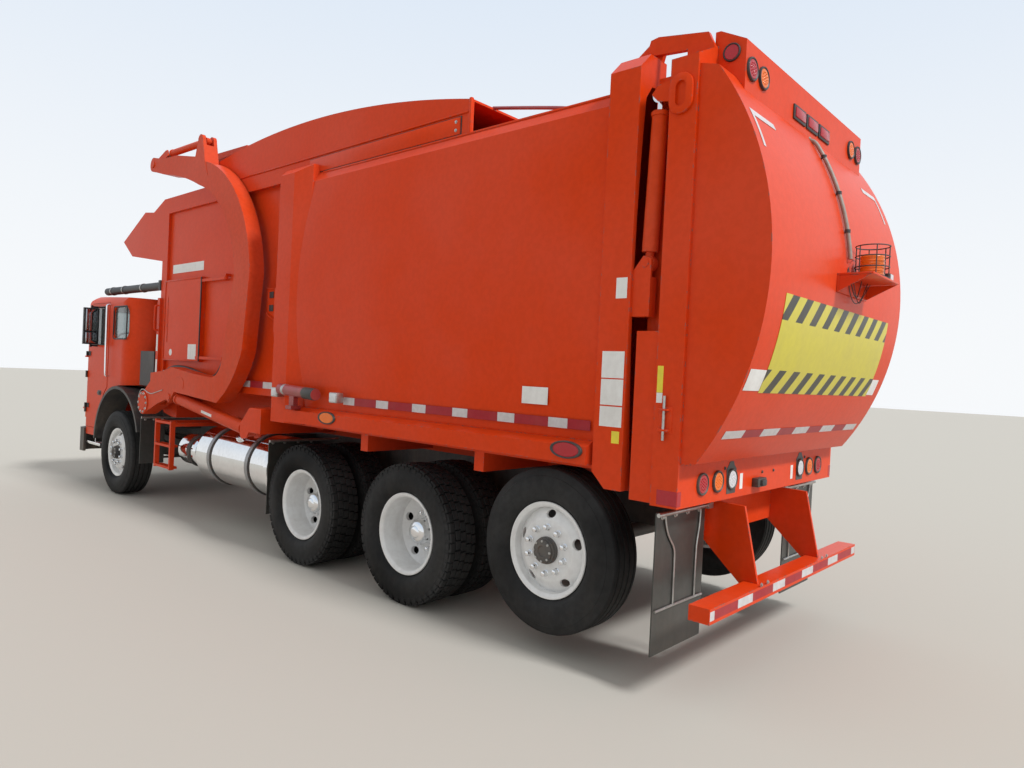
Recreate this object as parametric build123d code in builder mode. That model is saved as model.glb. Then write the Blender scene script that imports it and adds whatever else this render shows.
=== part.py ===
from build123d import *
from math import cos, pi, sin
import os

# A front-loading garbage truck: a low cab, a hopper with lifting arms and forks, a load body and a lifting rear door.
# Millimetres. +Z is up, -Y is towards the front and +X is the truck's left side.
# The origin is on the ground, under the middle of the overall length.

os.makedirs("parts", exist_ok=True)

# Gaps
SEAT_GAP = 0.3  # between a piece and what carries it
RUN_GAP = 0.5  # round a shaft in its bore
DOOR_GAP = 6.0  # round a cab door

# Stations along the truck
FRONT_END_Y = -4950.0  # front face of the bumper
FRONT_AXLE_Y = -3467.0
DRIVE_1_Y = 750.0
TANDEM = 1380.0
DRIVE_2_Y = DRIVE_1_Y + TANDEM
TAG_Y = 3419.0

# Tyres and wheels
TYRE_R = 515.0
BEAD_R = 286.0
FLANGE_R = 300.0
FLANGE_WALL = 14.0
BARREL_R = 264.0  # inside of the rim
SIDEWALL_R = 400.0
SHOULDER_IN = 22.0
RING_SIDES = 30  # flats round a tyre or a rim, one of them down
HUB_SIDES = 16  # flats round a drum or a hub
SPINDLE_R = 45.0
BORE_R = SPINDLE_R + RUN_GAP
HUB_R = 84.0
DRUM_R = 205.0
TAG_LIFT = 128.0  # the tag axle is carried clear of the ground
TAG_Z = TYRE_R + TAG_LIFT
FRONT_TYRE_X = 1066.0
FRONT_TYRE_W = 300.0
TAG_TYRE_X = 1040.0
TAG_TYRE_W = 286.0
STEER_RIM_W = 230.0
OUTER_TYRE_X = 1095.0
DUAL_SPACING = 340.0
INNER_TYRE_X = OUTER_TYRE_X - DUAL_SPACING
DRIVE_TYRE_W = 275.0
DRIVE_RIM_W = 210.0
HAND_HOLES = 5
HAND_HOLE_R = 27.0
HAND_HOLE_AT = 222.0
HAND_HOLE_SIDES = 8

# Chassis
RAIL_IN_X = 335.0
RAIL_OUT_X = 425.0
RAIL_WALL = 12.0
RAIL_Z = 760.0
RAIL_TOP_Z = 1030.0
FRAME_FRONT_Y = -4700.0
FRAME_REAR_Y = 4080.0
CROSS_Y = (-4600.0, -2950.0, -1900.0, -500.0, 1440.0, 2850.0, 3950.0)
CROSS_LONG = 90.0

# Steering
KING_X = 800.0
KING_R = 50.0
KING_HALF = 70.0
EAR_R = 56.0
EAR_WALL = 40.0
STEER_ARM = 190.0
TIE_R = 18.0
TIE_BAR_R = 15.0

# Load body
BODY_FRONT_Y = 190.0
RIB_FLAT_Y = 420.0
RIB_REAR_Y = 640.0
BODY_REAR_Y = 3965.0
POST_FRONT_Y = BODY_REAR_Y - 202.0
BODY_FLOOR_Z = 1180.0
BODY_LOW_X = 1120.0
RAIL_TOP_SIDE_Z = 1345.0
BODY_SIDE_X = 1140.0
BODY_BOW_X = 1180.0
BODY_BOW_Z = 2330.0
BODY_TURN_Z = 3310.0
BODY_EDGE_X = 1085.0
BODY_EDGE_Z = 3395.0
BODY_CROWN_Z = 3450.0
SHEET = 10.0
RIB_X = 1200.0
RIB_TOP_Z = 3465.0
RIB_LOW_Z = 1190.0
POST_LOW_Z = 1088.0
POST_TOP_Z = 3565.0
POST_IN_X = 930.0
FRONT_WALL = 12.0
FENDER_X = 1235.0
FENDER_LOW_Z = 1210.0
FENDER_FRONT_Y = 470.0
FENDER_REAR_Y = POST_FRONT_Y - 23.0

# Hopper
HOPPER_X = 1045.0
HOPPER_FRONT_Y = -2680.0
HOPPER_FLOOR_Z = 1400.0
HOPPER_FRONT_Z = 3590.0
HOPPER_REAR_Z = 3480.0
HOPPER_SHEET = 12.0
RECESS = 30.0
HOPPER_IN_X = HOPPER_X - HOPPER_SHEET - RECESS
HATCH_Y = (-2530.0, -1600.0)
HATCH_Z = (1690.0, 2620.0)

# Hood over the front of the body
HOOD_X = 1080.0
HOOD_FRONT_Y = -1322.0
HOOD_MID_Y = 700.0
HOOD_REAR_Y = 2510.0
HOOD_FRONT_Z = 3791.0
HOOD_MID_Z = 3884.0
HOOD_REAR_Z = 3637.0
HOOD_LOW_Z = 3397.6  # on the roof's edge

# Lifting arms, outline points as (Y, Z)
ARM_OUT_X = 1240.0
ARM_WIDE = 150.0
ARM_IN_X = ARM_OUT_X - ARM_WIDE
ARM_PIVOT = (-2570.0, 1190.0)
ARM_HUB_R = 135.0
ARM_SHAFT_R = 85.0
LIFT_ROD_PIN = (-1890.0, 1290.0)
LIFT_BASE_PIN = (-224.0, 1062.0)
FORK_PIVOT = (-2560.0, 3935.0)
FORK_BASE_PIN = (-1372.0, 4010.0)
FORK_CRANK_PIN = (-2310.0, 4030.0)
FORK_BAR_R = 55.0
FORK_PIN_R = 20.0
FORK_X = 700.0
FORK_WIDE = 60.0
FORK_LONG = 1250.0

# Rear door
HINGE_Y = BODY_REAR_Y - 25.0
HINGE_Z = 3640.0
HINGE_X = 960.0  # inner face of the body's lug
HINGE_PLATE = 30.0
HINGE_PIN_R = 30.0
DOOR_FRONT_Y = BODY_REAR_Y + 45.0
DOOR_POST_Y = DOOR_FRONT_Y + 140.0
DOOR_REAR_Y = DOOR_POST_Y + 163.0
DOOR_X = 1190.0
DOOR_SHELL_X = 1172.0
DOOR_LOW_Z = 1040.0
DOOR_BAR_Z = 1272.0
DOOR_TOP_Z = 3455.0
DOOR_BULGE_Y = DOOR_REAR_Y + 437.0
DOOR_BULGE_Z = 2400.0
TAIL_ROD_PIN = (BODY_REAR_Y + 103.0, 3295.0)
TAIL_BASE_PIN = (BODY_REAR_Y + 74.0, 2368.0)
TAIL_CYL_X = 1135.0
TAIL_PIN_R = 25.0
TAIL_HOOK_Z = 2070.0

# Cab
CAB_X = 1150.0
CAB_FRONT_Y = -4860.0
CAB_REAR_Y = -3200.0
CAB_LOW_Z = 640.0
CAB_REAR_LOW_Z = 1365.0
ARCH_MIDDLE = (-3520.0, 600.0)
ARCH_R = 745.0
CAB_ROOF_Z = 2500.0
CAB_WALL = 45.0
CAB_DOOR_Y = (-4700.0, -3975.0)


def side_plate(points, x_low, x_high, mode=Mode.ADD):
    """Extrudes an outline drawn in the side view, as (Y, Z), from x_low to x_high."""
    with BuildSketch(Plane.YZ.offset(x_low)) as outline:
        with BuildLine():
            Polyline(*points, close=True)
        make_face()
    extrude(outline.sketch, amount=x_high - x_low, mode=mode)


def end_plate(points, y_low, y_high, mode=Mode.ADD):
    """Extrudes an outline drawn in the end view, as (X, Z), from y_low to y_high."""
    with BuildSketch(Plane.XZ.offset(-y_high)) as outline:
        with BuildLine():
            Polyline(*points, close=True)
        make_face()
    extrude(outline.sketch, amount=y_high - y_low, mode=mode)


def plan_plate(points, z_low, z_high, mode=Mode.ADD):
    """Extrudes an outline drawn from above, as (X, Y), from z_low to z_high."""
    with BuildSketch(Plane.XY.offset(z_low)) as outline:
        with BuildLine():
            Polyline(*points, close=True)
        make_face()
    extrude(outline.sketch, amount=z_high - z_low, mode=mode)


def block(x, y, z, mode=Mode.ADD):
    """Adds a block between the two values given for each of X, Y and Z."""
    middle = tuple((low + high) / 2 for low, high in (x, y, z))
    with Locations(middle):
        Box(abs(x[1] - x[0]), abs(y[1] - y[0]), abs(z[1] - z[0]), mode=mode)


def bar(start, end, radius, mode=Mode.ADD):
    """Adds a round bar between two points."""
    start, end = Vector(start), Vector(end)
    with BuildSketch(Plane(origin=start, z_dir=end - start)) as ring:
        Circle(radius)
    extrude(ring.sketch, amount=(end - start).length, mode=mode)


def cross_bar(x, centre, radius, mode=Mode.ADD):
    """Adds a round bar along X, centred on a (Y, Z) point."""
    bar((x[0], *centre), (x[1], *centre), radius, mode)


def finish(part, label):
    """Names a finished piece and writes its file."""
    part.label = label
    export_step(part, f"parts/{label}.step")


SIDES = (("left", 1), ("right", -1))

# Wheels: name, axle Y, axle Z, middle of the outer tyre, tyre width, rim width, twin tyres
AXLES = (
    ("front", FRONT_AXLE_Y, TYRE_R, FRONT_TYRE_X, FRONT_TYRE_W, STEER_RIM_W, False),
    ("drive_1", DRIVE_1_Y, TYRE_R, OUTER_TYRE_X, DRIVE_TYRE_W, DRIVE_RIM_W, True),
    ("drive_2", DRIVE_2_Y, TYRE_R, OUTER_TYRE_X, DRIVE_TYRE_W, DRIVE_RIM_W, True),
    ("tag", TAG_Y, TAG_Z, TAG_TYRE_X, TAG_TYRE_W, STEER_RIM_W, False),
)


def turned(centre, stations, sides=RING_SIDES, mode=Mode.ADD):
    """A wheel-like body of flat sides about a line along X; each station is (X, distance to a side)."""
    y, z = centre
    rings = []
    for x, radius in stations:
        corner_r = radius / cos(pi / sides)
        angles = [2 * pi * step / sides for step in range(sides)]
        rings.append([(x, y + corner_r * cos(angle), z + corner_r * sin(angle)) for angle in angles])
    faces = [Face(Wire.make_polygon(ring)) for ring in (rings[0], rings[-1])]
    for ring, following in zip(rings, rings[1:]):
        for step in range(sides):
            corners = (ring[step - 1], ring[step], following[step], following[step - 1])
            faces.append(Face(Wire.make_polygon(corners)))
    add(Solid(Shell(faces)), mode=mode)


CUT_PAST = 4.0  # how far a cut runs past the face that it opens


def tyre_ring(centre, middle, width, rim):
    """One tyre: a flat tread, sidewalls that are widest half way up, and a bore that seats on the rim."""
    half = width / 2
    heel = rim / 2 - FLANGE_WALL - SEAT_GAP
    side_drop = CUT_PAST * (TYRE_R - SIDEWALL_R) / SHOULDER_IN
    bead_rise = 2 * CUT_PAST * (SIDEWALL_R - FLANGE_R) / (half - heel)
    turned(
        centre,
        (
            (middle - half - CUT_PAST, SIDEWALL_R - side_drop),
            (middle - half + SHOULDER_IN, TYRE_R),
            (middle + half - SHOULDER_IN, TYRE_R),
            (middle + half + CUT_PAST, SIDEWALL_R - side_drop),
        ),
    )
    for out in (1, -1):
        turned(
            centre,
            (
                (middle + out * heel, FLANGE_R + SEAT_GAP),
                (middle + out * (half + 2 * CUT_PAST), SIDEWALL_R + bead_rise),
            ),
            mode=Mode.SUBTRACT,
        )
    bore = BEAD_R + SEAT_GAP
    turned(centre, ((middle - heel - CUT_PAST, bore), (middle + heel + CUT_PAST, bore)), mode=Mode.SUBTRACT)


def rim_tube(centre, middle, width):
    """One rim: a tube from bead to bead, with a flange round its outer edge."""
    half = width / 2
    turned(centre, ((middle - half, BEAD_R), (middle + half - FLANGE_WALL, BEAD_R)))
    turned(centre, ((middle + half - FLANGE_WALL, FLANGE_R), (middle + half, FLANGE_R)))


def hand_holes(centre, x):
    """A ring of hand holes through a wheel's disc."""
    with BuildSketch(Plane(origin=(x[0], *centre), x_dir=(0, 1, 0), z_dir=(1, 0, 0))) as holes:
        with PolarLocations(HAND_HOLE_AT, HAND_HOLES, start_angle=90):
            RegularPolygon(HAND_HOLE_R, HAND_HOLE_SIDES)
    extrude(holes.sketch, amount=x[1] - x[0], mode=Mode.SUBTRACT)


# Where the steered and lifted wheels' disc and hub lie, outward from the middle of the tyre
DISC_OUT = 104.0
DISC_WALL = 14.0
DISC_TURN_R = 190.0
HUB_IN = -90.0
HUB_OUT = 158.0
# Where the twin wheels' discs meet, and their hub ends
TWIN_JOIN_X = (OUTER_TYRE_X + INNER_TYRE_X) / 2
TWIN_HUB_IN_X = 640.0
TWIN_CAP_X = 1118.0
TWIN_CAP_R = 105.0

DISC_FOOT = 34.0  # inner end of the steered wheels' disc, outward from the middle of the tyre
DISC_FACE = 48.0  # where its cone leaves the rim
DRUM_OUT = 10.0
TWIN_HOLLOW = 20.0  # how far the barrels run past the rims' inner edges
TWIN_NECK = 30.0  # from the discs' joint to the foot of the inner hollow

for axle, axle_y, axle_z, tyre_x, tyre_w, rim_w, twin in AXLES:
    half = rim_w / 2
    centre = (axle_y, axle_z)
    with BuildPart() as tyre:
        tyre_ring(centre, tyre_x, tyre_w, rim_w)
        if twin:
            tyre_ring(centre, INNER_TYRE_X, tyre_w, rim_w)
    with BuildPart() as wheel:
        rim_tube(centre, tyre_x, rim_w)
        if twin:
            turned(
                centre,
                (
                    (INNER_TYRE_X - half, BEAD_R),
                    (INNER_TYRE_X + half, BEAD_R),
                    (TWIN_JOIN_X - DISC_WALL / 2, DISC_TURN_R),
                    (TWIN_JOIN_X + DISC_WALL / 2, DISC_TURN_R),
                    (OUTER_TYRE_X - half, BEAD_R),
                ),
            )
            turned(
                centre,
                (
                    (INNER_TYRE_X - half - CUT_PAST, BARREL_R),
                    (INNER_TYRE_X + half - TWIN_HOLLOW, BARREL_R),
                    (TWIN_JOIN_X - TWIN_NECK, DRUM_R),
                ),
                mode=Mode.SUBTRACT,
            )
            turned(
                centre,
                (
                    (TWIN_JOIN_X + 2 * DISC_WALL, DISC_TURN_R - 10),
                    (OUTER_TYRE_X - half + TWIN_HOLLOW, BARREL_R),
                    (OUTER_TYRE_X + half + CUT_PAST, BARREL_R),
                ),
                mode=Mode.SUBTRACT,
            )
            turned(centre, ((TWIN_HUB_IN_X, DRUM_R), (TWIN_JOIN_X, DRUM_R)), HUB_SIDES)
            turned(
                centre,
                (
                    (TWIN_JOIN_X, TWIN_CAP_R),
                    (TWIN_CAP_X - 20, TWIN_CAP_R),
                    (TWIN_CAP_X, TWIN_CAP_R - 40),
                ),
                HUB_SIDES,
            )
            cross_bar((TWIN_HUB_IN_X - CUT_PAST, TWIN_CAP_X - 60), centre, BORE_R, mode=Mode.SUBTRACT)
            hand_holes(centre, (TWIN_JOIN_X - 90, TWIN_JOIN_X + 90))
        else:
            turned(
                centre,
                ((tyre_x - half - CUT_PAST, BARREL_R), (tyre_x + half + CUT_PAST, BARREL_R)),
                mode=Mode.SUBTRACT,
            )
            disc_slope = (BARREL_R - DISC_TURN_R) / (DISC_OUT - DISC_FACE - CUT_PAST)
            turned(
                centre,
                (
                    (tyre_x + DISC_FOOT, BARREL_R + CUT_PAST * disc_slope),
                    (tyre_x + DISC_FACE, BARREL_R + CUT_PAST * disc_slope),
                    (tyre_x + DISC_OUT, DISC_TURN_R),
                ),
            )
            turned(
                centre,
                (
                    (tyre_x + DISC_FOOT - CUT_PAST, BARREL_R),
                    (tyre_x + DISC_FOOT, BARREL_R),
                    (tyre_x + DISC_OUT - DISC_WALL, DISC_TURN_R - 6),
                ),
                mode=Mode.SUBTRACT,
            )
            turned(centre, ((tyre_x + HUB_IN, DRUM_R), (tyre_x + DRUM_OUT, DRUM_R)), HUB_SIDES)
            turned(centre, ((tyre_x + DRUM_OUT - CUT_PAST, HUB_R), (tyre_x + HUB_OUT, HUB_R)), HUB_SIDES)
            cross_bar((tyre_x + HUB_IN - CUT_PAST, tyre_x + HUB_OUT - 30), centre, BORE_R, mode=Mode.SUBTRACT)
            hand_holes(centre, (tyre_x + DISC_FOOT - 60, tyre_x + DISC_OUT + CUT_PAST))
    finish(tyre.part, f"{axle}_tyre_left")
    finish(wheel.part, f"{axle}_wheel_left")
    with BuildPart() as right_tyre:
        mirror(tyre.part, about=Plane.YZ)
    with BuildPart() as right_wheel:
        mirror(wheel.part, about=Plane.YZ)
    finish(right_tyre.part, f"{axle}_tyre_right")
    finish(right_wheel.part, f"{axle}_wheel_right")

# Frame rails: channels that open inwards, with cross members between them
with BuildPart() as chassis:
    with BuildSketch(Plane.XZ.offset(-FRAME_REAR_Y)):
        for side in (1, -1):
            with BuildLine():
                Polyline(
                    (side * RAIL_IN_X, RAIL_Z),
                    (side * RAIL_OUT_X, RAIL_Z),
                    (side * RAIL_OUT_X, RAIL_TOP_Z),
                    (side * RAIL_IN_X, RAIL_TOP_Z),
                    (side * RAIL_IN_X, RAIL_TOP_Z - RAIL_WALL),
                    (side * (RAIL_OUT_X - RAIL_WALL), RAIL_TOP_Z - RAIL_WALL),
                    (side * (RAIL_OUT_X - RAIL_WALL), RAIL_Z + RAIL_WALL),
                    (side * RAIL_IN_X, RAIL_Z + RAIL_WALL),
                    close=True,
                )
            make_face()
    extrude(amount=FRAME_REAR_Y - FRAME_FRONT_Y)
    for cross_y in CROSS_Y:
        block(
            (-RAIL_OUT_X + RAIL_WALL, RAIL_OUT_X - RAIL_WALL),
            (cross_y - CROSS_LONG / 2, cross_y + CROSS_LONG / 2),
            (RAIL_Z + 40, RAIL_TOP_Z - 60),
        )
finish(chassis.part, "chassis_frame")

# Front axle: a dropped beam on leaf springs, hung from the rails
SPRING_X = 380.0
SPRING_HALF = 38.0
SPRING_WALL = 46.0
SPRING_HALF_LONG = 640.0
BEAM_HALF = 45.0
BEAM_PAD_Z = 560.0


def leaf_spring(y, seat_z, half_long, eye_z, side):
    """A leaf spring as one arched band, from a seat in the middle up to its two ends."""
    with BuildSketch(Plane.YZ.offset(side * SPRING_X - SPRING_HALF)) as leaf:
        with BuildLine():
            ThreePointArc((y - half_long, eye_z), (y, seat_z), (y + half_long, eye_z))
            Line((y + half_long, eye_z), (y + half_long, eye_z + SPRING_WALL))
            ThreePointArc(
                (y + half_long, eye_z + SPRING_WALL), (y, seat_z + 2 * SPRING_WALL), (y - half_long, eye_z + SPRING_WALL)
            )
            Line((y - half_long, eye_z + SPRING_WALL), (y - half_long, eye_z))
        make_face()
    extrude(leaf.sketch, amount=2 * SPRING_HALF)


with BuildPart() as front_axle:
    end_plate(
        (
            (-KING_X, TYRE_R + 50),
            (-KING_X + 130, TYRE_R + 50),
            (-SPRING_X - 90, BEAM_PAD_Z),
            (-SPRING_X + 90, BEAM_PAD_Z),
            (0, TYRE_R),
            (SPRING_X - 90, BEAM_PAD_Z),
            (SPRING_X + 90, BEAM_PAD_Z),
            (KING_X - 130, TYRE_R + 50),
            (KING_X, TYRE_R + 50),
            (KING_X, TYRE_R - 50),
            (KING_X - 130, TYRE_R - 50),
            (SPRING_X, TYRE_R - 90),
            (-SPRING_X, TYRE_R - 90),
            (-KING_X + 130, TYRE_R - 50),
            (-KING_X, TYRE_R - 50),
        ),
        FRONT_AXLE_Y - BEAM_HALF,
        FRONT_AXLE_Y + BEAM_HALF,
    )
    for side in (1, -1):
        bar(
            (side * KING_X, FRONT_AXLE_Y, TYRE_R - KING_HALF),
            (side * KING_X, FRONT_AXLE_Y, TYRE_R + KING_HALF),
            KING_R,
        )
        leaf_spring(FRONT_AXLE_Y, BEAM_PAD_Z - 4, SPRING_HALF_LONG, RAIL_Z - 100, side)
        for end in (-1, 1):
            hanger_y = FRONT_AXLE_Y + end * SPRING_HALF_LONG
            block(
                (side * SPRING_X - SPRING_HALF, side * SPRING_X + SPRING_HALF),
                (hanger_y - 40, hanger_y + 40),
                (RAIL_Z - 110, RAIL_Z - SEAT_GAP),
            )
finish(front_axle.part, "front_axle")

# Steering knuckles: an ear above and below the king pin's boss, a web and the wheel's spindle
WEB_IN = 62.0
WEB_OUT = 100.0
for side_name, side in SIDES:
    king = (side * KING_X, FRONT_AXLE_Y)
    with BuildPart() as knuckle:
        for low in (TYRE_R + KING_HALF + SEAT_GAP, TYRE_R - KING_HALF - SEAT_GAP - EAR_WALL):
            bar((*king, low), (*king, low + EAR_WALL), EAR_R)
            block(
                (side * KING_X, side * (KING_X + WEB_OUT)),
                (FRONT_AXLE_Y - 45, FRONT_AXLE_Y + 45),
                (low, low + EAR_WALL),
            )
        block(
            (side * (KING_X + WEB_IN), side * (KING_X + WEB_OUT)),
            (FRONT_AXLE_Y - 60, FRONT_AXLE_Y + 60),
            (TYRE_R - KING_HALF - EAR_WALL, TYRE_R + KING_HALF + EAR_WALL),
        )
        cross_bar(
            (side * (KING_X + WEB_OUT - 5), side * (FRONT_TYRE_X + HUB_OUT - 40)), (FRONT_AXLE_Y, TYRE_R), SPINDLE_R
        )
        arm_z = TYRE_R - KING_HALF - SEAT_GAP - EAR_WALL
        block(
            (side * KING_X - 25, side * KING_X + 25),
            (FRONT_AXLE_Y + 20, FRONT_AXLE_Y + STEER_ARM),
            (arm_z, arm_z + 26),
        )
        bar((side * KING_X, FRONT_AXLE_Y + STEER_ARM, arm_z), (side * KING_X, FRONT_AXLE_Y + STEER_ARM, arm_z + 26), 30)
    finish(knuckle.part, f"knuckle_{side_name}")

# Tie rod between the two steering arms, in its own place above their eyes
TIE_Z = TYRE_R - KING_HALF - SEAT_GAP - EAR_WALL + 26 + SEAT_GAP
with BuildPart() as tie_rod:
    for side in (1, -1):
        bar(
            (side * KING_X, FRONT_AXLE_Y + STEER_ARM, TIE_Z),
            (side * KING_X, FRONT_AXLE_Y + STEER_ARM, TIE_Z + 2 * TIE_R),
            26,
        )
    cross_bar((-KING_X, KING_X), (FRONT_AXLE_Y + STEER_ARM, TIE_Z + TIE_R), TIE_BAR_R)
finish(tie_rod.part, "tie_rod")

# Drive axles: a round housing with a drum in the middle, on springs about a middle bracket
HOUSING_R = 70.0
BOWL_R = 190.0
BOWL_HALF = 110.0
TANDEM_MID_Y = (DRIVE_1_Y + DRIVE_2_Y) / 2
with BuildPart() as drive_axles:
    for axle_y in (DRIVE_1_Y, DRIVE_2_Y):
        housing_x = TWIN_HUB_IN_X - SEAT_GAP
        cross_bar((-housing_x, housing_x), (axle_y, TYRE_R), HOUSING_R)
        cross_bar((-TWIN_CAP_X + 80, TWIN_CAP_X - 80), (axle_y, TYRE_R), SPINDLE_R)
        with BuildSketch(Plane.XZ.offset(-axle_y + BOWL_HALF)) as bowl:
            with Locations((0, TYRE_R)):
                Circle(BOWL_R)
        extrude(bowl.sketch, amount=-2 * BOWL_HALF)
        for side in (1, -1):
            block(
                (side * SPRING_X - 50, side * SPRING_X + 50),
                (axle_y - 60, axle_y + 60),
                (TYRE_R, RAIL_Z - 110),
            )
    for side in (1, -1):
        with BuildSketch(Plane.YZ.offset(side * SPRING_X - SPRING_HALF)) as leaf:
            with BuildLine():
                ThreePointArc(
                    (DRIVE_1_Y - 60, RAIL_Z - 130), (TANDEM_MID_Y, RAIL_Z - 50), (DRIVE_2_Y + 60, RAIL_Z - 130)
                )
                Line((DRIVE_2_Y + 60, RAIL_Z - 130), (DRIVE_2_Y + 60, RAIL_Z - 100))
                ThreePointArc(
                    (DRIVE_2_Y + 60, RAIL_Z - 100), (TANDEM_MID_Y, RAIL_Z - SEAT_GAP), (DRIVE_1_Y - 60, RAIL_Z - 100)
                )
                Line((DRIVE_1_Y - 60, RAIL_Z - 100), (DRIVE_1_Y - 60, RAIL_Z - 130))
            make_face()
        extrude(leaf.sketch, amount=2 * SPRING_HALF)
finish(drive_axles.part, "drive_axles")

# Tag axle: a straight beam held up by its air springs and trailing arms
TAG_BEAM_R = 52.0
AIR_SPRING_R = 90.0
TAG_ARM_LONG = 620.0
with BuildPart() as tag_axle:
    beam_x = TAG_TYRE_X + HUB_IN - SEAT_GAP
    cross_bar((-beam_x, beam_x), (TAG_Y, TAG_Z), TAG_BEAM_R)
    spindle_x = TAG_TYRE_X + HUB_OUT - 40
    cross_bar((-spindle_x, spindle_x), (TAG_Y, TAG_Z), SPINDLE_R)
    for side in (1, -1):
        bar((side * SPRING_X, TAG_Y, TAG_Z), (side * SPRING_X, TAG_Y, RAIL_Z - SEAT_GAP), AIR_SPRING_R)
        side_plate(
            (
                (TAG_Y, TAG_Z + 40),
                (TAG_Y, TAG_Z - 40),
                (TAG_Y - TAG_ARM_LONG, RAIL_Z - 90),
                (TAG_Y - TAG_ARM_LONG - 60, RAIL_Z - SEAT_GAP),
                (TAG_Y - TAG_ARM_LONG + 60, RAIL_Z - SEAT_GAP),
            ),
            side * SPRING_X - 30,
            side * SPRING_X + 30,
        )
finish(tag_axle.part, "tag_axle")

# Body frame: sills on the chassis rails, cross beams, arm pivot brackets and lift cylinder brackets
SILL_FRONT_Y = -2400.0
PIVOT_BEAM_LONG = 110.0
LIFT_BEAM_Y = (-120.0, 90.0)
LIFT_BEAM_Z = (1060.0, 1290.0)
PIVOT_PLATE_X = 930.0
PIVOT_PLATE = 45.0
EAR_PLATE = 18.0
LIFT_PIN_R = 28.0
HOPPER_REST_Z = HOPPER_FLOOR_Z - SEAT_GAP
CROSS_BEAMS = ((1450.0, BODY_LOW_X), (2730.0, BODY_LOW_X), (3803.0, POST_IN_X - 10))
with BuildPart() as body_frame:
    for side in (1, -1):
        block((side * RAIL_IN_X, side * RAIL_OUT_X), (SILL_FRONT_Y, BODY_REAR_Y), (RAIL_TOP_Z, BODY_FLOOR_Z))
        block((side * 600, side * 640), (SILL_FRONT_Y, BODY_FRONT_Y), (RAIL_TOP_Z + 60, HOPPER_REST_Z))
        with BuildSketch(Plane.YZ.offset(side * PIVOT_PLATE_X)) as cheek:
            with BuildLine():
                Polyline(
                    (ARM_PIVOT[0] - 130, ARM_PIVOT[1]),
                    (ARM_PIVOT[0] - 70, ARM_PIVOT[1] - 120),
                    (SILL_FRONT_Y, RAIL_TOP_Z),
                    (SILL_FRONT_Y + PIVOT_BEAM_LONG, RAIL_TOP_Z),
                    (SILL_FRONT_Y + PIVOT_BEAM_LONG, HOPPER_REST_Z),
                    (ARM_PIVOT[0] - 70, HOPPER_REST_Z),
                    close=True,
                )
            make_face()
            with Locations(ARM_PIVOT):
                Circle(ARM_SHAFT_R + RUN_GAP, mode=Mode.SUBTRACT)
        extrude(cheek.sketch, amount=side * PIVOT_PLATE)
        for plate_x in (ARM_IN_X, ARM_OUT_X - EAR_PLATE):
            side_plate(
                (
                    (LIFT_BEAM_Y[0], LIFT_BEAM_Z[1]),
                    (LIFT_BASE_PIN[0] - 60, LIFT_BASE_PIN[1] + 70),
                    (LIFT_BASE_PIN[0] - 60, LIFT_BASE_PIN[1] - 40),
                    (LIFT_BASE_PIN[0] - 20, LIFT_BASE_PIN[1] - 75),
                    (LIFT_BASE_PIN[0] + 60, LIFT_BASE_PIN[1] - 60),
                    (LIFT_BEAM_Y[0], LIFT_BEAM_Z[0]),
                ),
                side * plate_x,
                side * (plate_x + EAR_PLATE),
            )
        cross_bar((side * ARM_IN_X, side * ARM_OUT_X), LIFT_BASE_PIN, LIFT_PIN_R)
    block(
        (-PIVOT_PLATE_X - PIVOT_PLATE, PIVOT_PLATE_X + PIVOT_PLATE),
        (SILL_FRONT_Y, SILL_FRONT_Y + PIVOT_BEAM_LONG),
        (RAIL_TOP_Z, RAIL_TOP_Z + 120),
    )
    block((-ARM_OUT_X, ARM_OUT_X), LIFT_BEAM_Y, LIFT_BEAM_Z)
    for beam_y, beam_x in CROSS_BEAMS:
        block((-beam_x, beam_x), (beam_y, beam_y + CROSS_LONG), (RAIL_TOP_Z + 20, BODY_FLOOR_Z))
finish(body_frame.part, "body_frame")


def body_outline(inset):
    """Half of the load body's section, drawn on both sides, as (X, Z), smaller by the inset."""
    with BuildLine() as outline:
        for side in (1, -1):
            Line((0, BODY_FLOOR_Z + inset), (side * (BODY_LOW_X - inset), BODY_FLOOR_Z + inset))
            Line(
                (side * (BODY_LOW_X - inset), BODY_FLOOR_Z + inset), (side * (BODY_SIDE_X - inset), RAIL_TOP_SIDE_Z)
            )
            ThreePointArc(
                (side * (BODY_SIDE_X - inset), RAIL_TOP_SIDE_Z),
                (side * (BODY_BOW_X - inset), BODY_BOW_Z),
                (side * (BODY_SIDE_X - inset), BODY_TURN_Z),
            )
            Line((side * (BODY_SIDE_X - inset), BODY_TURN_Z), (side * (BODY_EDGE_X - inset), BODY_EDGE_Z - inset))
        ThreePointArc(
            (BODY_EDGE_X - inset, BODY_EDGE_Z - inset),
            (0, BODY_CROWN_Z - inset),
            (inset - BODY_EDGE_X, BODY_EDGE_Z - inset),
        )
    make_face(outline.edges())


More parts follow.
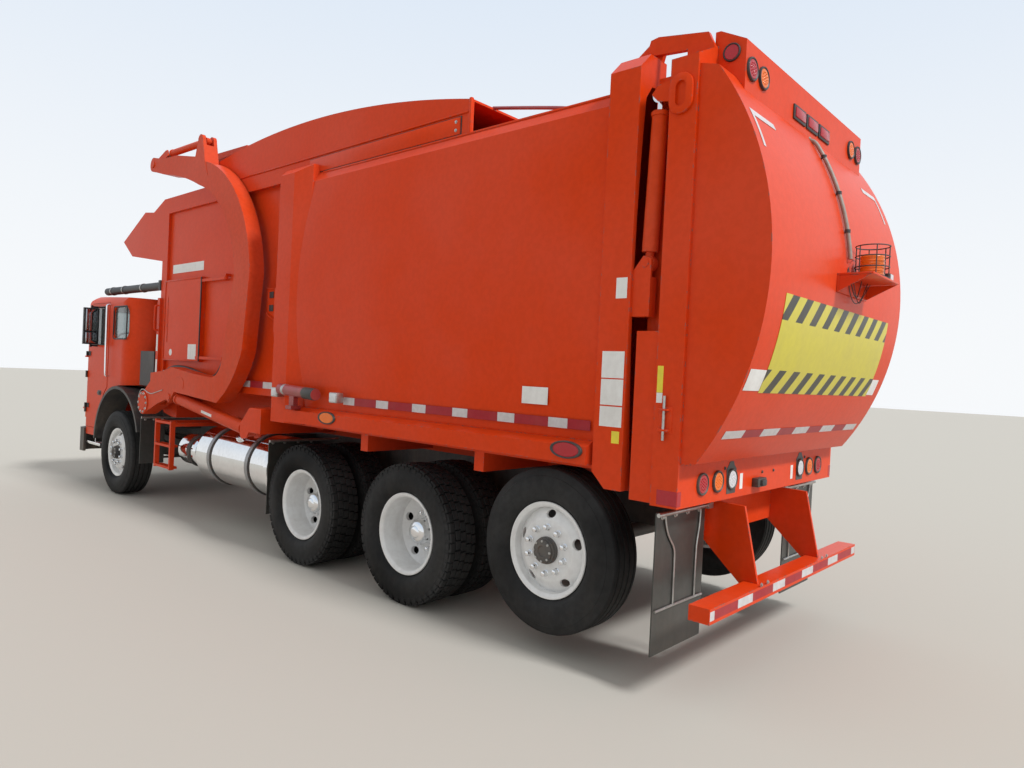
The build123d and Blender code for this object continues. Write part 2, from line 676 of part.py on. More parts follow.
# Load body: a bowed sheet tunnel with a bolster in front, a post at the rear and a rail along each side
CAP_DROP = 60.0
POST_BEVEL = 100.0
PLATE_WALL = 18.0
with BuildPart() as load_body:
    with BuildSketch(Plane.XZ.offset(-BODY_REAR_Y)):
        body_outline(0)
    extrude(amount=BODY_REAR_Y - BODY_FRONT_Y)
    for side in (1, -1):
        with BuildSketch(Plane.XY.offset(RIB_LOW_Z)) as rib:
            with BuildLine():
                Polyline(
                    (side * (HOOD_X + SEAT_GAP), BODY_FRONT_Y),
                    (side * RIB_X, BODY_FRONT_Y),
                    (side * RIB_X, RIB_FLAT_Y),
                    (side * (BODY_SIDE_X + 10), RIB_REAR_Y),
                    (side * (HOOD_X + SEAT_GAP), RIB_REAR_Y),
                    close=True,
                )
            make_face()
        extrude(rib.sketch, amount=RIB_TOP_Z - RIB_LOW_Z)
        end_plate(
            (
                (side * (RIB_X - CAP_DROP), RIB_TOP_Z + 1),
                (side * (RIB_X + 1), RIB_TOP_Z - CAP_DROP),
                (side * (RIB_X + 1), RIB_TOP_Z + 1),
            ),
            BODY_FRONT_Y - 1,
            RIB_REAR_Y + 1,
            mode=Mode.SUBTRACT,
        )
        side_plate(
            (
                (POST_FRONT_Y, POST_LOW_Z + 90),
                (POST_FRONT_Y + 90, POST_LOW_Z),
                (BODY_REAR_Y, POST_LOW_Z),
                (BODY_REAR_Y, POST_TOP_Z),
                (POST_FRONT_Y, POST_TOP_Z),
            ),
            side * POST_IN_X,
            side * RIB_X,
        )
        end_plate(
            (
                (side * (RIB_X - POST_BEVEL), POST_TOP_Z + 1),
                (side * (RIB_X + 1), POST_TOP_Z - POST_BEVEL),
                (side * (RIB_X + 1), POST_TOP_Z + 1),
            ),
            POST_FRONT_Y - 1,
            BODY_REAR_Y + 1,
            mode=Mode.SUBTRACT,
        )
        end_plate(
            (
                (side * (BODY_LOW_X - 20), FENDER_LOW_Z),
                (side * FENDER_X, FENDER_LOW_Z),
                (side * FENDER_X, RAIL_TOP_SIDE_Z - 30),
                (side * (BODY_SIDE_X + 30), RAIL_TOP_SIDE_Z),
                (side * (BODY_LOW_X - 20), RAIL_TOP_SIDE_Z),
            ),
            FENDER_FRONT_Y,
            FENDER_REAR_Y,
        )
    with BuildSketch(Plane.XZ.offset(-BODY_REAR_Y - 1)) as inside:
        body_outline(SHEET)
    extrude(inside.sketch, amount=BODY_REAR_Y - BODY_FRONT_Y - FRONT_WALL + 1, mode=Mode.SUBTRACT)
    block(
        (-HOPPER_IN_X, HOPPER_IN_X),
        (BODY_FRONT_Y - 1, BODY_FRONT_Y + FRONT_WALL + 1),
        (HOPPER_FLOOR_Z + HOPPER_SHEET, BODY_EDGE_Z - 10),
        mode=Mode.SUBTRACT,
    )
    for side in (1, -1):
        # Stop of the lifting arm: a plate in front of the rib, with a gusset
        side_plate(
            (
                (BODY_FRONT_Y, 2400),
                (BODY_FRONT_Y - 380, 2430),
                (BODY_FRONT_Y - 370, 2180),
                (BODY_FRONT_Y, 2000),
            ),
            side * (HOPPER_X + 4),
            side * (HOPPER_X + 4 + PLATE_WALL),
        )
        block((side * (HOPPER_X + 4), side * RIB_X), (BODY_FRONT_Y - PLATE_WALL, BODY_FRONT_Y), (2000, 2400))
        # Lug of the rear door's hinge
        with BuildSketch(Plane.YZ.offset(side * HINGE_X)) as lug:
            with BuildLine():
                Polyline(
                    (BODY_REAR_Y, POST_TOP_Z - 5),
                    (HINGE_Y + 50, HINGE_Z),
                    (HINGE_Y + 30, HINGE_Z + 50),
                    (HINGE_Y - 30, HINGE_Z + 55),
                    (POST_FRONT_Y, HINGE_Z - 50),
                    (POST_FRONT_Y, POST_TOP_Z - 5),
                    close=True,
                )
            make_face()
            with Locations((HINGE_Y, HINGE_Z)):
                Circle(HINGE_PIN_R + RUN_GAP, mode=Mode.SUBTRACT)
        extrude(lug.sketch, amount=side * HINGE_PLATE)
        # Hooked bracket of the rear door's cylinder, behind the post
        side_plate(
            (
                (BODY_REAR_Y - 1, TAIL_HOOK_Z),
                (TAIL_BASE_PIN[0] + 40, TAIL_HOOK_Z),
                (TAIL_BASE_PIN[0] + 40, TAIL_BASE_PIN[1] + 20),
                (TAIL_BASE_PIN[0] - 10, TAIL_BASE_PIN[1] + 40),
                (BODY_REAR_Y - 1, TAIL_BASE_PIN[1] - 43),
            ),
            side * (TAIL_CYL_X + 28),
            side * (TAIL_CYL_X + 28 + PLATE_WALL),
        )
        block(
            (side * (TAIL_CYL_X - 20), side * (TAIL_CYL_X + 28)),
            (BODY_REAR_Y - 1, TAIL_BASE_PIN[0] + 40),
            (TAIL_HOOK_Z, TAIL_BASE_PIN[1] - 78),
        )
        cross_bar((side * (TAIL_CYL_X - 26), side * (TAIL_CYL_X + 50)), TAIL_BASE_PIN, TAIL_PIN_R)
finish(load_body.part, "load_body")

# Hopper: open on top and at the rear, a recessed panel in each side, with the shield over the cab in front
RECESS_X = HOPPER_X - RECESS
HATCH_HINGE = (HOPPER_X + 14, -1050.0)
HATCH_PIN_R = 10.0
HATCH_EYE_R = 22.0
STRAP_Z = (HATCH_Z[0] + 30, HATCH_Z[1] - 60)
STRAP_HIGH = 30.0
SHIELD_SHEET = 16.0
SHIELD_HIGH = 730.0
FRONT_POST_HIGH = 1020.0
# Points of the shield's cheek and of its roof, ahead of and below the hopper's front top edge
SHIELD_CHEEK = ((300.0, 120.0), (560.0, 90.0), (1220.0, 400.0), (920.0, 605.0))
SHIELD_ROOF = ((-1.0, 30.0), (300.0, 150.0), (560.0, 120.0), (1180.0, 410.0))
with BuildPart() as hopper:
    side_plate(
        (
            (HOPPER_FRONT_Y, HOPPER_FLOOR_Z),
            (BODY_FRONT_Y - SEAT_GAP, HOPPER_FLOOR_Z),
            (BODY_FRONT_Y - SEAT_GAP, HOPPER_REAR_Z),
            (HOOD_FRONT_Y, HOPPER_FRONT_Z),
            (HOPPER_FRONT_Y, HOPPER_FRONT_Z),
        ),
        -HOPPER_X,
        HOPPER_X,
    )
    block(
        (-HOPPER_IN_X, HOPPER_IN_X),
        (HOPPER_FRONT_Y + HOPPER_SHEET, BODY_FRONT_Y + 1),
        (HOPPER_FLOOR_Z + HOPPER_SHEET, HOPPER_FRONT_Z + 1),
        mode=Mode.SUBTRACT,
    )
    for side in (1, -1):
        block(
            (side * RECESS_X, side * (HOPPER_X + 1)),
            (HOPPER_FRONT_Y + 140, BODY_FRONT_Y - 150),
            (HOPPER_FLOOR_Z + 130, HOPPER_REAR_Z - 70),
            mode=Mode.SUBTRACT,
        )
        block(
            (side * HOPPER_IN_X, side * (HOPPER_X + 35)),
            (HOPPER_FRONT_Y, HOPPER_FRONT_Y + 60),
            (HOPPER_FLOOR_Z, HOPPER_FLOOR_Z + FRONT_POST_HIGH),
        )
        # Cheek of the shield
        side_plate(
            (
                (HOPPER_FRONT_Y + 1, HOPPER_FRONT_Z),
                *((HOPPER_FRONT_Y - ahead, HOPPER_FRONT_Z - down) for ahead, down in SHIELD_CHEEK),
                (HOPPER_FRONT_Y + 1, HOPPER_FRONT_Z - SHIELD_HIGH),
            ),
            side * (HOPPER_X - SHIELD_SHEET),
            side * HOPPER_X,
        )
    # Sloping top of the shield
    shield_top = [(HOPPER_FRONT_Y - ahead, HOPPER_FRONT_Z - down) for ahead, down in SHIELD_ROOF]
    side_plate(
        (*shield_top, *((y, z - SHIELD_SHEET) for y, z in reversed(shield_top))),
        -HOPPER_X,
        HOPPER_X,
    )
    # Doorway behind the side hatch, and the pin it swings on
    block(
        (HOPPER_IN_X - 1, HOPPER_X + 1),
        (HATCH_Y[0] + 60, HATCH_Y[1] - 60),
        (HATCH_Z[0] + 60, HATCH_Z[1] - 60),
        mode=Mode.SUBTRACT,
    )
    for strap_z in STRAP_Z:
        block(
            (RECESS_X - 1, HATCH_HINGE[0] + 12),
            (HATCH_HINGE[1] - 15, HATCH_HINGE[1] + 15),
            (strap_z + STRAP_HIGH + 2, strap_z + 2 * STRAP_HIGH),
        )
        bar((*HATCH_HINGE, strap_z - 10), (*HATCH_HINGE, strap_z + 2 * STRAP_HIGH), HATCH_PIN_R)
finish(hopper.part, "hopper")

# Side hatch of the hopper, on two straps that run back to a vertical pin
with BuildPart() as hatch:
    block((RECESS_X + SEAT_GAP, HOPPER_X + 12), HATCH_Y, HATCH_Z)
    for strap_z in STRAP_Z:
        block(
            (HOPPER_X + 6, HOPPER_X + 20),
            (HATCH_Y[1] - 80, HATCH_HINGE[1] - HATCH_PIN_R - 4),
            (strap_z, strap_z + STRAP_HIGH),
        )
        bar((*HATCH_HINGE, strap_z), (*HATCH_HINGE, strap_z + STRAP_HIGH), HATCH_EYE_R)
        bar(
            (*HATCH_HINGE, strap_z - 1),
            (*HATCH_HINGE, strap_z + STRAP_HIGH + 1),
            HATCH_PIN_R + RUN_GAP,
            mode=Mode.SUBTRACT,
        )
finish(hatch.part, "hopper_hatch")

# Hood: an arched cover over the front of the load body, open at both ends
HOOD_SHEET = 16.0
COVER_X = HOOD_X - HOOD_SHEET - 6
COVER_LONG = 1400.0
COVER_WALL = 30.0
with BuildPart() as hood:
    for inset, mode in ((0, Mode.ADD), (HOOD_SHEET, Mode.SUBTRACT)):
        with BuildSketch(Plane.YZ.offset(-HOOD_X + inset)) as side_view:
            with BuildLine():
                ThreePointArc(
                    (HOOD_FRONT_Y, HOOD_FRONT_Z - inset),
                    (HOOD_MID_Y, HOOD_MID_Z - inset),
                    (HOOD_REAR_Y, HOOD_REAR_Z - inset),
                )
                Polyline(
                    (HOOD_REAR_Y, HOOD_REAR_Z - inset),
                    (HOOD_REAR_Y, HOOD_LOW_Z - 2 * inset),
                    (HOOD_FRONT_Y, HOOD_LOW_Z - 2 * inset),
                    (HOOD_FRONT_Y, HOOD_FRONT_Z - inset),
                )
            make_face()
        extrude(side_view.sketch, amount=2 * (HOOD_X - inset), mode=mode)
    for side in (1, -1):
        block(
            (side * (COVER_X - 10), side * (HOOD_X - HOOD_SHEET + 1)),
            (HOOD_FRONT_Y, HOOD_FRONT_Y + COVER_LONG + 60),
            (HOPPER_FRONT_Z - 40, HOPPER_FRONT_Z),
        )
finish(hood.part, "hood")

# Sliding hopper cover, stored under the hood on its runners
with BuildPart() as cover:
    block(
        (-COVER_X, COVER_X),
        (HOOD_FRONT_Y + 30, HOOD_FRONT_Y + 30 + COVER_LONG),
        (HOPPER_FRONT_Z + SEAT_GAP, HOPPER_FRONT_Z + SEAT_GAP + COVER_WALL),
    )
finish(cover.part, "hopper_cover")


# Lifting arms: box-section arms on one shaft
ROD_SLOT = (1128.0, 1202.0)
EYE_WANDER = 275.0  # room along the arm for the rod's eye, which isn't held to it
TIP_SLOT = (1125.0, 1205.0)
FORK_SHAFT_R = 38.0
with BuildPart() as arms:
    for side in (1, -1):
        with BuildSketch(Plane.YZ.offset(side * ARM_IN_X)) as arm:
            with BuildLine():
                Polyline(
                    (ARM_PIVOT[0], ARM_PIVOT[1] - ARM_HUB_R),
                    (-2175, 1204),
                    (-1955, 1262),
                    (LIFT_ROD_PIN[0], LIFT_ROD_PIN[1] - 60),
                    (LIFT_ROD_PIN[0] + 60, LIFT_ROD_PIN[1]),
                    (-1766, 1354),
                    (-790, 1293),
                )
                ThreePointArc((-790, 1293), (-479, 1549), (-316, 1828))
                Line((-316, 1828), (-232, 2560))
                ThreePointArc((-232, 2560), (-454, 3205), (-1252, 3764))
                Line((-1252, 3764), (FORK_BASE_PIN[0] + 55, FORK_BASE_PIN[1]))
                ThreePointArc(
                    (FORK_BASE_PIN[0] + 55, FORK_BASE_PIN[1]),
                    (FORK_BASE_PIN[0], FORK_BASE_PIN[1] + 55),
                    (FORK_BASE_PIN[0] - 55, FORK_BASE_PIN[1]),
                )
                Polyline(
                    (FORK_BASE_PIN[0] - 55, FORK_BASE_PIN[1]),
                    (-1480, 3850),
                    (-1944, 3940),
                    (-2300, 3960),
                    (FORK_PIVOT[0], FORK_PIVOT[1] + 80),
                )
                ThreePointArc(
                    (FORK_PIVOT[0], FORK_PIVOT[1] + 80),
                    (FORK_PIVOT[0] - 80, FORK_PIVOT[1]),
                    (FORK_PIVOT[0], FORK_PIVOT[1] - 80),
                )
                Line((FORK_PIVOT[0], FORK_PIVOT[1] - 80), (-2223, 3771))
                ThreePointArc((-2223, 3771), (-1760, 3673), (-1352, 3532))
                ThreePointArc((-1352, 3532), (-760, 3130), (-528, 2560))
                Line((-528, 2560), (-700, 1760))
                ThreePointArc((-700, 1760), (-775, 1605), (-915, 1542))
                Polyline(
                    (-915, 1542),
                    (-1346, 1565),
                    (-1865, 1621),
                    (-2059, 1573),
                    (-2392, 1540),
                    (-2398, 1442),
                    (ARM_PIVOT[0], ARM_PIVOT[1] + ARM_HUB_R),
                )
                ThreePointArc(
                    (ARM_PIVOT[0], ARM_PIVOT[1] + ARM_HUB_R),
                    (ARM_PIVOT[0] - ARM_HUB_R, ARM_PIVOT[1]),
                    (ARM_PIVOT[0], ARM_PIVOT[1] - ARM_HUB_R),
                )
            make_face()
        extrude(arm.sketch, amount=side * ARM_WIDE)
        side_plate(
            (
                (LIFT_ROD_PIN[0] - EYE_WANDER - 65, LIFT_ROD_PIN[1] - 240),
                (LIFT_ROD_PIN[0] + 300, LIFT_ROD_PIN[1] - 240),
                (LIFT_ROD_PIN[0] + 300, LIFT_ROD_PIN[1] + 62),
                (LIFT_ROD_PIN[0], LIFT_ROD_PIN[1] + 75),
                (LIFT_ROD_PIN[0] - EYE_WANDER / 2, LIFT_ROD_PIN[1] + 102),
                (LIFT_ROD_PIN[0] - EYE_WANDER, LIFT_ROD_PIN[1] + 75),
                (LIFT_ROD_PIN[0] - EYE_WANDER - 65, LIFT_ROD_PIN[1] + 10),
            ),
            side * ROD_SLOT[0],
            side * ROD_SLOT[1],
            mode=Mode.SUBTRACT,
        )
        side_plate(
            (
                (FORK_PIVOT[0] - 100, FORK_PIVOT[1] - 120),
                (FORK_PIVOT[0] + 320, FORK_PIVOT[1] - 200),
                (FORK_PIVOT[0] + 320, FORK_PIVOT[1] + 100),
                (FORK_PIVOT[0] - 100, FORK_PIVOT[1] + 100),
            ),
            side * TIP_SLOT[0],
            side * TIP_SLOT[1],
            mode=Mode.SUBTRACT,
        )
        side_plate(
            (
                (FORK_BASE_PIN[0] - 70, FORK_BASE_PIN[1] - 70),
                (FORK_BASE_PIN[0] + 70, FORK_BASE_PIN[1] - 70),
                (FORK_BASE_PIN[0] + 70, FORK_BASE_PIN[1] + 70),
                (FORK_BASE_PIN[0] - 70, FORK_BASE_PIN[1] + 70),
            ),
            side * TIP_SLOT[0],
            side * TIP_SLOT[1],
            mode=Mode.SUBTRACT,
        )
        cross_bar((side * TIP_SLOT[0], side * TIP_SLOT[1]), FORK_BASE_PIN, 20)
        cross_bar((side * ARM_IN_X, side * ARM_OUT_X), FORK_PIVOT, FORK_SHAFT_R + RUN_GAP, mode=Mode.SUBTRACT)
        cross_bar((side * ARM_OUT_X, side * (ARM_OUT_X + 12)), LIFT_ROD_PIN, 38)
    cross_bar((-ARM_OUT_X - 14, ARM_OUT_X + 14), ARM_PIVOT, ARM_SHAFT_R)
finish(arms.part, "lift_arms")


# Cylinders. Each is (start pin, end pin, middle X, barrel radius, rod radius, pin radius, eye width)
def unit(start, end):
    """Direction and length from one (Y, Z) point to another."""
    length = ((end[0] - start[0]) ** 2 + (end[1] - start[1]) ** 2) ** 0.5
    return ((end[0] - start[0]) / length, (end[1] - start[1]) / length), length


def along(start, direction, distance):
    return (start[0] + direction[0] * distance, start[1] + direction[1] * distance)


CYLINDERS = (
    # name, barrel pin, rod pin, middle X, barrel R, rod R, pin R, eye R, eye half width, gland from rod pin,
    # barrel from its pin
    ("lift", LIFT_BASE_PIN, LIFT_ROD_PIN, 1165.0, 62.0, 35.0, LIFT_PIN_R, 52.0, 34.0, 110.0, 115.0),
    ("fork", FORK_BASE_PIN, FORK_CRANK_PIN, 1165.0, 36.0, 18.0, FORK_PIN_R, 36.0, 21.0, 90.0, 66.0),
    ("tail", TAIL_BASE_PIN, TAIL_ROD_PIN, TAIL_CYL_X, 46.0, 25.0, TAIL_PIN_R, 44.0, 24.0, 88.0, 64.0),
)
for name, base, eye, mid_x, barrel_r, rod_r, pin_r, eye_r, eye_half, gland, barrel_from in CYLINDERS:
    direction, length = unit(base, eye)
    with BuildPart() as barrel:
        for side in (1, -1):
            cross_bar((side * mid_x - eye_half, side * mid_x + eye_half), base, eye_r)
            start, end = along(base, direction, barrel_from), along(base, direction, length - gland)
            bar((side * mid_x, *base), (side * mid_x, *start), eye_half)
            bar((side * mid_x, *start), (side * mid_x, *end), barrel_r)
            inner = along(base, direction, barrel_from + 10)
            bar((side * mid_x, *inner), (side * mid_x, *end), rod_r + RUN_GAP, mode=Mode.SUBTRACT)
            cross_bar(
                (side * mid_x - barrel_r - 5, side * mid_x + barrel_r + 5), base, pin_r + RUN_GAP, mode=Mode.SUBTRACT
            )
    finish(barrel.part, f"{name}_barrels")
    with BuildPart() as rod:
        for side in (1, -1):
            cross_bar((side * mid_x - eye_half, side * mid_x + eye_half), eye, eye_r)
            start, end = along(base, direction, barrel_from + 30), along(base, direction, length - eye_r * 0.6)
            bar((side * mid_x, *start), (side * mid_x, *end), rod_r)
            cross_bar(
                (side * mid_x - eye_half - 5, side * mid_x + eye_half + 5), eye, pin_r + RUN_GAP, mode=Mode.SUBTRACT
            )
    finish(rod.part, f"{name}_rods")

# Forks: a shaft between the arm tips with a crank at each end and two folded tines
CRANK = (1131.0, 1199.0)
CRANK_PLATE = 12.0
TINE_Z = 4055.0
TINE_HIGH = 90.0
with BuildPart() as forks:
    cross_bar((-ARM_IN_X + 8, ARM_IN_X - 8), FORK_PIVOT, FORK_BAR_R)
    cross_bar((-ARM_OUT_X - 10, ARM_OUT_X + 10), FORK_PIVOT, FORK_SHAFT_R)
    for side in (1, -1):
        for crank_x in (CRANK[0], CRANK[1] - CRANK_PLATE):
            side_plate(
                (
                    (FORK_PIVOT[0] - 50, FORK_PIVOT[1] - 40),
                    (FORK_PIVOT[0] + 30, FORK_PIVOT[1] - 55),
                    (FORK_CRANK_PIN[0] + 40, FORK_CRANK_PIN[1] - 25),
                    (FORK_CRANK_PIN[0] + 20, FORK_CRANK_PIN[1] + 40),
                    (FORK_CRANK_PIN[0] - 30, FORK_CRANK_PIN[1] + 38),
                    (FORK_PIVOT[0] - 40, FORK_PIVOT[1] + 50),
                ),
                side * crank_x,
                side * (crank_x + CRANK_PLATE),
            )
        side_plate(
            (
                (FORK_PIVOT[0] - 90, FORK_PIVOT[1] - 20),
                (FORK_PIVOT[0] + 70, FORK_PIVOT[1] - 20),
                (FORK_PIVOT[0] + 180, TINE_Z - TINE_HIGH / 2),
                (FORK_PIVOT[0] + FORK_LONG, TINE_Z - TINE_HIGH / 2 + 20),
                (FORK_PIVOT[0] + FORK_LONG, TINE_Z + TINE_HIGH / 2 - 30),
                (FORK_PIVOT[0] + 200, TINE_Z + TINE_HIGH / 2),
                (FORK_PIVOT[0] - 40, TINE_Z + TINE_HIGH / 2),
            ),
            side * FORK_X,
            side * (FORK_X + FORK_WIDE),
        )
finish(forks.part, "forks")

# Rear door: a hollow bulge between flat cheeks, on a frame with posts, a lamp bar below and a lamp box above
DOOR_SHEET = 14.0
SEAL_X = (1000.0, 1075.0)
SEAL_TOP_Z = 3370.0
DOOR_CAP_Z = 3558.0
DOOR_CAP_X = 986.0
POST_IN = 90.0
BULGE_LOW = (DOOR_REAR_Y + 87.0, 1290.0)
BULGE_TOP = (DOOR_REAR_Y + 107.0, 3370.0)
LAMP_BOX_X = 980.0
LAMP_BOX_LOW_Z = 3280.0
LAMP_BOX_TOP_Z = 3560.0
LAMP_BOX_FRONT_Z = 3640.0
LAMP_BOX_REAR_Y = DOOR_REAR_Y + 162.0
DOOR_LUG_X = HINGE_X + HINGE_PLATE + 5


def bulge_outline(inset):
    """The bulge from the side: a flat front at the posts and an arc behind, smaller by the inset."""
    low, top = (BULGE_LOW[0] - inset, BULGE_LOW[1] + inset), (BULGE_TOP[0] - inset, BULGE_TOP[1] - inset)
    with BuildLine() as outline:
        Polyline(top, (DOOR_POST_Y - 1, DOOR_TOP_Z - inset), (DOOR_POST_Y - 1, DOOR_BAR_Z - 20 + inset), low)
        ThreePointArc(low, (DOOR_BULGE_Y - inset, DOOR_BULGE_Z), top)
    make_face(outline.edges())


with BuildPart() as rear_door:
    with BuildSketch(Plane.YZ.offset(-DOOR_SHELL_X)) as bulge:
        bulge_outline(0)
    extrude(bulge.sketch, amount=2 * DOOR_SHELL_X)
    # Lamp bar along the bottom, its top running forward under the bulge
    block((-DOOR_X, DOOR_X), (DOOR_POST_Y, DOOR_REAR_Y), (DOOR_LOW_Z, DOOR_BAR_Z))
    # Top beam between the posts
    end_plate(
        (
            (-DOOR_X, SEAL_TOP_Z),
            (DOOR_X, SEAL_TOP_Z),
            (DOOR_X, DOOR_TOP_Z),
            (DOOR_CAP_X, DOOR_CAP_Z),
            (-DOOR_CAP_X, DOOR_CAP_Z),
            (-DOOR_X, DOOR_TOP_Z),
        ),
        DOOR_POST_Y,
        DOOR_REAR_Y,
    )
    with BuildSketch(Plane.YZ.offset(-DOOR_SHELL_X + DOOR_SHEET)) as inside:
        bulge_outline(DOOR_SHEET)
    extrude(inside.sketch, amount=2 * (DOOR_SHELL_X - DOOR_SHEET), mode=Mode.SUBTRACT)
    for side in (1, -1):
        # Post
        block((side * (DOOR_X - POST_IN), side * DOOR_X), (DOOR_POST_Y, DOOR_REAR_Y), (DOOR_LOW_Z, DOOR_TOP_Z))
        # Front plate below the cylinder
        block(
            (side * (DOOR_X - 60), side * (DOOR_X - 10)), (DOOR_FRONT_Y, DOOR_POST_Y + 1), (DOOR_LOW_Z + 10, 1990.0)
        )
        # Seal frame towards the body
        block(
            (side * SEAL_X[0], side * SEAL_X[1]), (DOOR_FRONT_Y, DOOR_POST_Y + 20), (DOOR_BAR_Z - 80, SEAL_TOP_Z)
        )
        block((side * SEAL_X[0], side * (DOOR_X - 10)), (DOOR_POST_Y, DOOR_POST_Y + 20), (DOOR_BAR_Z, SEAL_TOP_Z))
        # Clevis of the cylinder's rod
        for plate_x in (TAIL_CYL_X - 43, TAIL_CYL_X + 31):
            side_plate(
                (
                    (DOOR_POST_Y + 5, TAIL_ROD_PIN[1] - 60),
                    (TAIL_ROD_PIN[0], TAIL_ROD_PIN[1] - 42),
                    (TAIL_ROD_PIN[0] - 40, TAIL_ROD_PIN[1]),
                    (TAIL_ROD_PIN[0], TAIL_ROD_PIN[1] + 45),
                    (DOOR_POST_Y + 5, TAIL_ROD_PIN[1] + 60),
                ),
                side * plate_x,
                side * (plate_x + 12),
            )
        # Hinge lug and pin
        side_plate(
            (
                (HINGE_Y - 48, HINGE_Z - 15),
                (HINGE_Y - 30, HINGE_Z + 42),
                (HINGE_Y + 20, HINGE_Z + 50),
                (DOOR_REAR_Y - 40, HINGE_Z - 5),
                (DOOR_REAR_Y, DOOR_CAP_Z - 10),
                (DOOR_REAR_Y, DOOR_TOP_Z - 20),
                (DOOR_POST_Y, DOOR_TOP_Z - 20),
                (DOOR_POST_Y, DOOR_CAP_Z + 10),
                (HINGE_Y, HINGE_Z - 50),
            ),
            side * DOOR_LUG_X,
            side * (DOOR_LUG_X + HINGE_PLATE),
        )
        cross_bar((side * (HINGE_X - 6), side * (DOOR_LUG_X + 20)), (HINGE_Y, HINGE_Z), HINGE_PIN_R)
    block((-SEAL_X[1], SEAL_X[1]), (DOOR_FRONT_Y, DOOR_POST_Y + 20), (DOOR_BAR_Z - 80, DOOR_BAR_Z - 10))
    block((-SEAL_X[1], SEAL_X[1]), (DOOR_FRONT_Y, DOOR_POST_Y + 20), (SEAL_TOP_Z - 10, SEAL_TOP_Z + 50))
    # Lamp box behind the top beam
    side_plate(
        (
            (DOOR_REAR_Y - 20, LAMP_BOX_FRONT_Z),
            (DOOR_REAR_Y + 10, LAMP_BOX_FRONT_Z),
            (LAMP_BOX_REAR_Y, LAMP_BOX_TOP_Z),
            (LAMP_BOX_REAR_Y, LAMP_BOX_LOW_Z),
            (DOOR_REAR_Y - 20, BULGE_TOP[1] - DOOR_SHEET + 1),
        ),
        -LAMP_BOX_X,
        LAMP_BOX_X,
    )
finish(rear_door.part, "rear_door")

# Rear lamps: round ones in the bar, ovals and a middle row of squares on the box
LAMP_DEEP = 12.0
BAR_LAMP_R = 56.0
BAR_LAMP_Z = 1155.0
BAR_LAMPS_X = (910.0, 714.0, 530.0)
BOX_LAMP_Z = 3420.0
OVAL_LAMPS_X = (870.0, 706.0)
SQUARE_LAMPS_X = (-208.0, 0.0, 208.0)
with BuildPart() as rear_lamps:
    for side in (1, -1):
        for lamp_x in BAR_LAMPS_X:
            lamp_at = (side * lamp_x, DOOR_REAR_Y + SEAT_GAP, BAR_LAMP_Z)
            bar(lamp_at, (side * lamp_x, DOOR_REAR_Y + LAMP_DEEP, BAR_LAMP_Z), BAR_LAMP_R)
        for lamp_x in OVAL_LAMPS_X:
            lamp_plane = Plane(origin=(side * lamp_x, LAMP_BOX_REAR_Y + SEAT_GAP, BOX_LAMP_Z), z_dir=(0, 1, 0))
            with BuildSketch(lamp_plane) as oval:
                Ellipse(68, 30)
            extrude(oval.sketch, amount=LAMP_DEEP)
    for lamp_x in SQUARE_LAMPS_X:
        block(
            (lamp_x - 52, lamp_x + 52),
            (LAMP_BOX_REAR_Y + SEAT_GAP, LAMP_BOX_REAR_Y + LAMP_DEEP),
            (BOX_LAMP_Z - 50, BOX_LAMP_Z + 10),
        )
finish(rear_lamps.part, "rear_lamps")

# Warning lamp: a shelf on the bulge, a round lamp and the hoops of its guard
BEACON_X = -100.0
BEACON_Y = DOOR_BULGE_Y + 100.0
BEACON_R = 70.0
GUARD_R = 100.0
GUARD_SIDES = 12
SHELF_X = (-320.0, 220.0)
GUARD_WIRE_R = 5.0
SHELF_Z = 2400.0
BEACON_TOP_Z = 2600.0
SHELF_Y = DOOR_BULGE_Y + 1.2  # the bulge's arc runs 0.9 past its middle point
with BuildPart() as warning_lamp:
    block(SHELF_X, (SHELF_Y, SHELF_Y + 12), (SHELF_Z - 110, SHELF_Z))
    block(SHELF_X, (SHELF_Y, BEACON_Y + GUARD_R - 10), (SHELF_Z - 12, SHELF_Z))
    bar((BEACON_X, BEACON_Y, SHELF_Z - 1), (BEACON_X, BEACON_Y, SHELF_Z + 150), BEACON_R)
    for hoop_z in (SHELF_Z + 70, SHELF_Z + 140, BEACON_TOP_Z):
        with BuildSketch(Plane.XY.offset(hoop_z)) as hoop:
            with Locations((BEACON_X, BEACON_Y)):
                RegularPolygon(GUARD_R, GUARD_SIDES)
                RegularPolygon(GUARD_R - 2 * GUARD_WIRE_R, GUARD_SIDES, mode=Mode.SUBTRACT)
        extrude(hoop.sketch, amount=GUARD_WIRE_R)
    for post in range(6):
        turn = pi * post / 3
        post_x = BEACON_X + (GUARD_R - GUARD_WIRE_R) * cos(turn)
        post_y = BEACON_Y + (GUARD_R - GUARD_WIRE_R) * sin(turn)
        if post_y > SHELF_Y:
            bar((post_x, post_y, SHELF_Z - 1), (post_x, post_y, BEACON_TOP_Z + 1), GUARD_WIRE_R - 1)
finish(warning_lamp.part, "warning_lamp")

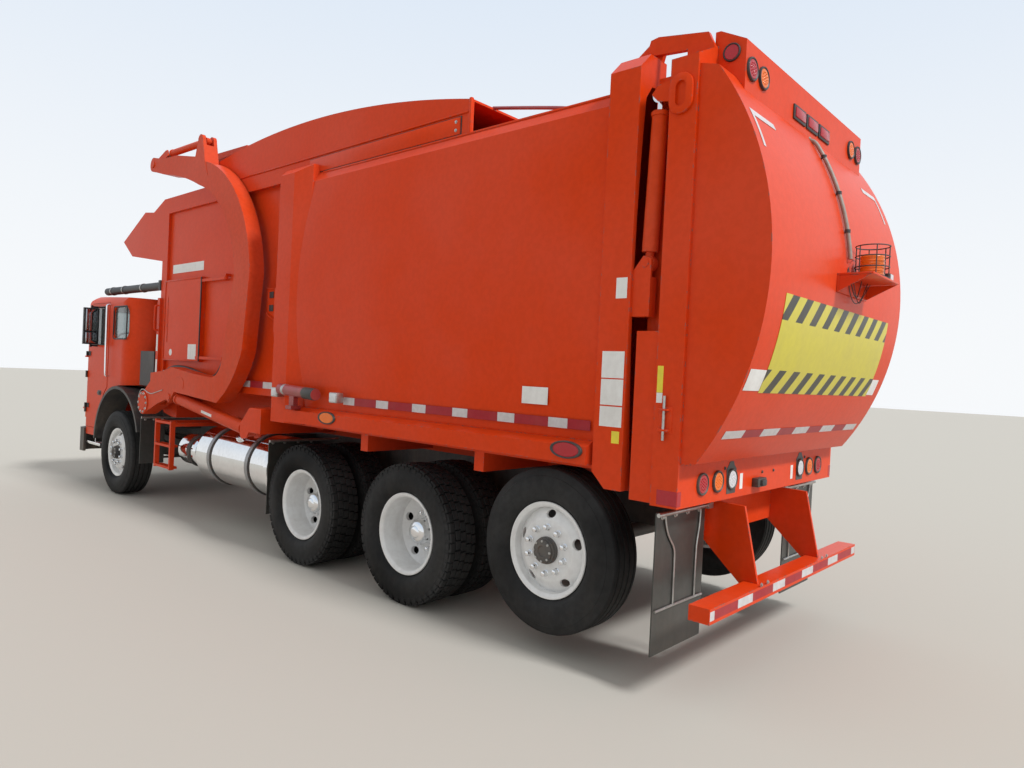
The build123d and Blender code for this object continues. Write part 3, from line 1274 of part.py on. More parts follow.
# Underride bumper, on two tapered plates from a cross member behind the rails
UNDER_REAR_Y = 4527.0
UNDER_DEEP = 120.0
UNDER_Z = (478.0, 560.0)
UNDER_X = 1180.0
UNDER_BEAM_X = 620.0
UNDER_BEAM_Y = (FRAME_REAR_Y + SEAT_GAP, FRAME_REAR_Y + 60)
UNDER_PLATE_X = (490.0, 510.0)
with BuildPart() as underride:
    block((-UNDER_X, UNDER_X), (UNDER_REAR_Y - UNDER_DEEP, UNDER_REAR_Y), UNDER_Z)
    block((-UNDER_BEAM_X, UNDER_BEAM_X), UNDER_BEAM_Y, (RAIL_Z + 20, RAIL_TOP_Z - 20))
    for side in (1, -1):
        side_plate(
            (
                (UNDER_BEAM_Y[0] + 10, RAIL_TOP_Z - 20),
                (4390, RAIL_TOP_Z - 30),
                (UNDER_REAR_Y - 20, UNDER_Z[0] + 10),
                (UNDER_REAR_Y - 90, UNDER_Z[0] + 10),
                (UNDER_BEAM_Y[0] + 10, RAIL_Z + 40),
            ),
            side * UNDER_PLATE_X[0],
            side * UNDER_PLATE_X[1],
        )
finish(underride.part, "underride_bumper")

# Mud flaps and the rods that carry them
FLAP_WALL = 8.0
FLAP_ROD_R = 12.0
# Flap's front face Y, inner X, bottom Z, rod's Z and inner end X
FLAPS = (
    (FRONT_AXLE_Y + 690, 900.0, 450.0, 1000.0, RAIL_OUT_X + SEAT_GAP),
    (140.0, 700.0, 330.0, 1000.0, RAIL_OUT_X + SEAT_GAP),
    (4185.0, 620.0, 215.0, 990.0, UNDER_BEAM_X - 60),
)
with BuildPart() as mud_flaps:
    for side in (1, -1):
        for flap_y, in_x, low_z, rod_z, rod_x in FLAPS:
            block((side * in_x, side * UNDER_X), (flap_y, flap_y + FLAP_WALL), (low_z, rod_z + FLAP_ROD_R))
finish(mud_flaps.part, "mud_flaps")
with BuildPart() as flap_rods:
    for side in (1, -1):
        for flap_y, in_x, low_z, rod_z, rod_x in FLAPS:
            rod_y = flap_y + FLAP_WALL + SEAT_GAP + FLAP_ROD_R
            cross_bar((side * rod_x, side * UNDER_X), (rod_y, rod_z), FLAP_ROD_R)
        block(
            (side * (UNDER_BEAM_X - 60), side * UNDER_BEAM_X),
            (UNDER_BEAM_Y[1] + SEAT_GAP, rod_y + FLAP_ROD_R),
            (rod_z - 20, rod_z + FLAP_ROD_R),
        )
finish(flap_rods.part, "flap_rods")

# Fuel tanks and a small air tank, in cradles on the rails
TANK_R = 300.0
TANK_X = 850.0
TANK_Z = 715.0
TANK_Y = (-1400.0, 30.0)
TANK_BEVEL = 24.0
AIR_TANK_R = 175.0
AIR_TANK_X = 850.0
AIR_TANK_Z = 690.0
AIR_TANK_Y = (-2110.0, -1710.0)
CRADLE_WALL = 10.0
CRADLE_LONG = 70.0
with BuildPart() as tanks:
    for side in (1, -1):
        bar((side * TANK_X, TANK_Y[0], TANK_Z), (side * TANK_X, TANK_Y[1], TANK_Z), TANK_R)
    bar((AIR_TANK_X, AIR_TANK_Y[0], AIR_TANK_Z), (AIR_TANK_X, AIR_TANK_Y[1], AIR_TANK_Z), AIR_TANK_R)
    chamfer(tanks.edges().filter_by(GeomType.CIRCLE), TANK_BEVEL)
finish(tanks.part, "tanks")

# Cradle: side, Y, tank X, Z and radius
CRADLES = (
    (1, -1110.0, TANK_X, TANK_Z, TANK_R),
    (1, -330.0, TANK_X, TANK_Z, TANK_R),
    (-1, -1110.0, TANK_X, TANK_Z, TANK_R),
    (-1, -330.0, TANK_X, TANK_Z, TANK_R),
    (1, -1860.0, AIR_TANK_X, AIR_TANK_Z, AIR_TANK_R),
)
with BuildPart() as tank_brackets:
    for side, cradle_y, tank_x, tank_z, tank_r in CRADLES:
        with BuildSketch(Plane.XZ.offset(-cradle_y - CRADLE_LONG)) as cradle:
            with Locations((side * tank_x, tank_z)):
                Circle(tank_r + CRADLE_WALL)
            with BuildLine():
                Polyline(
                    (side * (RAIL_OUT_X + SEAT_GAP), RAIL_TOP_Z - 20),
                    (side * (tank_x - 60), min(RAIL_TOP_Z - 20, tank_z + tank_r)),
                    (side * (tank_x - 60), tank_z),
                    (side * (tank_x - tank_r / 2), tank_z - tank_r * 0.87),
                    (side * (RAIL_OUT_X + SEAT_GAP), RAIL_Z + 20),
                    close=True,
                )
            make_face()
            with Locations((side * tank_x, tank_z)):
                Circle(tank_r + SEAT_GAP, mode=Mode.SUBTRACT)
        extrude(cradle.sketch, amount=CRADLE_LONG)
finish(tank_brackets.part, "tank_brackets")

# Step ladder on the left, ahead of the tanks
LADDER_X = (1150.0, 1200.0)
STILES_Y = (-2303.0, -1911.0)
with BuildPart() as ladder:
    for stile_y in STILES_Y:
        block(LADDER_X, (stile_y - 15, stile_y + 15), (480.0, 1022.0))
        block((RAIL_OUT_X + SEAT_GAP, LADDER_X[1]), (stile_y - 15, stile_y + 15), (960.0, 1000.0))
    for rung_z in (490.0, 730.0, 985.0):
        block((LADDER_X[0] - 40, LADDER_X[1]), (STILES_Y[0], STILES_Y[1]), (rung_z, rung_z + 25))
finish(ladder.part, "step_ladder")

# Front bumper, wrapped round the corners, with two brackets to the rails and two tow eyes
BUMPER_Z = (400.0, 720.0)
BUMPER_X = 1170.0
BUMPER_WALL = 60.0
BUMPER_ARM_Z = 560.0
TOW_X = 380.0
TOW_HALF = 20.0
TOW_R = 25.0
TOW_EYE = (FRONT_END_Y + 92, 370.0)
with BuildPart() as bumper:
    plan_plate(
        (
            (-BUMPER_X, FRAME_FRONT_Y),
            (-BUMPER_X, CAB_FRONT_Y + 20),
            (-BUMPER_X + 130, FRONT_END_Y),
            (BUMPER_X - 130, FRONT_END_Y),
            (BUMPER_X, CAB_FRONT_Y + 20),
            (BUMPER_X, FRAME_FRONT_Y),
            (BUMPER_X - 30, FRAME_FRONT_Y),
            (BUMPER_X - 40, CAB_FRONT_Y + 20),
            (BUMPER_X - 150, FRONT_END_Y + BUMPER_WALL),
            (-BUMPER_X + 150, FRONT_END_Y + BUMPER_WALL),
            (-BUMPER_X + 40, CAB_FRONT_Y + 20),
            (-BUMPER_X + 30, FRAME_FRONT_Y),
        ),
        *BUMPER_Z,
    )
    for side in (1, -1):
        rail = (side * RAIL_IN_X, side * RAIL_OUT_X)
        block(rail, (FRONT_END_Y + 40, FRAME_FRONT_Y - SEAT_GAP), (BUMPER_ARM_Z, BUMPER_Z[1] - 10))
        block(rail, (FRAME_FRONT_Y - 60, FRAME_FRONT_Y - SEAT_GAP), (BUMPER_ARM_Z, RAIL_TOP_Z - 20))
        side_plate(
            (
                (FRONT_END_Y + 40, 420),
                (FRONT_END_Y + 40, 640),
                (FRONT_END_Y + 190, 640),
                (FRONT_END_Y + 130, 330),
                (FRONT_END_Y + 55, 330),
            ),
            side * (TOW_X - TOW_HALF),
            side * (TOW_X + TOW_HALF),
        )
        cross_bar((side * (TOW_X - 30), side * (TOW_X + 30)), TOW_EYE, TOW_R, mode=Mode.SUBTRACT)
finish(bumper.part, "front_bumper")

# Engine: one plain block between the rails, under the cab's rear floor
with BuildPart() as engine:
    block((-310, 310), (-4150, CROSS_Y[1] - CROSS_LONG / 2 - SEAT_GAP), (700, 1330))
finish(engine.part, "engine")

# Cab: a hollow shell with a rounded plan and roof, window and door openings and a tunnel for the engine
SHIELD_LOW = (CAB_FRONT_Y, 1560.0)
SHIELD_TOP = (-4700.0, 2440.0)
CAB_ARC_Y = -4264.0
TOE_Y = -4240.0  # foot of the step up to the rear floor
LOW_FLOOR_Z = RAIL_TOP_Z + SEAT_GAP
WINDOW_Z = (1850.0, 2350.0)
WINDOW_INSET = 60.0
PANE_Z = (1600.0, 2330.0)
PANE_X = 490.0
PANE_WIDE = 900.0
QUARTER_Y = (-3835.0, -3405.0)
QUARTER_Z = (1930.0, 2340.0)
GLASS_OUT = 18.0
GLASS_WALL = 6.0
DOOR_WALL = 43.0
CAB_HINGE = (1166.0, -4700.0)
CAB_HINGE_Z = (1000.0, 1700.0)
CAB_PIN_R = 8.0
CAB_EYE_R = 14.0
CAB_EYE_HIGH = 60.0


def cab_plan(inset):
    """The cab from above, with rounded corners, smaller by the inset."""
    half, front, rear = CAB_X - inset, CAB_FRONT_Y + inset, CAB_REAR_Y - inset
    with BuildLine() as outline:
        for side in (1, -1):
            Line((0, front), (side * (half - 180), front))
            ThreePointArc(
                (side * (half - 180), front), (side * (half - 53), front + 53), (side * half, front + 180)
            )
            Line((side * half, front + 180), (side * half, rear - 350))
            ThreePointArc(
                (side * half, rear - 350), (side * (half - 103), rear - 103), (side * (half - 350), rear)
            )
            Line((side * (half - 350), rear), (0, rear))
    make_face(outline.edges())


def cab_end(inset):
    """The cab from the front, with rounded roof edges, smaller by the inset."""
    half, top = CAB_X - inset, CAB_ROOF_Z + 20 - inset
    with BuildLine() as outline:
        Line((-half, 0), (half, 0))
        for side in (1, -1):
            Line((side * half, 0), (side * half, top - 130))
            ThreePointArc(
                (side * half, top - 130), (side * (half - 50), top - 42), (side * (half - 190), top - 16)
            )
        ThreePointArc((half - 190, top - 16), (0, top), (190 - half, top - 16))
    make_face(outline.edges())


def door_outline(gap):
    """A cab door from the side, as (Y, Z), smaller by the gap."""
    with BuildLine() as outline:
        Polyline(
            (CAB_DOOR_Y[0] + gap, 740 + gap),
            (-4360 - gap, 740 + gap),
            (-4330 - gap, 860 + gap),
            (-4080 - gap, 1210 + gap),
            (CAB_DOOR_Y[1] - gap, 1300 + gap),
            (CAB_DOOR_Y[1] - gap, 2400 - gap),
            (-4570 + gap, 2400 - gap),
            (-4625 + gap, 2350 - gap),
            (CAB_DOOR_Y[0] + gap, 1850),
            close=True,
        )
    make_face(outline.edges())


def window_outline(gap):
    """A cab door's window from the side, smaller by the gap."""
    with BuildLine() as outline:
        Polyline(
            (CAB_DOOR_Y[0] + WINDOW_INSET + gap, WINDOW_Z[0] + gap),
            (CAB_DOOR_Y[1] - WINDOW_INSET - gap, WINDOW_Z[0] + gap),
            (CAB_DOOR_Y[1] - WINDOW_INSET - gap, WINDOW_Z[1] - gap),
            (-4575 + gap, WINDOW_Z[1] - gap),
            close=True,
        )
    make_face(outline.edges())


with BuildPart() as cab_room:
    side_plate(
        (
            (CAB_FRONT_Y + CAB_WALL, LOW_FLOOR_Z + CAB_WALL),
            (TOE_Y - 70, LOW_FLOOR_Z + CAB_WALL),
            (TOE_Y, CAB_REAR_LOW_Z + CAB_WALL),
            (CAB_REAR_Y - CAB_WALL, CAB_REAR_LOW_Z + CAB_WALL),
            (CAB_REAR_Y - CAB_WALL, CAB_ROOF_Z - 100),
            (-4560, CAB_ROOF_Z - CAB_WALL),
            (SHIELD_TOP[0] + 40, SHIELD_TOP[1] - 30),
            (CAB_FRONT_Y + CAB_WALL, SHIELD_LOW[1]),
        ),
        -CAB_X,
        CAB_X,
    )
    with BuildSketch() as room_plan:
        cab_plan(CAB_WALL)
    extrude(room_plan.sketch, amount=3000, mode=Mode.INTERSECT)
    with BuildSketch(Plane.XZ.offset(-CAB_REAR_Y)) as room_end:
        cab_end(CAB_WALL)
    extrude(room_end.sketch, amount=CAB_REAR_Y - CAB_FRONT_Y, mode=Mode.INTERSECT)

with BuildPart() as cab:
    with BuildSketch(Plane.YZ.offset(-CAB_X)) as outside:
        with BuildLine():
            Polyline(
                (CAB_ARC_Y, CAB_LOW_Z),
                (FRAME_FRONT_Y + 10, CAB_LOW_Z),
                (FRAME_FRONT_Y + 10, BUMPER_Z[1] + 10),
                (CAB_FRONT_Y, BUMPER_Z[1] + 10),
                SHIELD_LOW,
                SHIELD_TOP,
                (-4560, CAB_ROOF_Z),
                (CAB_REAR_Y, CAB_ROOF_Z - 60),
                (CAB_REAR_Y, CAB_REAR_LOW_Z),
                (ARCH_MIDDLE[0], ARCH_MIDDLE[1] + ARCH_R),
            )
            ThreePointArc(
                (ARCH_MIDDLE[0], ARCH_MIDDLE[1] + ARCH_R), (-4047, 1127), (CAB_ARC_Y, CAB_LOW_Z)
            )
        make_face()
    extrude(outside.sketch, amount=2 * CAB_X)
    with BuildSketch() as plan:
        cab_plan(0)
    extrude(plan.sketch, amount=3000, mode=Mode.INTERSECT)
    with BuildSketch(Plane.XZ.offset(-CAB_REAR_Y)) as end:
        cab_end(0)
    extrude(end.sketch, amount=CAB_REAR_Y - CAB_FRONT_Y, mode=Mode.INTERSECT)
    add(cab_room.part, mode=Mode.SUBTRACT)
    # Room below for the rails, between the skirts, and for the engine
    block((-1100, 1100), (CAB_FRONT_Y + CAB_WALL, -4100), (0, LOW_FLOOR_Z), mode=Mode.SUBTRACT)
    block((-330, 330), (-4170, -3190), (0, 1350), mode=Mode.SUBTRACT)
    for side in (1, -1):
        with BuildSketch(Plane.XZ.offset(-CAB_FRONT_Y - 260)) as pane:
            with Locations((side * PANE_X, (PANE_Z[0] + PANE_Z[1]) / 2)):
                RectangleRounded(PANE_WIDE, PANE_Z[1] - PANE_Z[0], 60)
        extrude(pane.sketch, amount=270, mode=Mode.SUBTRACT)
        with BuildSketch(Plane.YZ.offset(side * 850)) as quarter:
            with Locations(((QUARTER_Y[0] + QUARTER_Y[1]) / 2, (QUARTER_Z[0] + QUARTER_Z[1]) / 2)):
                RectangleRounded(QUARTER_Y[1] - QUARTER_Y[0], QUARTER_Z[1] - QUARTER_Z[0], 90)
        extrude(quarter.sketch, amount=side * 400, mode=Mode.SUBTRACT)
        with BuildSketch(Plane.YZ.offset(side * (CAB_X - CAB_WALL - 60))) as doorway:
            door_outline(0)
        extrude(doorway.sketch, amount=side * 200, mode=Mode.SUBTRACT)
        # Hinge pins of the door
        pin_at = (side * CAB_HINGE[0], CAB_HINGE[1])
        for eye_z in CAB_HINGE_Z:
            block(
                (side * (CAB_X - 20), side * (CAB_HINGE[0] + CAB_EYE_R)),
                (CAB_HINGE[1] - 40, CAB_HINGE[1] + 4),
                (eye_z - 22, eye_z - 1),
            )
            bar((*pin_at, eye_z - 20), (*pin_at, eye_z + CAB_EYE_HIGH), CAB_PIN_R)
finish(cab.part, "cab_shell")

# Cab doors with the mirrors that ride on them, and their windows
MIRROR_X = (1160.0, 1340.0)
MIRROR_Y = (-4370.0, -4325.0)
MIRROR_Z = (1850.0, 2330.0)
STALK_X = 1250.0
for side_name, side in SIDES:
    door_in = side * (CAB_X + 4 - DOOR_WALL)
    with BuildPart() as cab_door:
        with BuildSketch(Plane.YZ.offset(door_in)) as leaf:
            door_outline(DOOR_GAP)
        with BuildSketch(Plane.YZ.offset(door_in)) as opening:
            window_outline(0)
        extrude(leaf.sketch - opening.sketch, amount=side * DOOR_WALL)
        for eye_z in CAB_HINGE_Z:
            eye_at = (side * CAB_HINGE[0], CAB_HINGE[1])
            bar((*eye_at, eye_z), (*eye_at, eye_z + CAB_EYE_HIGH), CAB_EYE_R)
            block(
                (side * (CAB_X - 5), side * (CAB_X + 12)),
                (CAB_HINGE[1] + 8, CAB_HINGE[1] + 110),
                (eye_z, eye_z + CAB_EYE_HIGH),
            )
            bar((*eye_at, eye_z - 1), (*eye_at, eye_z + CAB_EYE_HIGH + 1), CAB_PIN_R + RUN_GAP, mode=Mode.SUBTRACT)
        block((side * MIRROR_X[0], side * MIRROR_X[1]), MIRROR_Y, MIRROR_Z)
        for stalk_z in (MIRROR_Z[0] - 26, MIRROR_Z[1] + 6):
            block((side * (CAB_X - 10), side * STALK_X), (MIRROR_Y[0], MIRROR_Y[0] + 20), (stalk_z, stalk_z + 20))
            block(
                (side * (STALK_X - 20), side * STALK_X), (MIRROR_Y[0], MIRROR_Y[0] + 20), (stalk_z - 10, stalk_z + 30)
            )
    finish(cab_door.part, f"cab_door_{side_name}")
    with BuildPart() as door_glass:
        with BuildSketch(Plane.YZ.offset(side * (CAB_X - GLASS_OUT))) as pane:
            window_outline(SEAT_GAP)
        extrude(pane.sketch, amount=side * GLASS_WALL)
    finish(door_glass.part, f"door_glass_{side_name}")

# Fixed glass: two panes in front and a curved quarter window in each rear corner
with BuildPart() as curved_glass:
    with BuildSketch() as skin_out:
        cab_plan(GLASS_OUT)
    extrude(skin_out.sketch, amount=3000)
    with BuildSketch() as skin_in:
        cab_plan(GLASS_OUT + GLASS_WALL)
    extrude(skin_in.sketch, amount=3000, mode=Mode.SUBTRACT)
    with BuildSketch(Plane.YZ.offset(-CAB_X)) as quarter:
        with Locations(((QUARTER_Y[0] + QUARTER_Y[1]) / 2, (QUARTER_Z[0] + QUARTER_Z[1]) / 2)):
            RectangleRounded(
                QUARTER_Y[1] - QUARTER_Y[0] - 2 * SEAT_GAP,
                QUARTER_Z[1] - QUARTER_Z[0] - 2 * SEAT_GAP,
                90 - SEAT_GAP,
            )
    extrude(quarter.sketch, amount=2 * CAB_X, mode=Mode.INTERSECT)

with BuildPart() as cab_glass:
    for side in (1, -1):
        with BuildSketch(Plane.XZ.offset(-CAB_FRONT_Y - 260)) as pane:
            with Locations((side * PANE_X, (PANE_Z[0] + PANE_Z[1]) / 2)):
                RectangleRounded(PANE_WIDE - 2 * SEAT_GAP, PANE_Z[1] - PANE_Z[0] - 2 * SEAT_GAP, 60 - SEAT_GAP)
        extrude(pane.sketch, amount=270)
    side_plate(
        (
            (SHIELD_LOW[0] + GLASS_OUT, SHIELD_LOW[1]),
            (SHIELD_TOP[0] + GLASS_OUT, SHIELD_TOP[1]),
            (SHIELD_TOP[0] + GLASS_OUT + GLASS_WALL, SHIELD_TOP[1]),
            (SHIELD_LOW[0] + GLASS_OUT + GLASS_WALL, SHIELD_LOW[1]),
        ),
        -CAB_X,
        CAB_X,
        mode=Mode.INTERSECT,
    )
    add(curved_glass.part)
finish(cab_glass.part, "cab_glass")

# Cab inside: two seats on the rear floor, a dash and a steering wheel on its column
SEAT_Z = CAB_REAR_LOW_Z + CAB_WALL + SEAT_GAP
WHEEL_MIDDLE = (700.0, -4330.0, 1900.0)
WHEEL_RING = (234.0, 206.0)
WHEEL_SIDES = 20
WHEEL_WALL = 24.0
DASH_X = 880.0
DASH_Y = (-4790.0, -4560.0)
DASH_Z = (1250.0, 1600.0)
with BuildPart() as cab_interior:
    for side in (1, -1):
        side_plate(
            (
                (-3960, SEAT_Z),
                (-4040, 1700),
                (-4040, 1800),
                (-3680, 1790),
                (-3560, 2320),
                (-3460, 2320),
                (-3560, 1700),
                (-3640, SEAT_Z),
            ),
            side * 440,
            side * 960,
        )
    block((-DASH_X, DASH_X), DASH_Y, DASH_Z)
    block((-300, 300), (DASH_Y[0], DASH_Y[1] - 40), (LOW_FLOOR_Z + CAB_WALL + SEAT_GAP, DASH_Z[0] + 10))
    bar((WHEEL_MIDDLE[0], DASH_Y[1] - 40, DASH_Z[1] - 40), WHEEL_MIDDLE, 26)
    wheel_plane = Plane(origin=WHEEL_MIDDLE, z_dir=(0, 270, 340))
    with BuildSketch(wheel_plane.offset(-WHEEL_WALL / 2)) as ring:
        RegularPolygon(WHEEL_RING[0], WHEEL_SIDES)
        RegularPolygon(WHEEL_RING[1], WHEEL_SIDES, mode=Mode.SUBTRACT)
    extrude(ring.sketch, amount=WHEEL_WALL)
    for turn in (90, 210, 330):
        spoke = wheel_plane.from_local_coords(Vector(212 * cos(turn * pi / 180), 212 * sin(turn * pi / 180), 0))
        bar(WHEEL_MIDDLE, spoke, 10)
finish(cab_interior.part, "cab_interior")

# Arches over the front wheels, each on two rods from the rail
FENDER_IN_X = 870.0
FENDER_OUT_X = 1200.0
FENDER_R = (700.0, 735.0)
FENDER_REAR_Z = 820.0
with BuildPart() as fenders:
    for side in (1, -1):
        with BuildSketch(Plane.YZ.offset(side * FENDER_IN_X)) as arch:
            with Locations(ARCH_MIDDLE):
                Circle(FENDER_R[1])
                Circle(FENDER_R[0], mode=Mode.SUBTRACT)
            with Locations((ARCH_MIDDLE[0] - 500, 0)):
                Rectangle(1000, 2 * 620, mode=Mode.SUBTRACT)
            with Locations((ARCH_MIDDLE[0] + 500, 0)):
                Rectangle(1000, 2 * FENDER_REAR_Z, mode=Mode.SUBTRACT)
        extrude(arch.sketch, amount=side * (FENDER_OUT_X - FENDER_IN_X))
        for rod_at in ((-4215, 800), (-2836, 860)):
            cross_bar((side * (RAIL_OUT_X + SEAT_GAP), side * (FENDER_IN_X + 5)), rod_at, 14)
finish(fenders.part, "front_fenders")

# Air intake: a cleaner box behind the cab on two legs, and a duct along the roof's left edge
DUCT_X = 1000.0
DUCT_Z = 2575.0
DUCT_R = 50.0
with BuildPart() as air_intake:
    block((380, 1060), (-3170, -2770), (1370, 1790))
    for leg_y in (-3140, -2860):
        block((RAIL_IN_X, 420), (leg_y, leg_y + 50), (RAIL_TOP_Z + SEAT_GAP, 1371))
    bar((DUCT_X, -4500, DUCT_Z), (DUCT_X, -2730, DUCT_Z), DUCT_R)
    block(
        (DUCT_X - 60, DUCT_X + 60),
        (-2731, HOPPER_FRONT_Y - SEAT_GAP),
        (DUCT_Z - 60, DUCT_Z + 60),
    )
finish(air_intake.part, "air_intake")

# Canister on a saddle on the left side rail, behind the bolster
CANISTER_R = 48.0
CANISTER_X = FENDER_X + 17
CANISTER_ENDS = ((430.0, 1493.0), (980.0, 1470.0))
SADDLE_Y = (600.0, 690.0)
SADDLE_Z = 1328.7  # where its inner edge meets the rail's sloping top
with BuildPart() as rail_canister:
    block((CANISTER_X - 46, CANISTER_X + 48), SADDLE_Y, (SADDLE_Z, SADDLE_Z + 31))
    bar((CANISTER_X, *CANISTER_ENDS[0]), (CANISTER_X, *CANISTER_ENDS[1]), CANISTER_R)
    block((CANISTER_X - 22, CANISTER_X + 22), (SADDLE_Y[0] + 10, SADDLE_Y[1] - 10), (SADDLE_Z + 26, CANISTER_ENDS[1][1]))
finish(rail_canister.part, "rail_canister")
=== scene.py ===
# %% [markdown]
# # A front-loading garbage truck, dressed for a picture
# The truck's construction comes ready made, as solid pieces at their real size: frame, body, cab, arms,
# cylinders and wheels. Blender adds what a camera sees on them: paint, dirt, tread, lamps, tapes and
# bolts. Everything is in metres. +Z is up, -Y is towards the truck's front and +X is its left side.

# %% Load the frame
from math import atan2, cos, pi, radians, sin

import bpy
from mathutils import Matrix, Vector


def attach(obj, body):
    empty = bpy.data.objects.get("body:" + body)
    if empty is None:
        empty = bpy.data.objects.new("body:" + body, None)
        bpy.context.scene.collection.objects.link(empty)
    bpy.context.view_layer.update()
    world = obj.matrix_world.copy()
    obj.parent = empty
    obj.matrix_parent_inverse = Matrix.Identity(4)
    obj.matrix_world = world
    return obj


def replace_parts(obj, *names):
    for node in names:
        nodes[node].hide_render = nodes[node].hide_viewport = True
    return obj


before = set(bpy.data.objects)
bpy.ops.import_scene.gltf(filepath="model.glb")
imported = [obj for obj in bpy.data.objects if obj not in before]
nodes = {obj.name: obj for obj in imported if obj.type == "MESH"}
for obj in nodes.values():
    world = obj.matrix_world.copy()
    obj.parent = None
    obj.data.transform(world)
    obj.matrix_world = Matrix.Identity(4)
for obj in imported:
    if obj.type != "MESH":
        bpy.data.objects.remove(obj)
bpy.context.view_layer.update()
scene = bpy.context.scene
# Each side has a name, the sign of its X and the way that it faces
SIDES = (("left", 1, "+X"), ("right", -1, "-X"))

# %% [markdown]
# ## Camera
# The photographer stands behind the truck's left rear corner, at eye height, and holds the camera a
# little tilted. An aim and a roll say that in two values, where three angles about X, Y and Z would hide
# it.

# %% Camera
CAMERA_AT = Vector((4.637, 6.194, 1.714))
CAMERA_AIM = Vector((-0.7446, -0.6674, -0.0129))
CAMERA_ROLL = radians(2.73)
CAMERA_LENS = 25.44

camera_data = bpy.data.cameras.new("camera")
camera_data.sensor_width = 36.0
camera_data.lens = CAMERA_LENS
camera_data.clip_end = 400.0
camera = bpy.data.objects.new("camera", camera_data)
scene.collection.objects.link(camera)
camera.matrix_world = (
    Matrix.Translation(CAMERA_AT)
    @ CAMERA_AIM.to_track_quat("-Z", "Y").to_matrix().to_4x4()
    @ Matrix.Rotation(CAMERA_ROLL, 4, "Z")
)
scene.camera = camera

# %% [markdown]
# ## Floor and light
# A plain pale floor keeps the truck's shadow. The world lights it evenly, and a soft sun high behind the
# truck gives the bright rear faces and the shaded left side. The world shows a pale sky only to the
# camera and to shiny things, so that chrome has something to mirror while paint renders as it is written.

# %% Floor and light
FLOOR_SIZE = 160.0
FLOOR_COLOUR = (0.48, 0.46, 0.415, 1.0)
SUN_FROM = Vector((-0.05, 0.68, 0.74))
SUN_STRENGTH = 2.6
SUN_ANGLE = radians(9)
SKY_STRENGTH = 0.72
SKY_LOW = (0.93, 0.95, 0.97, 1.0)
SKY_HIGH = (0.62, 0.74, 0.9, 1.0)
SKY_FULL_AT = 0.8


def add(tree, kind, sockets=None, **settings):
    """Put a shader node in a tree. A socket gets a value, or a link from another node's socket."""
    node = tree.nodes.new("ShaderNode" + kind)
    for key, value in settings.items():
        setattr(node, key, value)
    for key, value in (sockets or {}).items():
        if isinstance(value, bpy.types.NodeSocket):
            tree.links.new(value, node.inputs[key])
        else:
            node.inputs[key].default_value = value
    return node


def deselect():
    """Leave edit mode and select nothing, because an operator acts on all that is selected."""
    if bpy.context.mode != "OBJECT":
        bpy.ops.object.mode_set(mode="OBJECT")
    bpy.ops.object.select_all(action="DESELECT")


def take(piece):
    """Select one piece and make it active."""
    deselect()
    piece.select_set(True)
    bpy.context.view_layer.objects.active = piece
    return piece


def settle(name):
    """Name the piece that was just added, and put its place, turn and size into its mesh."""
    piece = bpy.context.active_object
    piece.name = piece.data.name = name
    take(piece)
    bpy.ops.object.transform_apply(location=True, rotation=True, scale=True)
    return piece


bpy.context.view_layer.objects.active = nodes["chassis_frame"]
deselect()
bpy.ops.mesh.primitive_plane_add(size=FLOOR_SIZE, location=(0, 0, 0))
floor = settle("floor")
floor_paint = bpy.data.materials.new("pale_floor")
floor_paint.use_nodes = True
floor_shader = floor_paint.node_tree.nodes["Principled BSDF"]
floor_shader.inputs["Base Color"].default_value = FLOOR_COLOUR
floor_shader.inputs["Roughness"].default_value = 0.9
floor.data.materials.append(floor_paint)

sun_data = bpy.data.lights.new("sun", "SUN")
sun_data.energy = SUN_STRENGTH
sun_data.angle = SUN_ANGLE
sun = bpy.data.objects.new("sun", sun_data)
sun.matrix_world = (-SUN_FROM).to_track_quat("-Z", "Y").to_matrix().to_4x4()
scene.collection.objects.link(sun)

world = bpy.data.worlds.new("studio")
scene.world = world
world.use_nodes = True
sky = world.node_tree
sky.nodes.clear()
up = add(sky, "SeparateXYZ", {"Vector": add(sky, "TexCoord").outputs["Generated"]}).outputs["Z"]
rise = add(
    sky, "MapRange", {"Value": up, "From Min": 0.0, "From Max": SKY_FULL_AT},
    interpolation_type="SMOOTHSTEP"
)
tint = add(sky, "MixRGB", {"Fac": rise.outputs["Result"], "Color1": SKY_LOW, "Color2": SKY_HIGH})
seen = add(sky, "Background", {"Color": tint.outputs["Color"], "Strength": 1.0})
lit = add(sky, "Background", {"Color": (1.0, 1.0, 1.0, 1.0), "Strength": SKY_STRENGTH})
path = add(sky, "LightPath")
shiny = add(
    sky, "Math", {0: path.outputs["Is Glossy Ray"], 1: path.outputs["Is Transmission Ray"]},
    operation="MAXIMUM"
)
either = add(sky, "Math", {0: path.outputs["Is Camera Ray"], 1: shiny.outputs[0]}, operation="MAXIMUM")
mixed = add(sky, "MixShader", {0: either.outputs[0], 1: lit.outputs[0], 2: seen.outputs[0]})
sky.links.new(mixed.outputs[0], add(sky, "OutputWorld").inputs["Surface"])
scene.view_settings.view_transform = "Standard"
print("sun comes from", [round(v, 2) for v in SUN_FROM.normalized()])

# %% [markdown]
# ## Effects that several finishes share
# Real paint is never one colour. It fades in clouds, dust and road spray settle low down and run in
# streaks, edges chip, and a spray gun leaves a fine skin like orange peel. Each effect is one node group,
# so that every material can use it with its own values. Painting such marks by hand would need image
# files.


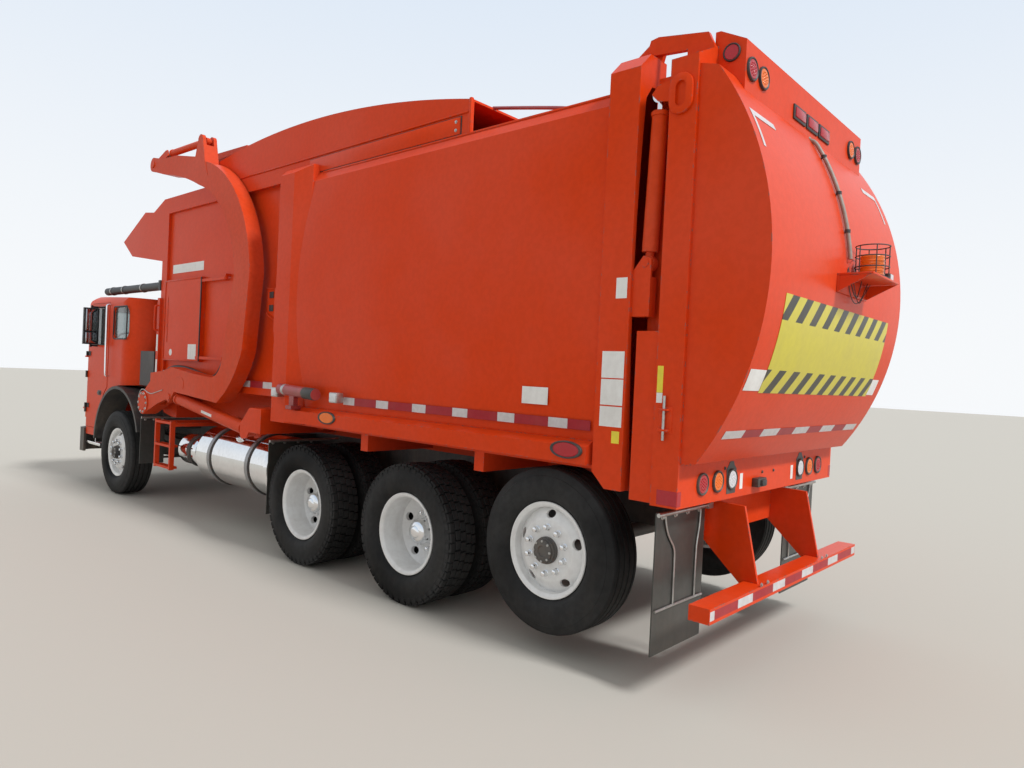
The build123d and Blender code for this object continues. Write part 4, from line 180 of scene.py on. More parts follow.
# %% Shared effects
def effect(name, inputs, outputs):
    """An empty node group with named inputs and outputs, its input node and its output node."""
    made = bpy.data.node_groups.new(name, "ShaderNodeTree")
    kinds = {"colour": "NodeSocketColor", "value": "NodeSocketFloat", "vector": "NodeSocketVector"}
    for label, kind, value in inputs:
        socket = made.interface.new_socket(label, in_out="INPUT", socket_type=kinds[kind])
        if value is not None:
            socket.default_value = value
    for label, kind in outputs:
        made.interface.new_socket(label, in_out="OUTPUT", socket_type=kinds[kind])
    return made, made.nodes.new("NodeGroupInput").outputs, made.nodes.new("NodeGroupOutput").inputs


def noise(tree, place, scale, detail=4.0, rough=0.55, stretch=(1.0, 1.0, 1.0)):
    """A noise value on a place vector, which may be stretched along an axis."""
    spread = add(tree, "Mapping", {"Vector": place, "Scale": stretch})
    return add(
        tree, "TexNoise",
        {"Vector": spread.outputs[0], "Scale": scale, "Detail": detail, "Roughness": rough}
    ).outputs["Fac"]


def ramp(tree, value, low, high, to_low=0.0, to_high=1.0):
    """A value spread smoothly from one range to another."""
    return add(
        tree,
        "MapRange",
        {"Value": value, "From Min": low, "From Max": high, "To Min": to_low, "To Max": to_high},
        interpolation_type="SMOOTHSTEP",
    ).outputs["Result"]


def calc(tree, operation, first, second, clamp=False):
    """One step of arithmetic on values."""
    return add(tree, "Math", {0: first, 1: second}, operation=operation, use_clamp=clamp).outputs[0]


def blend_colour(tree, amount, first, second, way="MIX"):
    """Two colours blended by an amount."""
    return add(
        tree, "MixRGB", {"Fac": amount, "Color1": first, "Color2": second}, blend_type=way
    ).outputs[0]


WHITE = (1.0, 1.0, 1.0, 1.0)
GREY = (0.45, 0.42, 0.42, 1.0)
DUST = (0.3, 0.24, 0.18, 1.0)

MOTTLE, given, out = effect(
    "mottled_colour",
    (("Place", "vector", None), ("Colour", "colour", WHITE), ("Strength", "value", 0.1)),
    (("Colour", "colour"),)
)
clouds = ramp(MOTTLE, noise(MOTTLE, given["Place"], 0.9, 5.0), 0.3, 0.7)
specks = ramp(MOTTLE, noise(MOTTLE, given["Place"], 26.0, 3.0), 0.35, 0.65)
paler = blend_colour(MOTTLE, 0.5, given["Colour"], WHITE, "SCREEN")
darker = blend_colour(MOTTLE, 1.0, given["Colour"], GREY, "MULTIPLY")
faded = blend_colour(
    MOTTLE, calc(MOTTLE, "MULTIPLY", clouds, calc(MOTTLE, "MULTIPLY", given["Strength"], 0.35)),
    given["Colour"], paler
)
MOTTLE.links.new(
    blend_colour(MOTTLE, calc(MOTTLE, "MULTIPLY", specks, given["Strength"]), faded, darker),
    out["Colour"]
)

DIRT, given, out = effect(
    "road_dirt",
    (("Place", "vector", None), ("Amount", "value", 0.5), ("Height", "value", 1.2)),
    (("Mask", "value"),),
)
high = add(DIRT, "SeparateXYZ", {"Vector": given["Place"]}).outputs["Z"]
low_down = ramp(DIRT, calc(DIRT, "DIVIDE", high, given["Height"]), 0.15, 1.0, 1.0, 0.12)
patches = ramp(DIRT, noise(DIRT, given["Place"], 3.2, 6.0, 0.62), 0.38, 0.72)
runs = ramp(DIRT, noise(DIRT, given["Place"], 6.0, 4.0, 0.6, (2.6, 2.6, 0.16)), 0.46, 0.78)
marks = calc(DIRT, "ADD", calc(DIRT, "MULTIPLY", patches, 0.7), calc(DIRT, "MULTIPLY", runs, 0.55), True)
DIRT.links.new(
    calc(DIRT, "MULTIPLY", calc(DIRT, "MULTIPLY", marks, low_down), given["Amount"], True), out["Mask"]
)

CHIPS, given, out = effect(
    "chipped_edges", (("Place", "vector", None), ("Amount", "value", 0.5), ("Width", "value", 0.014)),
    (("Mask", "value"),)
)
rounded = add(CHIPS, "Bevel", {"Radius": given["Width"]}, samples=4).outputs[0]
flat = add(CHIPS, "NewGeometry").outputs["Normal"]
bent = add(CHIPS, "VectorMath", {0: rounded, 1: flat}, operation="DOT_PRODUCT").outputs["Value"]
edge = ramp(CHIPS, bent, 0.975, 0.9)
ragged = ramp(CHIPS, noise(CHIPS, given["Place"], 22.0, 7.0, 0.72), 0.53, 0.6)
CHIPS.links.new(
    calc(CHIPS, "MULTIPLY", calc(CHIPS, "MULTIPLY", edge, ragged), given["Amount"], True), out["Mask"]
)

SKIN, given, out = effect(
    "fine_skin", (("Place", "vector", None), ("Scale", "value", 300.0), ("Dents", "value", 0.2)),
    (("Height", "value"),)
)
fine = add(
    SKIN, "TexNoise", {"Vector": given["Place"], "Scale": given["Scale"], "Detail": 2.0}
).outputs["Fac"]
dents = noise(SKIN, given["Place"], 2.1, 2.0)
SKIN.links.new(
    calc(SKIN, "ADD", fine, calc(SKIN, "MULTIPLY", dents, calc(SKIN, "MULTIPLY", given["Dents"], 100.0))),
    out["Height"]
)


def effect_node(tree, group, **sockets):
    """Place a shared effect in a material, with its own values."""
    node = tree.nodes.new("ShaderNodeGroup")
    node.node_tree = group
    for key, value in sockets.items():
        if isinstance(value, bpy.types.NodeSocket):
            tree.links.new(value, node.inputs[key])
        else:
            node.inputs[key].default_value = value
    return node.outputs[0]


print("shared effects:", [group.name for group in bpy.data.node_groups])

# %% [markdown]
# ## Finishes
# Most surfaces here are a hard skin with dirt on it: paint, plastic, enamel, plated steel. One function
# makes them all from a few values, so that a new finish is one line. The doors' paint turns black past
# the cab's side, where the mirrors stand. The tyres and the hazard panel need patterns of their own, and
# get materials of their own where they are used.


# %% Finishes
def finish(
    name, colour, rough, metal=0.0, coat=0.0, mottle=0.12, dirt=0.35, dirt_high=1.3, chips=0.0,
    bare=(0.16, 0.13, 0.12, 1.0), skin=(260.0, 0.0), bump=0.0006, dirt_colour=DUST, gloss=0.5,
    black_past=0.0,
):
    """A hard finish: a mottled colour under dirt, with chipped edges and a fine skin."""
    material = bpy.data.materials.new(name)
    material.use_nodes = True
    tree = material.node_tree
    shader = tree.nodes["Principled BSDF"]
    shader.inputs["Metallic"].default_value = metal
    shader.inputs["Coat Weight"].default_value = coat
    shader.inputs["Coat Roughness"].default_value = 0.08
    shader.inputs["Specular IOR Level"].default_value = gloss
    place = add(tree, "TexCoord").outputs["Object"]
    shade = effect_node(tree, MOTTLE, Place=place, Colour=(*colour, 1.0), Strength=mottle)
    if black_past:
        out_x = calc(tree, "ABSOLUTE", add(tree, "SeparateXYZ", {"Vector": place}).outputs["X"], 0.0)
        shade = blend_colour(
            tree, calc(tree, "GREATER_THAN", out_x, black_past), shade, (0.015, 0.015, 0.016, 1.0)
        )
    dirty = effect_node(tree, DIRT, Place=place, Amount=dirt, Height=dirt_high)
    shade = blend_colour(tree, dirty, shade, dirt_colour)
    roughness = ramp(tree, dirty, 0.0, 1.0, rough, min(1.0, rough + 0.45))
    if chips:
        chipped = effect_node(tree, CHIPS, Place=place, Amount=chips)
        shade = blend_colour(tree, chipped, shade, bare)
        roughness = calc(tree, "ADD", roughness, calc(tree, "MULTIPLY", chipped, 0.3), True)
    tree.links.new(shade, shader.inputs["Base Color"])
    tree.links.new(roughness, shader.inputs["Roughness"])
    height = effect_node(tree, SKIN, Place=place, Scale=skin[0], Dents=skin[1])
    bumped = add(tree, "Bump", {"Height": height, "Strength": 0.5, "Distance": bump})
    tree.links.new(bumped.outputs[0], shader.inputs["Normal"])
    return material


BODY_COLOUR = (0.68, 0.047, 0.002)
MIRRORS_PAST_X = 1.158
ORANGE = finish(
    "orange_gloss_paint", BODY_COLOUR, 0.3, mottle=0.1, dirt=0.08, chips=0.9, skin=(180.0, 0.03),
    gloss=0.1
)
DOOR_ORANGE = finish(
    "orange_door_paint", BODY_COLOUR, 0.3, mottle=0.1, dirt=0.08, chips=0.9, skin=(180.0, 0.03),
    gloss=0.1, black_past=MIRRORS_PAST_X
)
ARM_ORANGE = finish(
    "orange_arm_paint", (0.64, 0.05, 0.003), 0.38, mottle=0.14, dirt=0.1, dirt_high=4.5, chips=0.8,
    skin=(150.0, 0.02), gloss=0.1
)
BLACK = finish(
    "black_frame_paint", (0.022, 0.022, 0.023), 0.45, mottle=0.25, dirt=0.55, dirt_high=1.5, chips=0.5,
    bare=(0.18, 0.08, 0.04, 1.0)
)
WHITE_ENAMEL = finish(
    "white_wheel_enamel", (0.78, 0.79, 0.79), 0.28, coat=0.3, mottle=0.1, dirt=0.3, dirt_high=1.4
)
CHROME = finish(
    "chrome", (0.84, 0.85, 0.86), 0.07, metal=1.0, mottle=0.08, dirt=0.12, dirt_high=2.0,
    skin=(40.0, 0.0), bump=0.0001
)
ROD_CHROME = finish(
    "cylinder_rod_chrome", (0.74, 0.75, 0.77), 0.12, metal=1.0, mottle=0.1, dirt=0.15, dirt_high=5.0,
    bump=0.0001
)
STEEL = finish(
    "zinc_steel", (0.52, 0.52, 0.5), 0.38, metal=0.9, mottle=0.3, dirt=0.4, dirt_high=4.0, bump=0.0003
)
IRON = finish(
    "engine_iron", (0.07, 0.07, 0.068), 0.6, metal=0.3, mottle=0.4, dirt=0.7, dirt_high=2.0, bump=0.002
)
BLACK_PLASTIC = finish(
    "black_moulded_plastic", (0.018, 0.018, 0.019), 0.5, mottle=0.2, dirt=0.4, dirt_high=2.4,
    skin=(420.0, 0.0)
)
RUBBER = finish(
    "flap_rubber", (0.03, 0.031, 0.027), 0.34, mottle=0.2, dirt=0.1, dirt_high=1.3, skin=(240.0, 0.3),
    bump=0.0006
)
RED_PAINT = finish(
    "red_canister_paint", (0.32, 0.02, 0.022), 0.4, coat=0.3, mottle=0.2, dirt=0.45, dirt_high=2.2,
    chips=0.6
)
TRIM = finish("cab_trim_vinyl", (0.055, 0.056, 0.06), 0.6, mottle=0.15, dirt=0.2, skin=(600.0, 0.0))
WHITE_DECAL = finish("blank_white_vinyl", (0.8, 0.8, 0.78), 0.45, mottle=0.1, dirt=0.35, dirt_high=4.0)
YELLOW_DECAL = finish("yellow_vinyl", (0.8, 0.66, 0.03), 0.42, mottle=0.1, dirt=0.25, dirt_high=4.0)
print("finishes:", len(bpy.data.materials))

# %% [markdown]
# ## Glass and lamp lenses
# Glass bends light and mirrors the sky, and lamp lenses are tinted plastic over a bright reflector. Both
# let light through, so they are made apart from the hard finishes. The lenses carry fine moulded ribs as
# bump.


# %% Glass and lenses
def clear(name, colour, rough, transmission, glow=0.0, ribs=0.0):
    """A clear or tinted material. Its ribs are a bump of Voronoi cells on the piece's own coordinates."""
    material = bpy.data.materials.new(name)
    material.use_nodes = True
    tree = material.node_tree
    shader = tree.nodes["Principled BSDF"]
    shader.inputs["Transmission Weight"].default_value = transmission
    shader.inputs["IOR"].default_value = 1.46
    place = add(tree, "TexCoord").outputs["Object"]
    shade = effect_node(tree, MOTTLE, Place=place, Colour=(*colour, 1.0), Strength=0.12)
    dirty = effect_node(tree, DIRT, Place=place, Amount=0.06, Height=4.0)
    tree.links.new(blend_colour(tree, dirty, shade, DUST), shader.inputs["Base Color"])
    tree.links.new(ramp(tree, dirty, 0.0, 1.0, rough, rough + 0.35), shader.inputs["Roughness"])
    if glow:
        shader.inputs["Emission Color"].default_value = (*colour, 1.0)
        shader.inputs["Emission Strength"].default_value = glow
    if ribs:
        cells = add(
            tree, "TexVoronoi", {"Vector": place, "Scale": ribs}, distance="EUCLIDEAN"
        ).outputs["Distance"]
        bumped = add(tree, "Bump", {"Height": cells, "Strength": 0.35, "Distance": 0.001})
        tree.links.new(bumped.outputs[0], shader.inputs["Normal"])
    return material


GLASS = clear("cab_glass", (0.5, 0.56, 0.56), 0.03, 0.9)
RED_LENS = clear("red_lens", (0.42, 0.004, 0.014), 0.15, 0.15, glow=0.1, ribs=110.0)
AMBER_LENS = clear("amber_lens", (0.85, 0.17, 0.004), 0.15, 0.15, glow=0.06, ribs=110.0)
CLEAR_LENS = clear("clear_lens", (0.8, 0.81, 0.84), 0.12, 0.2, ribs=110.0)
MIRROR_GLASS = finish(
    "mirror_glass", (0.34, 0.36, 0.38), 0.02, metal=1.0, mottle=0.02, dirt=0.05, dirt_high=4.0,
    bump=0.00002
)
print("clear materials made")

# %% [markdown]
# ## Dressing the frame's own pieces
# A piece whose shape is right only needs a finish. A table names the finish of each group of pieces. The
# tyres and wheels are left out of it and get a plain coat in a loop, because detailed pieces stand for
# them below.

# %% Dress the frame
CAD_FINISHES = (
    (ORANGE, ("load_body", "hopper", "hopper_hatch", "hood", "hopper_cover", "rear_door", "body_frame")),
    (ORANGE, ("underride_bumper", "step_ladder", "cab_shell")),
    (DOOR_ORANGE, ("cab_door_left", "cab_door_right")),
    (ARM_ORANGE, ("lift_arms", "forks", "lift_barrels", "fork_barrels", "tail_barrels")),
    (ROD_CHROME, ("lift_rods", "fork_rods", "tail_rods")),
    (BLACK, ("chassis_frame", "front_axle", "knuckle_left", "knuckle_right", "tie_rod")),
    (BLACK, ("drive_axles", "tag_axle", "tank_brackets", "front_bumper")),
    (BLACK_PLASTIC, ("front_fenders", "air_intake")),
    (STEEL, ("flap_rods",)),
    (IRON, ("engine",)),
    (RUBBER, ("mud_flaps",)),
    (CHROME, ("tanks",)),
    (RED_PAINT, ("rail_canister",)),
    (ORANGE, ("warning_lamp",)),
    (TRIM, ("cab_interior",)),
    (GLASS, ("cab_glass", "door_glass_left", "door_glass_right")),
    (BLACK_PLASTIC, ("rear_lamps",)),
)


def coat_node(node, material):
    """Give a CAD piece one finish, in the material slot of its object."""
    mesh = nodes[node].data
    mesh.materials.clear()
    mesh.materials.append(material)


for material, names in CAD_FINISHES:
    for node in names:
        coat_node(node, material)
for axle in ("front", "drive_1", "drive_2", "tag"):
    for side, *_ in SIDES:
        coat_node(f"{axle}_tyre_{side}", RUBBER)
        coat_node(f"{axle}_wheel_{side}", WHITE_ENAMEL)
print("dressed", sum(len(names) for _, names in CAD_FINISHES), "pieces of the frame")

# %% [markdown]
# ## Tools for modelling
# Most fittings are one of three kinds: a block with rolled edges, a round thing turned like clay on a
# wheel, or a bent pipe. Each kind gets a helper that works as a hand would: add a primitive at its size
# and place, then extrude, resize and bevel in edit mode. A fitting that repeats is made once at the
# origin and copied.


# %% Tools for modelling
def smooth(piece, angle=32):
    """Smooth shading, with edges sharper than the angle left crisp."""
    take(piece)
    bpy.ops.object.shade_smooth_by_angle(angle=radians(angle))
    return piece


def dress(piece, material, body="truck"):
    """Give a piece its finish and the body that it moves with."""
    piece.data.materials.clear()
    piece.data.materials.append(material)
    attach(piece, body)
    return piece


def block(name, low, high, roll=0.003, segments=2):
    """A block between two corners, its edges rolled."""
    deselect()
    bpy.ops.mesh.primitive_cube_add(size=1, location=[(a + b) / 2 for a, b in zip(low, high)])
    bpy.context.active_object.scale = [abs(b - a) for a, b in zip(low, high)]
    piece = settle(name)
    bpy.ops.object.mode_set(mode="EDIT")
    bpy.ops.mesh.select_all(action="SELECT")
    bpy.ops.mesh.bevel(offset=roll, segments=segments, affect="EDGES")
    bpy.ops.object.mode_set(mode="OBJECT")
    return smooth(piece)


def turned(name, rings, sides=40, angle=32):
    """A round piece along X: a filled circle that is extruded and resized from ring to ring (x, radius)."""
    deselect()
    (x, radius), *others = rings
    bpy.ops.mesh.primitive_circle_add(
        vertices=sides, radius=radius, fill_type="NGON", location=(x, 0, 0), rotation=(0, pi / 2, 0)
    )
    piece = settle(name)
    bpy.ops.object.mode_set(mode="EDIT")
    bpy.ops.mesh.select_all(action="SELECT")
    for next_x, next_radius in others:
        bpy.ops.mesh.extrude_region_move(TRANSFORM_OT_translate={"value": (next_x - x, 0, 0)})
        grow = next_radius / radius
        bpy.ops.transform.resize(value=(1, grow, grow), center_override=(next_x, 0, 0))
        x, radius = next_x, next_radius
    bpy.ops.mesh.select_all(action="SELECT")
    bpy.ops.mesh.normals_make_consistent(inside=False)
    bpy.ops.object.mode_set(mode="OBJECT")
    return smooth(piece, angle)


def spun(name, section, steps=72, angle=32):
    """A ring-shaped piece about X: a closed section of (x, radius) points, spun a full turn."""
    deselect()
    bpy.ops.mesh.primitive_circle_add(vertices=len(section))
    piece = settle(name)
    for corner, (x, radius) in zip(piece.data.vertices, section):
        corner.co = (x, 0.0, radius)
    bpy.ops.object.mode_set(mode="EDIT")
    bpy.ops.mesh.select_all(action="SELECT")
    bpy.ops.mesh.spin(steps=steps, angle=2 * pi, center=(0, 0, 0), axis=(1, 0, 0))
    bpy.ops.mesh.select_all(action="SELECT")
    bpy.ops.mesh.remove_doubles(threshold=0.00005)
    bpy.ops.mesh.normals_make_consistent(inside=False)
    bpy.ops.object.mode_set(mode="OBJECT")
    return smooth(piece, angle)


def outline(name, points, low, high, axis="X", roll=0.0, segments=2):
    """A plate from an outline: (Y, Z) along X, (X, Z) along Y or (X, Y) along Z, from low to high."""
    deselect()
    bpy.ops.mesh.primitive_circle_add(vertices=len(points), fill_type="NGON")
    piece = settle(name)
    for corner, (a, b) in zip(piece.data.vertices, points):
        corner.co = {"X": (low, a, b), "Y": (a, low, b), "Z": (a, b, low)}[axis]
    push = [(high - low) if axis == letter else 0 for letter in "XYZ"]
    bpy.ops.object.mode_set(mode="EDIT")
    bpy.ops.mesh.select_all(action="SELECT")
    bpy.ops.mesh.extrude_region_move(TRANSFORM_OT_translate={"value": push})
    bpy.ops.mesh.select_all(action="SELECT")
    bpy.ops.mesh.normals_make_consistent(inside=False)
    if roll:
        bpy.ops.mesh.bevel(offset=roll, segments=segments, affect="EDGES")
    bpy.ops.object.mode_set(mode="OBJECT")
    return smooth(piece)


def routed(name, points, radius, sides=5, order=3):
    """A round line that follows its points smoothly, left as a curve."""
    deselect()
    line = bpy.data.curves.new(name, "CURVE")
    line.dimensions = "3D"
    line.bevel_depth = radius
    line.bevel_resolution = sides
    line.resolution_u = 8
    line.use_fill_caps = True
    spline = line.splines.new("NURBS")
    spline.points.add(len(points) - 1)
    for knot, place in zip(spline.points, points):
        knot.co = (*place, 1.0)
    spline.order_u = order
    spline.use_endpoint_u = True
    piece = bpy.data.objects.new(name, line)
    scene.collection.objects.link(piece)
    return take(piece)


def pipe(name, points, radius, sides=5, order=3):
    """A bent pipe on a smooth line through its points, made a mesh."""
    routed(name, points, radius, sides, order)
    bpy.ops.object.convert(target="MESH")
    return smooth(bpy.context.active_object)


def cord_length(piece):
    """The length of a curve's own line, read from a copy of it that has no thickness."""
    thin = piece.copy()
    thin.data = piece.data.copy()
    thin.data.bevel_depth = 0.0
    points = [corner.co for corner in bpy.data.meshes.new_from_object(thin).vertices]
    bpy.data.objects.remove(thin)
    return sum((b - a).length for a, b in zip(points, points[1:]))


def copied(master, places, name):
    """Copies of one piece, each put in place by a matrix, joined into a piece of their own."""
    copies = []
    for place in places:
        copy = bpy.data.objects.new(name, master.data.copy())
        copy.data.transform(place)
        if place.determinant() < 0:
            copy.data.flip_normals()
        scene.collection.objects.link(copy)
        copies.append(copy)
    return joined(copies, name)


def joined(pieces, name):
    """Several pieces made one."""
    deselect()
    for piece in pieces:
        piece.select_set(True)
    bpy.context.view_layer.objects.active = pieces[0]
    if len(pieces) > 1:
        bpy.ops.object.join()
    whole = bpy.context.active_object
    whole.name = whole.data.name = name
    return whole


def drop(*pieces):
    """Delete masters that have been copied."""
    deselect()
    for piece in pieces:
        piece.select_set(True)
    bpy.ops.object.delete()


def at(x, y, z, toward="+X"):
    """A matrix that carries a piece made along +X to a place, facing along the given axis."""
    turns = {
        "+X": Matrix.Identity(4), "-X": Matrix.Rotation(pi, 4, "Z"), "+Y": Matrix.Rotation(pi / 2, 4, "Z"),
        "-Y": Matrix.Rotation(-pi / 2, 4, "Z"), "+Z": Matrix.Rotation(-pi / 2, 4, "Y"),
        "-Z": Matrix.Rotation(pi / 2, 4, "Y"),
    }
    return Matrix.Translation((x, y, z)) @ turns[toward]


print("tools ready")

# %% [markdown]
# ## Tyres
# Four tyres roll straight or steer, and have ribs with grooves between them. The eight driven ones have
# deep blocks that bite. A tyre is a closed section spun about the axle. The blocks of the driven tyres
# are modelled once for one step of the tread, and an Array modifier with a turned empty repeats them
# round the wheel.

# %% Rubber
TYRE = bpy.data.materials.new("tyre_rubber")
TYRE.use_nodes = True
tree = TYRE.node_tree
shader = tree.nodes["Principled BSDF"]
place = add(tree, "TexCoord").outputs["Object"]
shade = effect_node(tree, MOTTLE, Place=place, Colour=(0.0045, 0.0045, 0.005, 1.0), Strength=0.2)
shader.inputs["Specular IOR Level"].default_value = 0.1
dirty = effect_node(tree, DIRT, Place=place, Amount=0.2, Height=1.6)
tree.links.new(blend_colour(tree, dirty, shade, (0.075, 0.066, 0.056, 1.0)), shader.inputs["Base Color"])
tree.links.new(ramp(tree, dirty, 0.0, 1.0, 0.55, 0.9), shader.inputs["Roughness"])
height = effect_node(tree, SKIN, Place=place, Scale=340.0, Dents=0.0)
tree.links.new(
    add(tree, "Bump", {"Height": height, "Strength": 0.5, "Distance": 0.0006}).outputs[0],
    shader.inputs["Normal"]
)
print("rubber made")

# %% [markdown]
# ## Tyre bodies
# A section follows the tyre from the bead up the sidewall to the tread, with a step where the wall's
# scuff rib is. Only one half is written down, and the other half is its mirror image. The ribbed tyres
# get their grooves in the section itself, because a groove that runs round the wheel is part of what is
# spun.

# %% Tyre sections
TYRE_R = 0.5145
GROOVE = 0.013


def tyre_section(width, rim, tread_r, grooves):
    """Half widths and radii of a tyre, from the bore over one sidewall, the tread and back."""
    half, heel = width / 2, rim / 2 - 0.0145
    wall = [
        (heel, 0.2866), (heel, 0.3008), (heel + 0.01, 0.309), (heel + 0.02, 0.32), (half - 0.014, 0.332),
        (half - 0.006, 0.356), (half - 0.001, 0.386), (half - 0.001, 0.41), (half - 0.004, 0.433),
        (half - 0.009, 0.456), (half - 0.009, 0.459), (half - 0.012, 0.461), (half - 0.018, 0.486),
        (half - 0.026, tread_r - 0.009), (half - 0.036, tread_r - 0.002),
    ]
    tread = [(half - 0.044, tread_r)]
    for groove in grooves:
        tread += [
            (groove + 0.0075, tread_r), (groove + 0.0045, tread_r - GROOVE),
            (groove - 0.0045, tread_r - GROOVE), (groove - 0.0075, tread_r),
        ]
    tread.append((-half + 0.044, tread_r))
    return wall + tread + [(-x, radius) for x, radius in reversed(wall)]


RIBS = (0.08, 0.027, -0.027, -0.08)
front_tyre = spun("front_tyre_master", tyre_section(0.3, 0.23, TYRE_R, RIBS), steps=120)
tag_tyre = spun("tag_tyre_master", tyre_section(0.286, 0.23, TYRE_R, RIBS), steps=120)
drive_tyre = spun("drive_tyre_master", tyre_section(0.275, 0.21, TYRE_R - 0.017, ()), steps=120)
print("tyre bodies:", [len(piece.data.polygons) for piece in (front_tyre, tag_tyre, drive_tyre)])

# %% [markdown]
# ## Tread blocks
# The shoulder blocks reach round the edge of the tread and end in a step, two in each pitch, and the ribs
# between them are cut into slanted blocks. Each block starts as a cube. It is resized and slanted by
# moving the vertices of one side in edit mode, and its top edges are bevelled.

# %% Tread blocks
PITCHES = 46
PITCH = 2 * pi * TYRE_R / PITCHES


def tread_block(name, x_low, x_high, y_low, y_high, slant, base_r, top_r):
    """One block of tread at the top of the tyre, its outer side shifted along by the slant."""
    deselect()
    bpy.ops.mesh.primitive_cube_add(
        size=1, location=((x_low + x_high) / 2, (y_low + y_high) / 2, (base_r + top_r) / 2)
    )
    bpy.context.active_object.scale = (x_high - x_low, y_high - y_low, top_r - base_r)
    piece = settle(name)
    outer = max if abs(x_high) > abs(x_low) else min
    edge = outer(corner.co.x for corner in piece.data.vertices)
    for corner in piece.data.vertices:
        corner.select = abs(corner.co.x - edge) < 1e-5
    bpy.ops.object.mode_set(mode="EDIT")
    bpy.ops.transform.translate(value=(0, slant, 0))
    bpy.ops.mesh.select_all(action="SELECT")
    bpy.ops.mesh.bevel(offset=0.0022, segments=1, affect="EDGES")
    bpy.ops.object.mode_set(mode="OBJECT")
    return piece


blocks = []
for side in (1, -1):
    shift = 0.0 if side > 0 else PITCH / 2
    edges = sorted((side * 0.079, side * 0.118))
    blocks.append(
        tread_block("shoulder", *edges, shift + 0.004, shift + PITCH - 0.007, 0.01, 0.47, TYRE_R - 0.004)
    )
    edges = sorted((side * 0.112, side * 0.1265))
    blocks.append(
        tread_block("lug", *edges, shift + 0.01, shift + PITCH - 0.019, 0.004, 0.455, TYRE_R - 0.022)
    )
    edges = sorted((side * 0.03, side * 0.073))
    blocks.append(tread_block("middle", *edges, shift - 0.012, shift + PITCH - 0.022, 0.012, 0.48, TYRE_R))
blocks.append(tread_block("centre", -0.024, 0.024, 0.01, PITCH - 0.002, 0.006, 0.48, TYRE_R))
blocks = joined(blocks, "tread_step")
for corner in blocks.data.vertices:
    x, along, radius = corner.co
    corner.co = (x, radius * sin(along / TYRE_R), radius * cos(along / TYRE_R))
turner = bpy.data.objects.new("turner", None)
turner.matrix_world = Matrix.Rotation(2 * pi / PITCHES, 4, "X")
scene.collection.objects.link(turner)
take(blocks)
repeat = blocks.modifiers.new("round", "ARRAY")
repeat.count = PITCHES
repeat.use_relative_offset = False
repeat.use_object_offset = True
repeat.offset_object = turner
bpy.ops.object.modifier_apply(modifier="round")
drive_tyre = joined([drive_tyre, blocks], "drive_tyre_master")
drop(turner)
print("driven tyre:", len(drive_tyre.data.polygons), "faces")

# %% [markdown]
# ## Put the tyres on
# The first axle steers, two are driven and carry twin tyres, and the last one is lifted off the ground a
# little. Both tyres of a twin turn together, so they are one piece.

# %% Put the tyres on
FRONT_Y, DRIVE_1_Y, DRIVE_2_Y, TAG_Y = -3.467, 0.75, 2.13, 3.419
AXLE_Z, TAG_Z = 0.515, 0.643
OUTER_X, INNER_X = 1.095, 0.755
AXLES = (
    ("front", front_tyre, FRONT_Y, AXLE_Z, (1.066,)),
    ("drive_1", drive_tyre, DRIVE_1_Y, AXLE_Z, (OUTER_X, INNER_X)),
    ("drive_2", drive_tyre, DRIVE_2_Y, AXLE_Z, (OUTER_X, INNER_X)),
    ("tag", tag_tyre, TAG_Y, TAG_Z, (1.04,)),
)
for axle, master, y, z, places in AXLES:
    for side, sign, way in SIDES:
        matrices = [at(sign * x, y, z, way) for x in places]
        piece = copied(master, matrices, f"{axle}_tread_{side}")
        dress(piece, TYRE, f"{axle}_wheel_{side}")
        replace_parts(piece, f"{axle}_tyre_{side}")
drop(front_tyre, tag_tyre, drive_tyre)
print("tyres on", len(AXLES), "axles")

# %% [markdown]
# ## Wheels
# The wheels are white pressed steel. On the steered and lifted axles the disc bulges outwards, and on the
# driven axles it lies deep between the twin tyres. Each is a section spun about the axle, with a rolled
# flange. A Boolean modifier then cuts the ring of oval hand holes, as a press punches them.

# %% Wheels
STEER_SECTION = (
    (0.09, 0.06), (0.09, 0.18), (0.08, 0.196), (0.04, 0.254), (0.03, 0.2638), (-0.1145, 0.2638),
    (-0.1145, 0.2858), (0.1012, 0.2858), (0.1012, 0.2968), (0.105, 0.2994), (0.111, 0.2994),
    (0.1145, 0.296),
    (0.114, 0.288), (0.108, 0.276), (0.101, 0.267), (0.09, 0.2642), (0.056, 0.2642), (0.052, 0.262),
    (0.056, 0.256), (0.094, 0.204), (0.101, 0.194), (0.1035, 0.184), (0.1035, 0.06),
)
TWIN_SECTION = (
    (0.64, 0.06), (0.64, 0.2048), (0.896, 0.2048), (0.842, 0.2638), (0.6505, 0.2638), (0.6505, 0.2858),
    (0.858, 0.2858), (0.917, 0.19), (0.933, 0.19), (0.992, 0.2858), (1.186, 0.2858), (1.186, 0.2968),
    (1.19, 0.2994), (1.196, 0.2994), (1.1995, 0.296), (1.199, 0.288), (1.193, 0.276), (1.186, 0.268),
    (1.176, 0.2642), (1.02, 0.2642), (1.006, 0.26), (0.998, 0.248), (0.96, 0.198), (0.954, 0.188),
    (0.9525, 0.178), (0.9525, 0.06),
)
HAND_HOLE_AT, HAND_HOLES = 0.222, 5
HAND_HOLE_RADIUS, HAND_HOLE_STRETCH = 0.024, 1.45
STEER_FACE, TWIN_FACE = 0.1035, 0.9525


